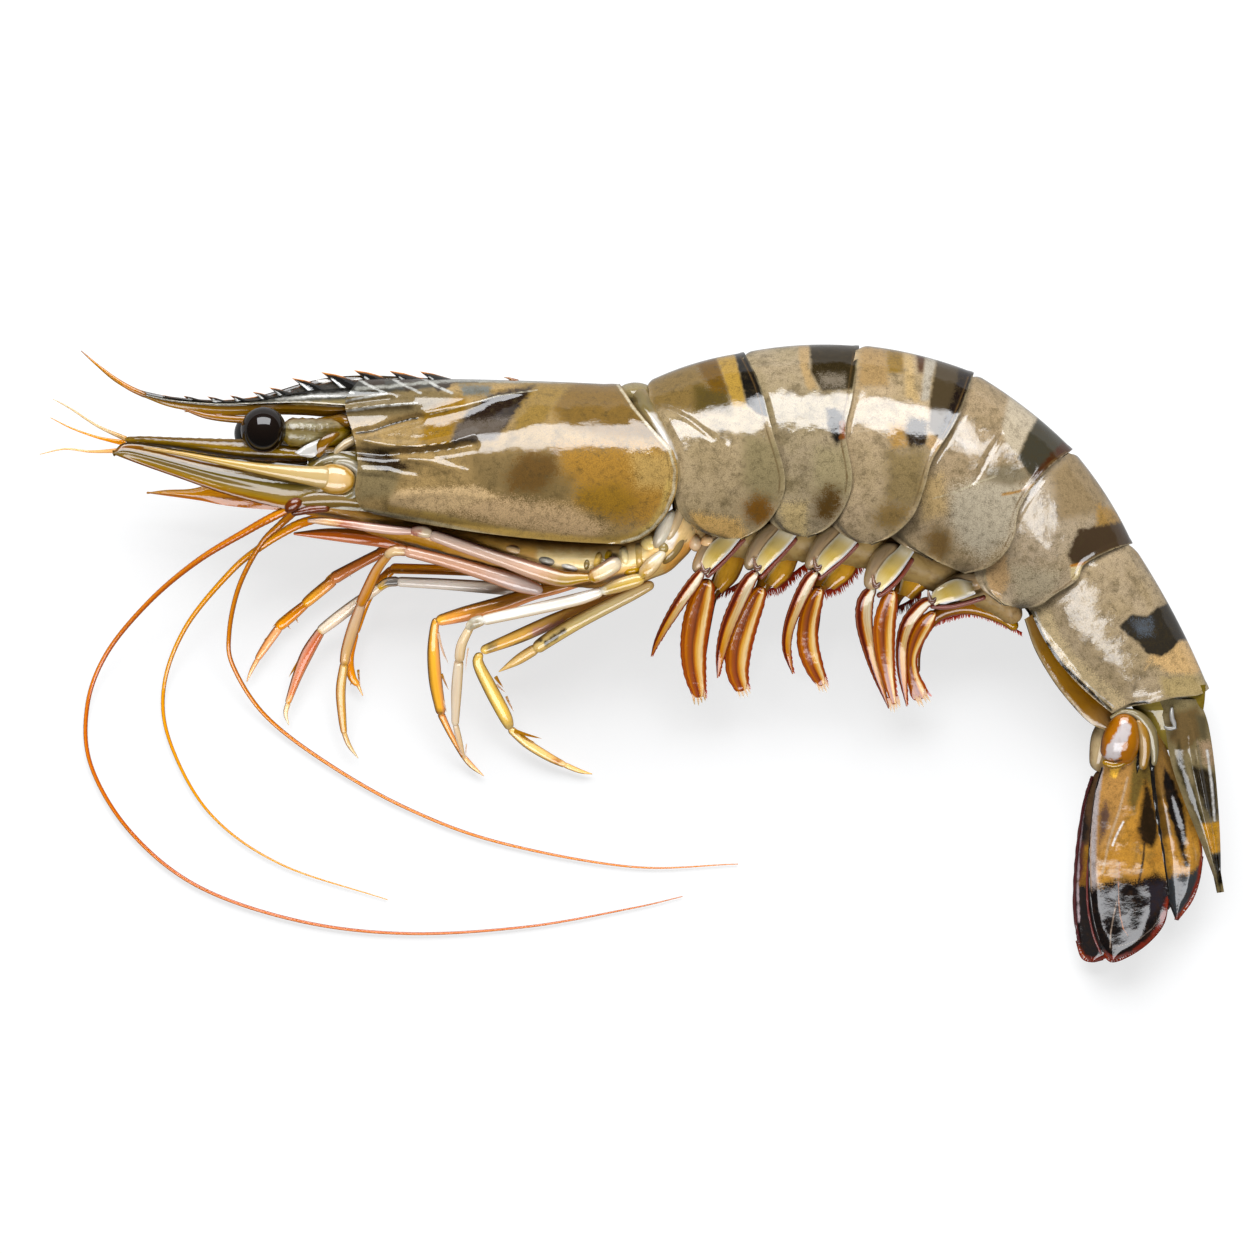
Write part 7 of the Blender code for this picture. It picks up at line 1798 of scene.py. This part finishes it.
fans = {
    "uropod_exopod_near": {
        "left": [(73.0, -15.2), (71.0, -16.8), (69.9, -20.6), (69.25, -26.0), (69.05, -31.0), (69.3, -36.5),
                 (70.0, -41.0), (71.2, -44.8), (72.4, -46.2)],
        "right": [(77.6, -13.6), (78.2, -16.6), (78.7, -21.0), (79.4, -26.5), (80.2, -31.8), (80.8, -36.6),
                  (80.2, -40.2), (77.4, -44.0), (72.7, -46.3)],
        "heights": (9.4, 9.0, 8.0, 6.8, 5.6), "dome": 1.1, "base": "#BE8831", "mottle": "#A87426",
        "marks": [
            mark("#AF8041", [(70, -15), (75.6, -15), (75.6, -18), (73.8, -27), (70, -31), (68.8, -24)],
                 soft=0.8),
            mark("#655121", [(75.8, -13), (79, -13), (78.8, -21), (77.2, -19), (75.6, -24), (74.8, -22)],
                 soft=0.6),
            mark("#1D1100", [(77.3, -18.6), (78.4, -21.4), (79.2, -25.2), (79.3, -27.6), (78.4, -29.2),
                             (76.8, -28.4), (76.1, -26.8), (76.8, -22.4)],
                 soft=0.5, wobble=0.7),
            mark("#584034", [(71.4, -22), (72.0, -24.4), (71.4, -26.6), (70.4, -28.6), (70.4, -24)],
                 soft=0.6, wobble=0.6),
            # painted highlight: a pale stripe along the left panel
            mark("#A7A2A4", [(70.6, -17.2), (70.0, -20.6), (69.6, -26), (69.5, -31), (69.7, -36),
                             (70.1, -39)], line=0.9, soft=0.3, wobble=0.25, share=0.85),
            mark("#030102", [(68, -35.6), (70.6, -34.8), (73, -33.9), (76, -34.2), (79, -33), (82, -34.4),
                             (82, -41), (76, -48), (68, -48)],
                 soft=0.9, wobble=0.9),
            mark("#29242D", [(77.6, -34.6), (80.4, -34.2), (80.4, -38), (78, -39.6)], soft=1.2, share=0.7),
            mark("#0C0A0D", [(70.6, -36), (72.6, -36.4), (72, -41.6), (70.8, -40)], soft=0.9, share=0.55),
            mark("#A86434", [(73.5, -31), (73.3, -34.5), (73.35, -37), (73.6, -39.4), (74.1, -41.4),
                             (74.8, -42.4)], line=0.14, soft=0.1, wobble=0.12),
            mark("#1A1614", [(77.2, -28.4), (77.0, -31), (76.2, -35.4)], line=0.3, soft=0.15, wobble=0.12),
            mark("#A89280", [(73.1, -37.2), (72.6, -39.6), (72.2, -42), (72.15, -44.2)], line=0.14, soft=0.1,
                 wobble=0.12),
            mark("#8A7A6C", [(72.4, -44.1), (74.4, -43.8), (76.4, -43.0), (78.4, -41.4), (80.1, -39.2)],
                 line=0.1, soft=0.1, wobble=0.12),
            mark("#B9A488", [(74.6, -18.6), (73.4, -23.4), (71.9, -28), (70.9, -33)], line=0.3, soft=0.2,
                 wobble=0.15, share=0.7),
            mark("#F4F0EA", [(74.0, -25.2), (73.0, -27.2), (72.4, -28.8)], line=0.28, soft=0.12,
                 wobble=0.12),
            mark("#FFC446", [(72.4, -16.4), (71.9, -18.4), (72.8, -18.6), (73.9, -16.6)], soft=0.2,
                 wobble=0.3),
            mark(fanRed, [(71.0, -45.2), (72.6, -46.2), (75.2, -45.3), (78, -43.3), (80.0, -40.6),
                          (80.9, -37)], line=0.9, soft=0.3, wobble=0.4),
        ]},
    "uropod_endopod_near": {
        "left": [(77.8, -11.8), (77.2, -15.0), (77.6, -20.0), (78.2, -26.0), (79.2, -31.6), (80.6, -36.2),
                 (82.1, -40.1)],
        "right": [(79.6, -12.0), (81.2, -15.8), (83.2, -20.8), (85.2, -25.8), (86.1, -30.2), (85.2, -35.2),
                  (82.4, -40.2)],
        "heights": (8.0, 7.4, 6.0, 4.4), "dome": 0.9, "base": "#BE8831", "mottle": "#A87426",
        "marks": [
            mark("#85612C", [(77, -11), (81.4, -14), (83.4, -20.6), (81.4, -21.4), (79, -22)], soft=0.8),
            mark("#020100", [(80.2, -17), (81.6, -19), (83.2, -23), (83.6, -26.4), (83.4, -29.6),
                             (84.2, -32), (83.4, -32), (82.2, -28), (80.8, -24), (80.0, -20)],
                 soft=0.35, wobble=0.5),
            mark("#190E07", [(79, -20), (80.8, -24), (81.4, -27), (80, -28), (79, -25)], soft=0.5,
                 share=0.7),
            mark("#313639", [(79.4, -33.6), (81.5, -33.4), (84, -33.2), (86.6, -31.2), (86, -36),
                             (82.4, -41), (80, -37)], soft=0.7, wobble=0.8),
            mark("#1C0A02", [(82.0, -34.6), (82.4, -36.4), (83.0, -33.4)], soft=0.4, share=0.5),
            mark(fanRed, [(82.2, -40.1), (84.4, -37.2), (85.6, -34), (86.1, -30.4), (85.8, -27.6)], line=0.6,
                 soft=0.25, wobble=0.3),
        ]},
    "uropod_exopod_far": {
        "left": [(71.0, -17.4), (69.9, -18.2), (68.6, -21.6), (67.7, -26.6), (67.0, -33.0), (66.9, -37.4),
                 (67.2, -41.4), (67.9, -44.8), (69.2, -46.4)],
        "right": [(74.6, -17.0), (75.6, -19.0), (76.6, -22.4), (77.8, -27.2), (78.4, -33.0), (78.0, -38.0),
                  (76.4, -42.2), (73.6, -45.2), (70.2, -46.5)],
        "heights": (3.6, 3.2, 2.6, 2.0), "dome": 0.8, "base": "#B58022", "mottle": "#8A5A1C",
        "marks": [
            mark("#5A4028", [(67, -17), (71, -17), (70, -28), (67, -30)], soft=0.6),
            mark("#1E1816", [(67, -23), (68.3, -23), (69.2, -26.5), (68.4, -28.4), (67.2, -28)], soft=0.5,
                 wobble=0.5),
            mark("#4E1E22", [(66.8, -28), (68.2, -28.6), (68.4, -32), (67.8, -34.4), (66.6, -34)], soft=0.5),
            mark("#1A1718", [(66, -35.4), (69.6, -34.6), (72, -36), (72, -48), (66, -48)], soft=0.6,
                 wobble=0.6),
            mark("#B9A4A8", [(69.2, -19.2), (68.2, -24), (67.6, -29.6), (67.4, -35), (67.6, -40.4)],
                 line=0.35, soft=0.15, wobble=0.2),
            mark(fanRed, [(67.0, -43.4), (68.2, -45.8), (69.6, -46.4), (71.4, -46)], line=0.9, soft=0.3,
                 wobble=0.3),
        ]},
    "uropod_endopod_far": {
        "left": [(76.6, -13.8), (76.0, -18.0), (76.4, -25.0), (77.6, -31.0), (79.0, -35.4), (80.6, -38.6)],
        "right": [(79.8, -13.6), (81.0, -18.0), (83.4, -25.0), (84.4, -30.0), (83.4, -34.6), (81.2, -38.6)],
        "heights": (5.0, 4.4, 3.0), "dome": 0.6, "base": "#9A6A24", "mottle": "#6A4420",
        "marks": [mark("#241C1A", [(76, -33), (86, -33), (86, -40), (76, -40)], soft=0.7)]},
}


def makeTail():
    for name, fan in fans.items():
        leaf = addLeaf(name + "_leaf", fan["left"], fan["right"], fan["heights"], 0.45, fan["dome"], 130, 64,
                       lambda x, y, u, v: 0.12 * np.sin(v * 19) * np.sin(math.pi * np.clip(u * 1.1, 0, 1)))
        paintMarks(leaf, fan["marks"])
        finishPiece(leaf, [name], shellSkin(name + "_chitin", fan["base"], fan["mottle"],
                                                        fan["marks"], grain=0.2,
                                                        grainDark="#3A2410", grainShare=0.35, patch=3.0))
    addRib("rib_left", [(70.9, -17.0, 9.3), (69.9, -21.0, 8.9), (69.2, -27.0, 8.2), (69.0, -32.0, 7.4),
                        (69.3, -37.0, 6.6), (70.1, -41.4, 6.0), (71.6, -45.4, 5.6)], 0.42, "#2A1C18", 0.12)
    addRib("rib_middle", [(76.3, -14.4, 10.1), (76.1, -17.0, 10.0), (75.1, -22.6, 9.4), (74.1, -27.6, 8.7),
                          (73.6, -32.0, 8.0), (73.4, -36.0, 7.3)],
           0.75, "#0C0A08", 0.16)
    addRib("rib_right", [(78.2, -14.6, 9.6), (78.5, -19.4, 9.2), (79.2, -25.4, 8.5), (80.1, -31.0, 7.6),
                         (80.8, -36.4, 6.8)], 0.75, "#0C0A08", 0.16)
    addRib("rib_far", [(69.6, -18.4, 4.0), (68.4, -22.4, 3.9), (67.5, -28.0, 3.7), (67.0, -34.0, 3.4),
                       (67.0, -39.0, 3.0), (67.7, -44.0, 2.6)],
           0.5, "#3A1C1E", 0.16)
    addRib("rib_far_inner", [(69.0, -31.0, 4.2), (68.8, -35.0, 4.0), (69.0, -38.6, 3.6), (69.8, -42.4, 3.2),
                             (71.0, -45.4, 2.9)], 0.34, "#6A3A38", 0.1)
    bulb = addTube("fan_root_near", [(74.6, -8.9, 10.0, 2.2, 3.0), (74.2, -10.4, 10.4, 4.4, 4.6),
                                     (73.6, -13.0, 10.6, 5.8, 4.6), (73.0, -15.6, 10.0, 5.2, 3.4),
                                     (72.7, -16.6, 9.6, 4.2, 2.2)], 60, 48, 0.6, 0.4)
    # painted highlight: the pale patch over the bulb's top
    bulbMarks = [mark("#EDE4E2", [(73.6, -9.8), (75.0, -10.6), (75.0, -12), (73.8, -13.6), (73.2, -15.9),
                                  (71.0, -15.8), (71.6, -13.6), (72.8, -11.8)],
                      soft=0.25, wobble=0.7),
                 mark("#3A2A18", [(70.5, -16.0), (72.2, -16.3), (73.6, -15.9)], line=0.3, soft=0.15,
                      wobble=0.2)]
    paintMarks(bulb, bulbMarks)
    finishPiece(bulb, ["uropod_stem_near"],
                limbSkin("fan_bulb_skin", [(0.0, "#A86A28"), (0.5, "#C8813C"), (1.0, "#B9702C")],
                         [(0.0, "#B98040", 0.7), (0.3, "#C98A40", 0.2), (0.8, "#D0884A", 0.2),
                          (1.0, "#6A3A14", 0.8)], fibre="#8A5A24",
                         fibreShare=0.25, marks=bulbMarks))
    rest = {
        "fan_root_far": (["uropod_stem_far"], [(72.8, -10.0, 4.4, 3.0, 3.4), (71.6, -12.4, 4.2, 4.2, 4.0),
                                               (70.9, -15.4, 4.0, 3.6, 3.2), (70.6, -17.8, 3.8, 2.6, 2.0)],
                                               "#A88A60"),
        "fan_root_rim": ([], [(72.0, -9.6, 10.4, 0.7, 1.6), (74.0, -8.6, 11.0, 0.9, 2.0),
                              (76.4, -9.4, 11.0, 1.5, 2.2), (78.0, -11.8, 10.4, 2.0, 2.2),
                              (78.6, -14.6, 9.8, 1.4, 1.8), (78.6, -16.8, 9.4, 0.8, 1.0)], "#8E7C4C"),
        "fan_root_second": ([], [(76.0, -9.8, 11.3, 0.6, 1.2), (76.9, -11.6, 11.2, 1.7, 1.8),
                                 (77.2, -14.4, 10.6, 1.8, 1.8), (76.9, -17.4, 9.9, 1.3, 1.2)],
                            "#B28338"),
        "fan_collar": ([], [(70.8, -16.2, 10.4, 0.9, 0.9), (72.6, -16.7, 10.7, 1.2, 1.0),
                            (74.4, -16.0, 10.6, 1.0, 1.0), (75.8, -14.6, 10.4, 0.7, 0.8)],
                       "#C09040"),
    }
    for name, (nodes, path, tone) in rest.items():
        finishPiece(addTube(name, path, None, 24, 0.5, 0.5), nodes,
                    limbSkin(name + "_skin", [(0.0, tone), (1.0, tone)],
                             [(0.0, "#5A4420", 0.7), (0.3, tone, 0.0), (0.7, "#E4D8B4", 0.3),
                              (1.0, "#5A4420", 0.6)],
                             fibre="#6A5024", fibreShare=0.3))

    telson = addLeaf("telson_blade", [(79.2, -6.8), (80.2, -10.8), (81.2, -16.4), (83.2, -22.2),
                                      (86.0, -29.0), (88.6, -35.9)],
                     [(85.4, -6.8), (86.7, -10.2), (87.6, -15.4), (88.2, -21.0), (88.7, -28.0),
                      (88.9, -35.9)],
                     (9.8, 9.6, 8.6, 7.4, 6.2), 0.5, 0.9, 130, 60,
                     lambda x, y, u, v: -2.4 * np.clip(v - 0.55, 0, 1) ** 1.4 * (1 - u)
                     + 0.45 * np.exp(-((v - 0.62) / 0.06) ** 2) * easeIn(u, 0.05, 0.3)
                     - 0.35 * np.exp(-((v - 0.45) / 0.08) ** 2) * easeIn(u, 0.1, 0.3))
    telsonMarks = [
        mark("#644F2D", [(81, -9), (85, -8), (86, -12), (83, -15), (81, -13)], soft=0.8, wobble=0.8),
        mark("#554B32", [(84.8, -9.2), (86.4, -9.4), (86.6, -13.4), (85.6, -12.6)], soft=0.5, wobble=0.5),
        mark("#9F8566", [(85.2, -13.2), (87.6, -13), (87.8, -17), (86.2, -16.6)], soft=0.6, wobble=0.5),
        mark("#1B1407", [(84.2, -16.8), (85.6, -17), (87.8, -18), (88.4, -24), (88.0, -25), (87.0, -24.6),
                         (85.2, -21)], soft=0.5, wobble=0.6),
        mark("#28220A", [(82.2, -13), (83.4, -17.6), (85.2, -22), (86.8, -26.4), (86.4, -27), (84.2, -22.6),
                         (82.0, -17)], soft=0.5),
        mark("#C28B19", [(85.9, -25.6), (88.9, -25.2), (89.1, -29.8), (87.4, -30)], soft=0.35, wobble=0.3),
        mark("#020000", [(87.4, -30.2), (89.2, -29.8), (89.2, -34.4), (88.4, -35)], soft=0.3, wobble=0.3),
        mark("#CFCCC6", [(86.6, -14.5), (87.3, -19.5), (87.8, -25)], line=0.35, soft=0.2, wobble=0.15),
        mark("#3A2410", [(80.6, -16), (82.9, -22.2), (85.6, -28.6), (88.0, -34.6)], line=0.3, soft=0.15,
             wobble=0.1),
    ]
    paintMarks(telson, telsonMarks)
    finishPiece(telson, ["telson"], shellSkin("telson_chitin", "#867654", "#756845", telsonMarks,
                                                          patch=3.0))
    root = addLeaf("telson_root", [(74.0, -5.6), (75.6, -8.4), (77.6, -11.0), (80.2, -14.6)],
                   [(86.4, -4.6), (86.2, -7.4), (85.6, -10.4), (84.0, -13.8)], (9.0, 9.2, 8.4, 7.0), 0.6,
                   0.8, 50, 40)
    finishPiece(root, (), limbSkin("telson_root_skin",
                                               [(0.0, "#6E6444"), (0.4, "#9A8C66"), (1.0, "#8A7C56")],
                                               [(0.0, "#4A3E24", 0.8), (0.3, "#A89A74", 0.3),
                                                (0.6, "#7E7250", 0.4), (1.0, "#5A4E34", 0.8)],
                                               fibre="#4A4028"))
    hook = addTube("telson_hook", [(81.2, -8.0, 10.9, 0.5, 0.5), (81.2, -9.6, 11.2, 0.8, 0.8),
                                   (81.7, -11.0, 11.2, 0.7, 0.7), (80.6, -11.2, 11.0, 0.6, 0.6),
                                   (80.0, -10.8, 10.8, 0.3, 0.3)], None, 16, 0.5, 0.5)
    finishPiece(hook, (),
                limbSkin("hook_skin", [(0.0, "#D8D4CC"), (0.5, "#F0EEEA"), (1.0, "#E0DCD2")],
                         [(0.0, "#3A3426", 0.7), (0.4, "#FFFFFF", 0.0), (1.0, "#5A5240", 0.6)]))
    flap = addLeaf("tail_flap", [(59.2, 5.2), (60.8, 0.6), (63.6, -4.2), (66.6, -8.0), (69.0, -10.4),
                                 (71.4, -11.6)],
                   [(61.4, 6.6), (63.4, 2.8), (66.6, -1.4), (70.0, -5.2), (72.8, -8.2), (73.0, -10.8)],
                   (7.4, 7.6, 8.4), 0.4, 0.5, 70, 24)
    finishPiece(flap, (), limbSkin("flap_membrane",
                                            [(0.0, "#A8865A"), (0.3, "#9A7238"), (0.75, "#8A5E26"),
                                             (1.0, "#A88862")],
                                             [(0.0, "#3A2C1C", 0.9), (0.06, "#C9B48E", 0.8),
                                              (0.2, "#9A7034", 0.4), (0.7, "#7A4E1C", 0.5),
                                              (1.0, "#4A2E12", 0.8)],
                                            fibre="#5A3A14"))
    fringe = (marginFringe([(67.4, -43.2), (68.2, -45.7), (69.6, -46.3), (71.2, -46.0)][::-1], 2.2, 34, 0.5)
              + marginFringe([(71.3, -45.0), (72.5, -46.2), (75.2, -45.2), (78, -43.2), (80.1, -40.5),
                              (80.8, -37)][::-1], 5.9, 84, 0.55)
              + marginFringe([(82.2, -40.1), (84.4, -37.1), (85.5, -34), (86.0, -30.6)][::-1], 4.9, 60,
                             0.35))
    finishPiece(addBristles("fan_fringe", fringe), (),
                limbSkin("fan_hair", [(0.0, "#6A1C10"), (0.5, "#A83A18"), (1.0, "#E08048")]))
    print("tail ready")


makeStage()
makeShield()
makeAbdomen()
makeRostrum()
makeHead()
makeFeelers()
makeLegs()
makeSoftBodies()
makeSwimmerets()
makeTail()
linkLights()
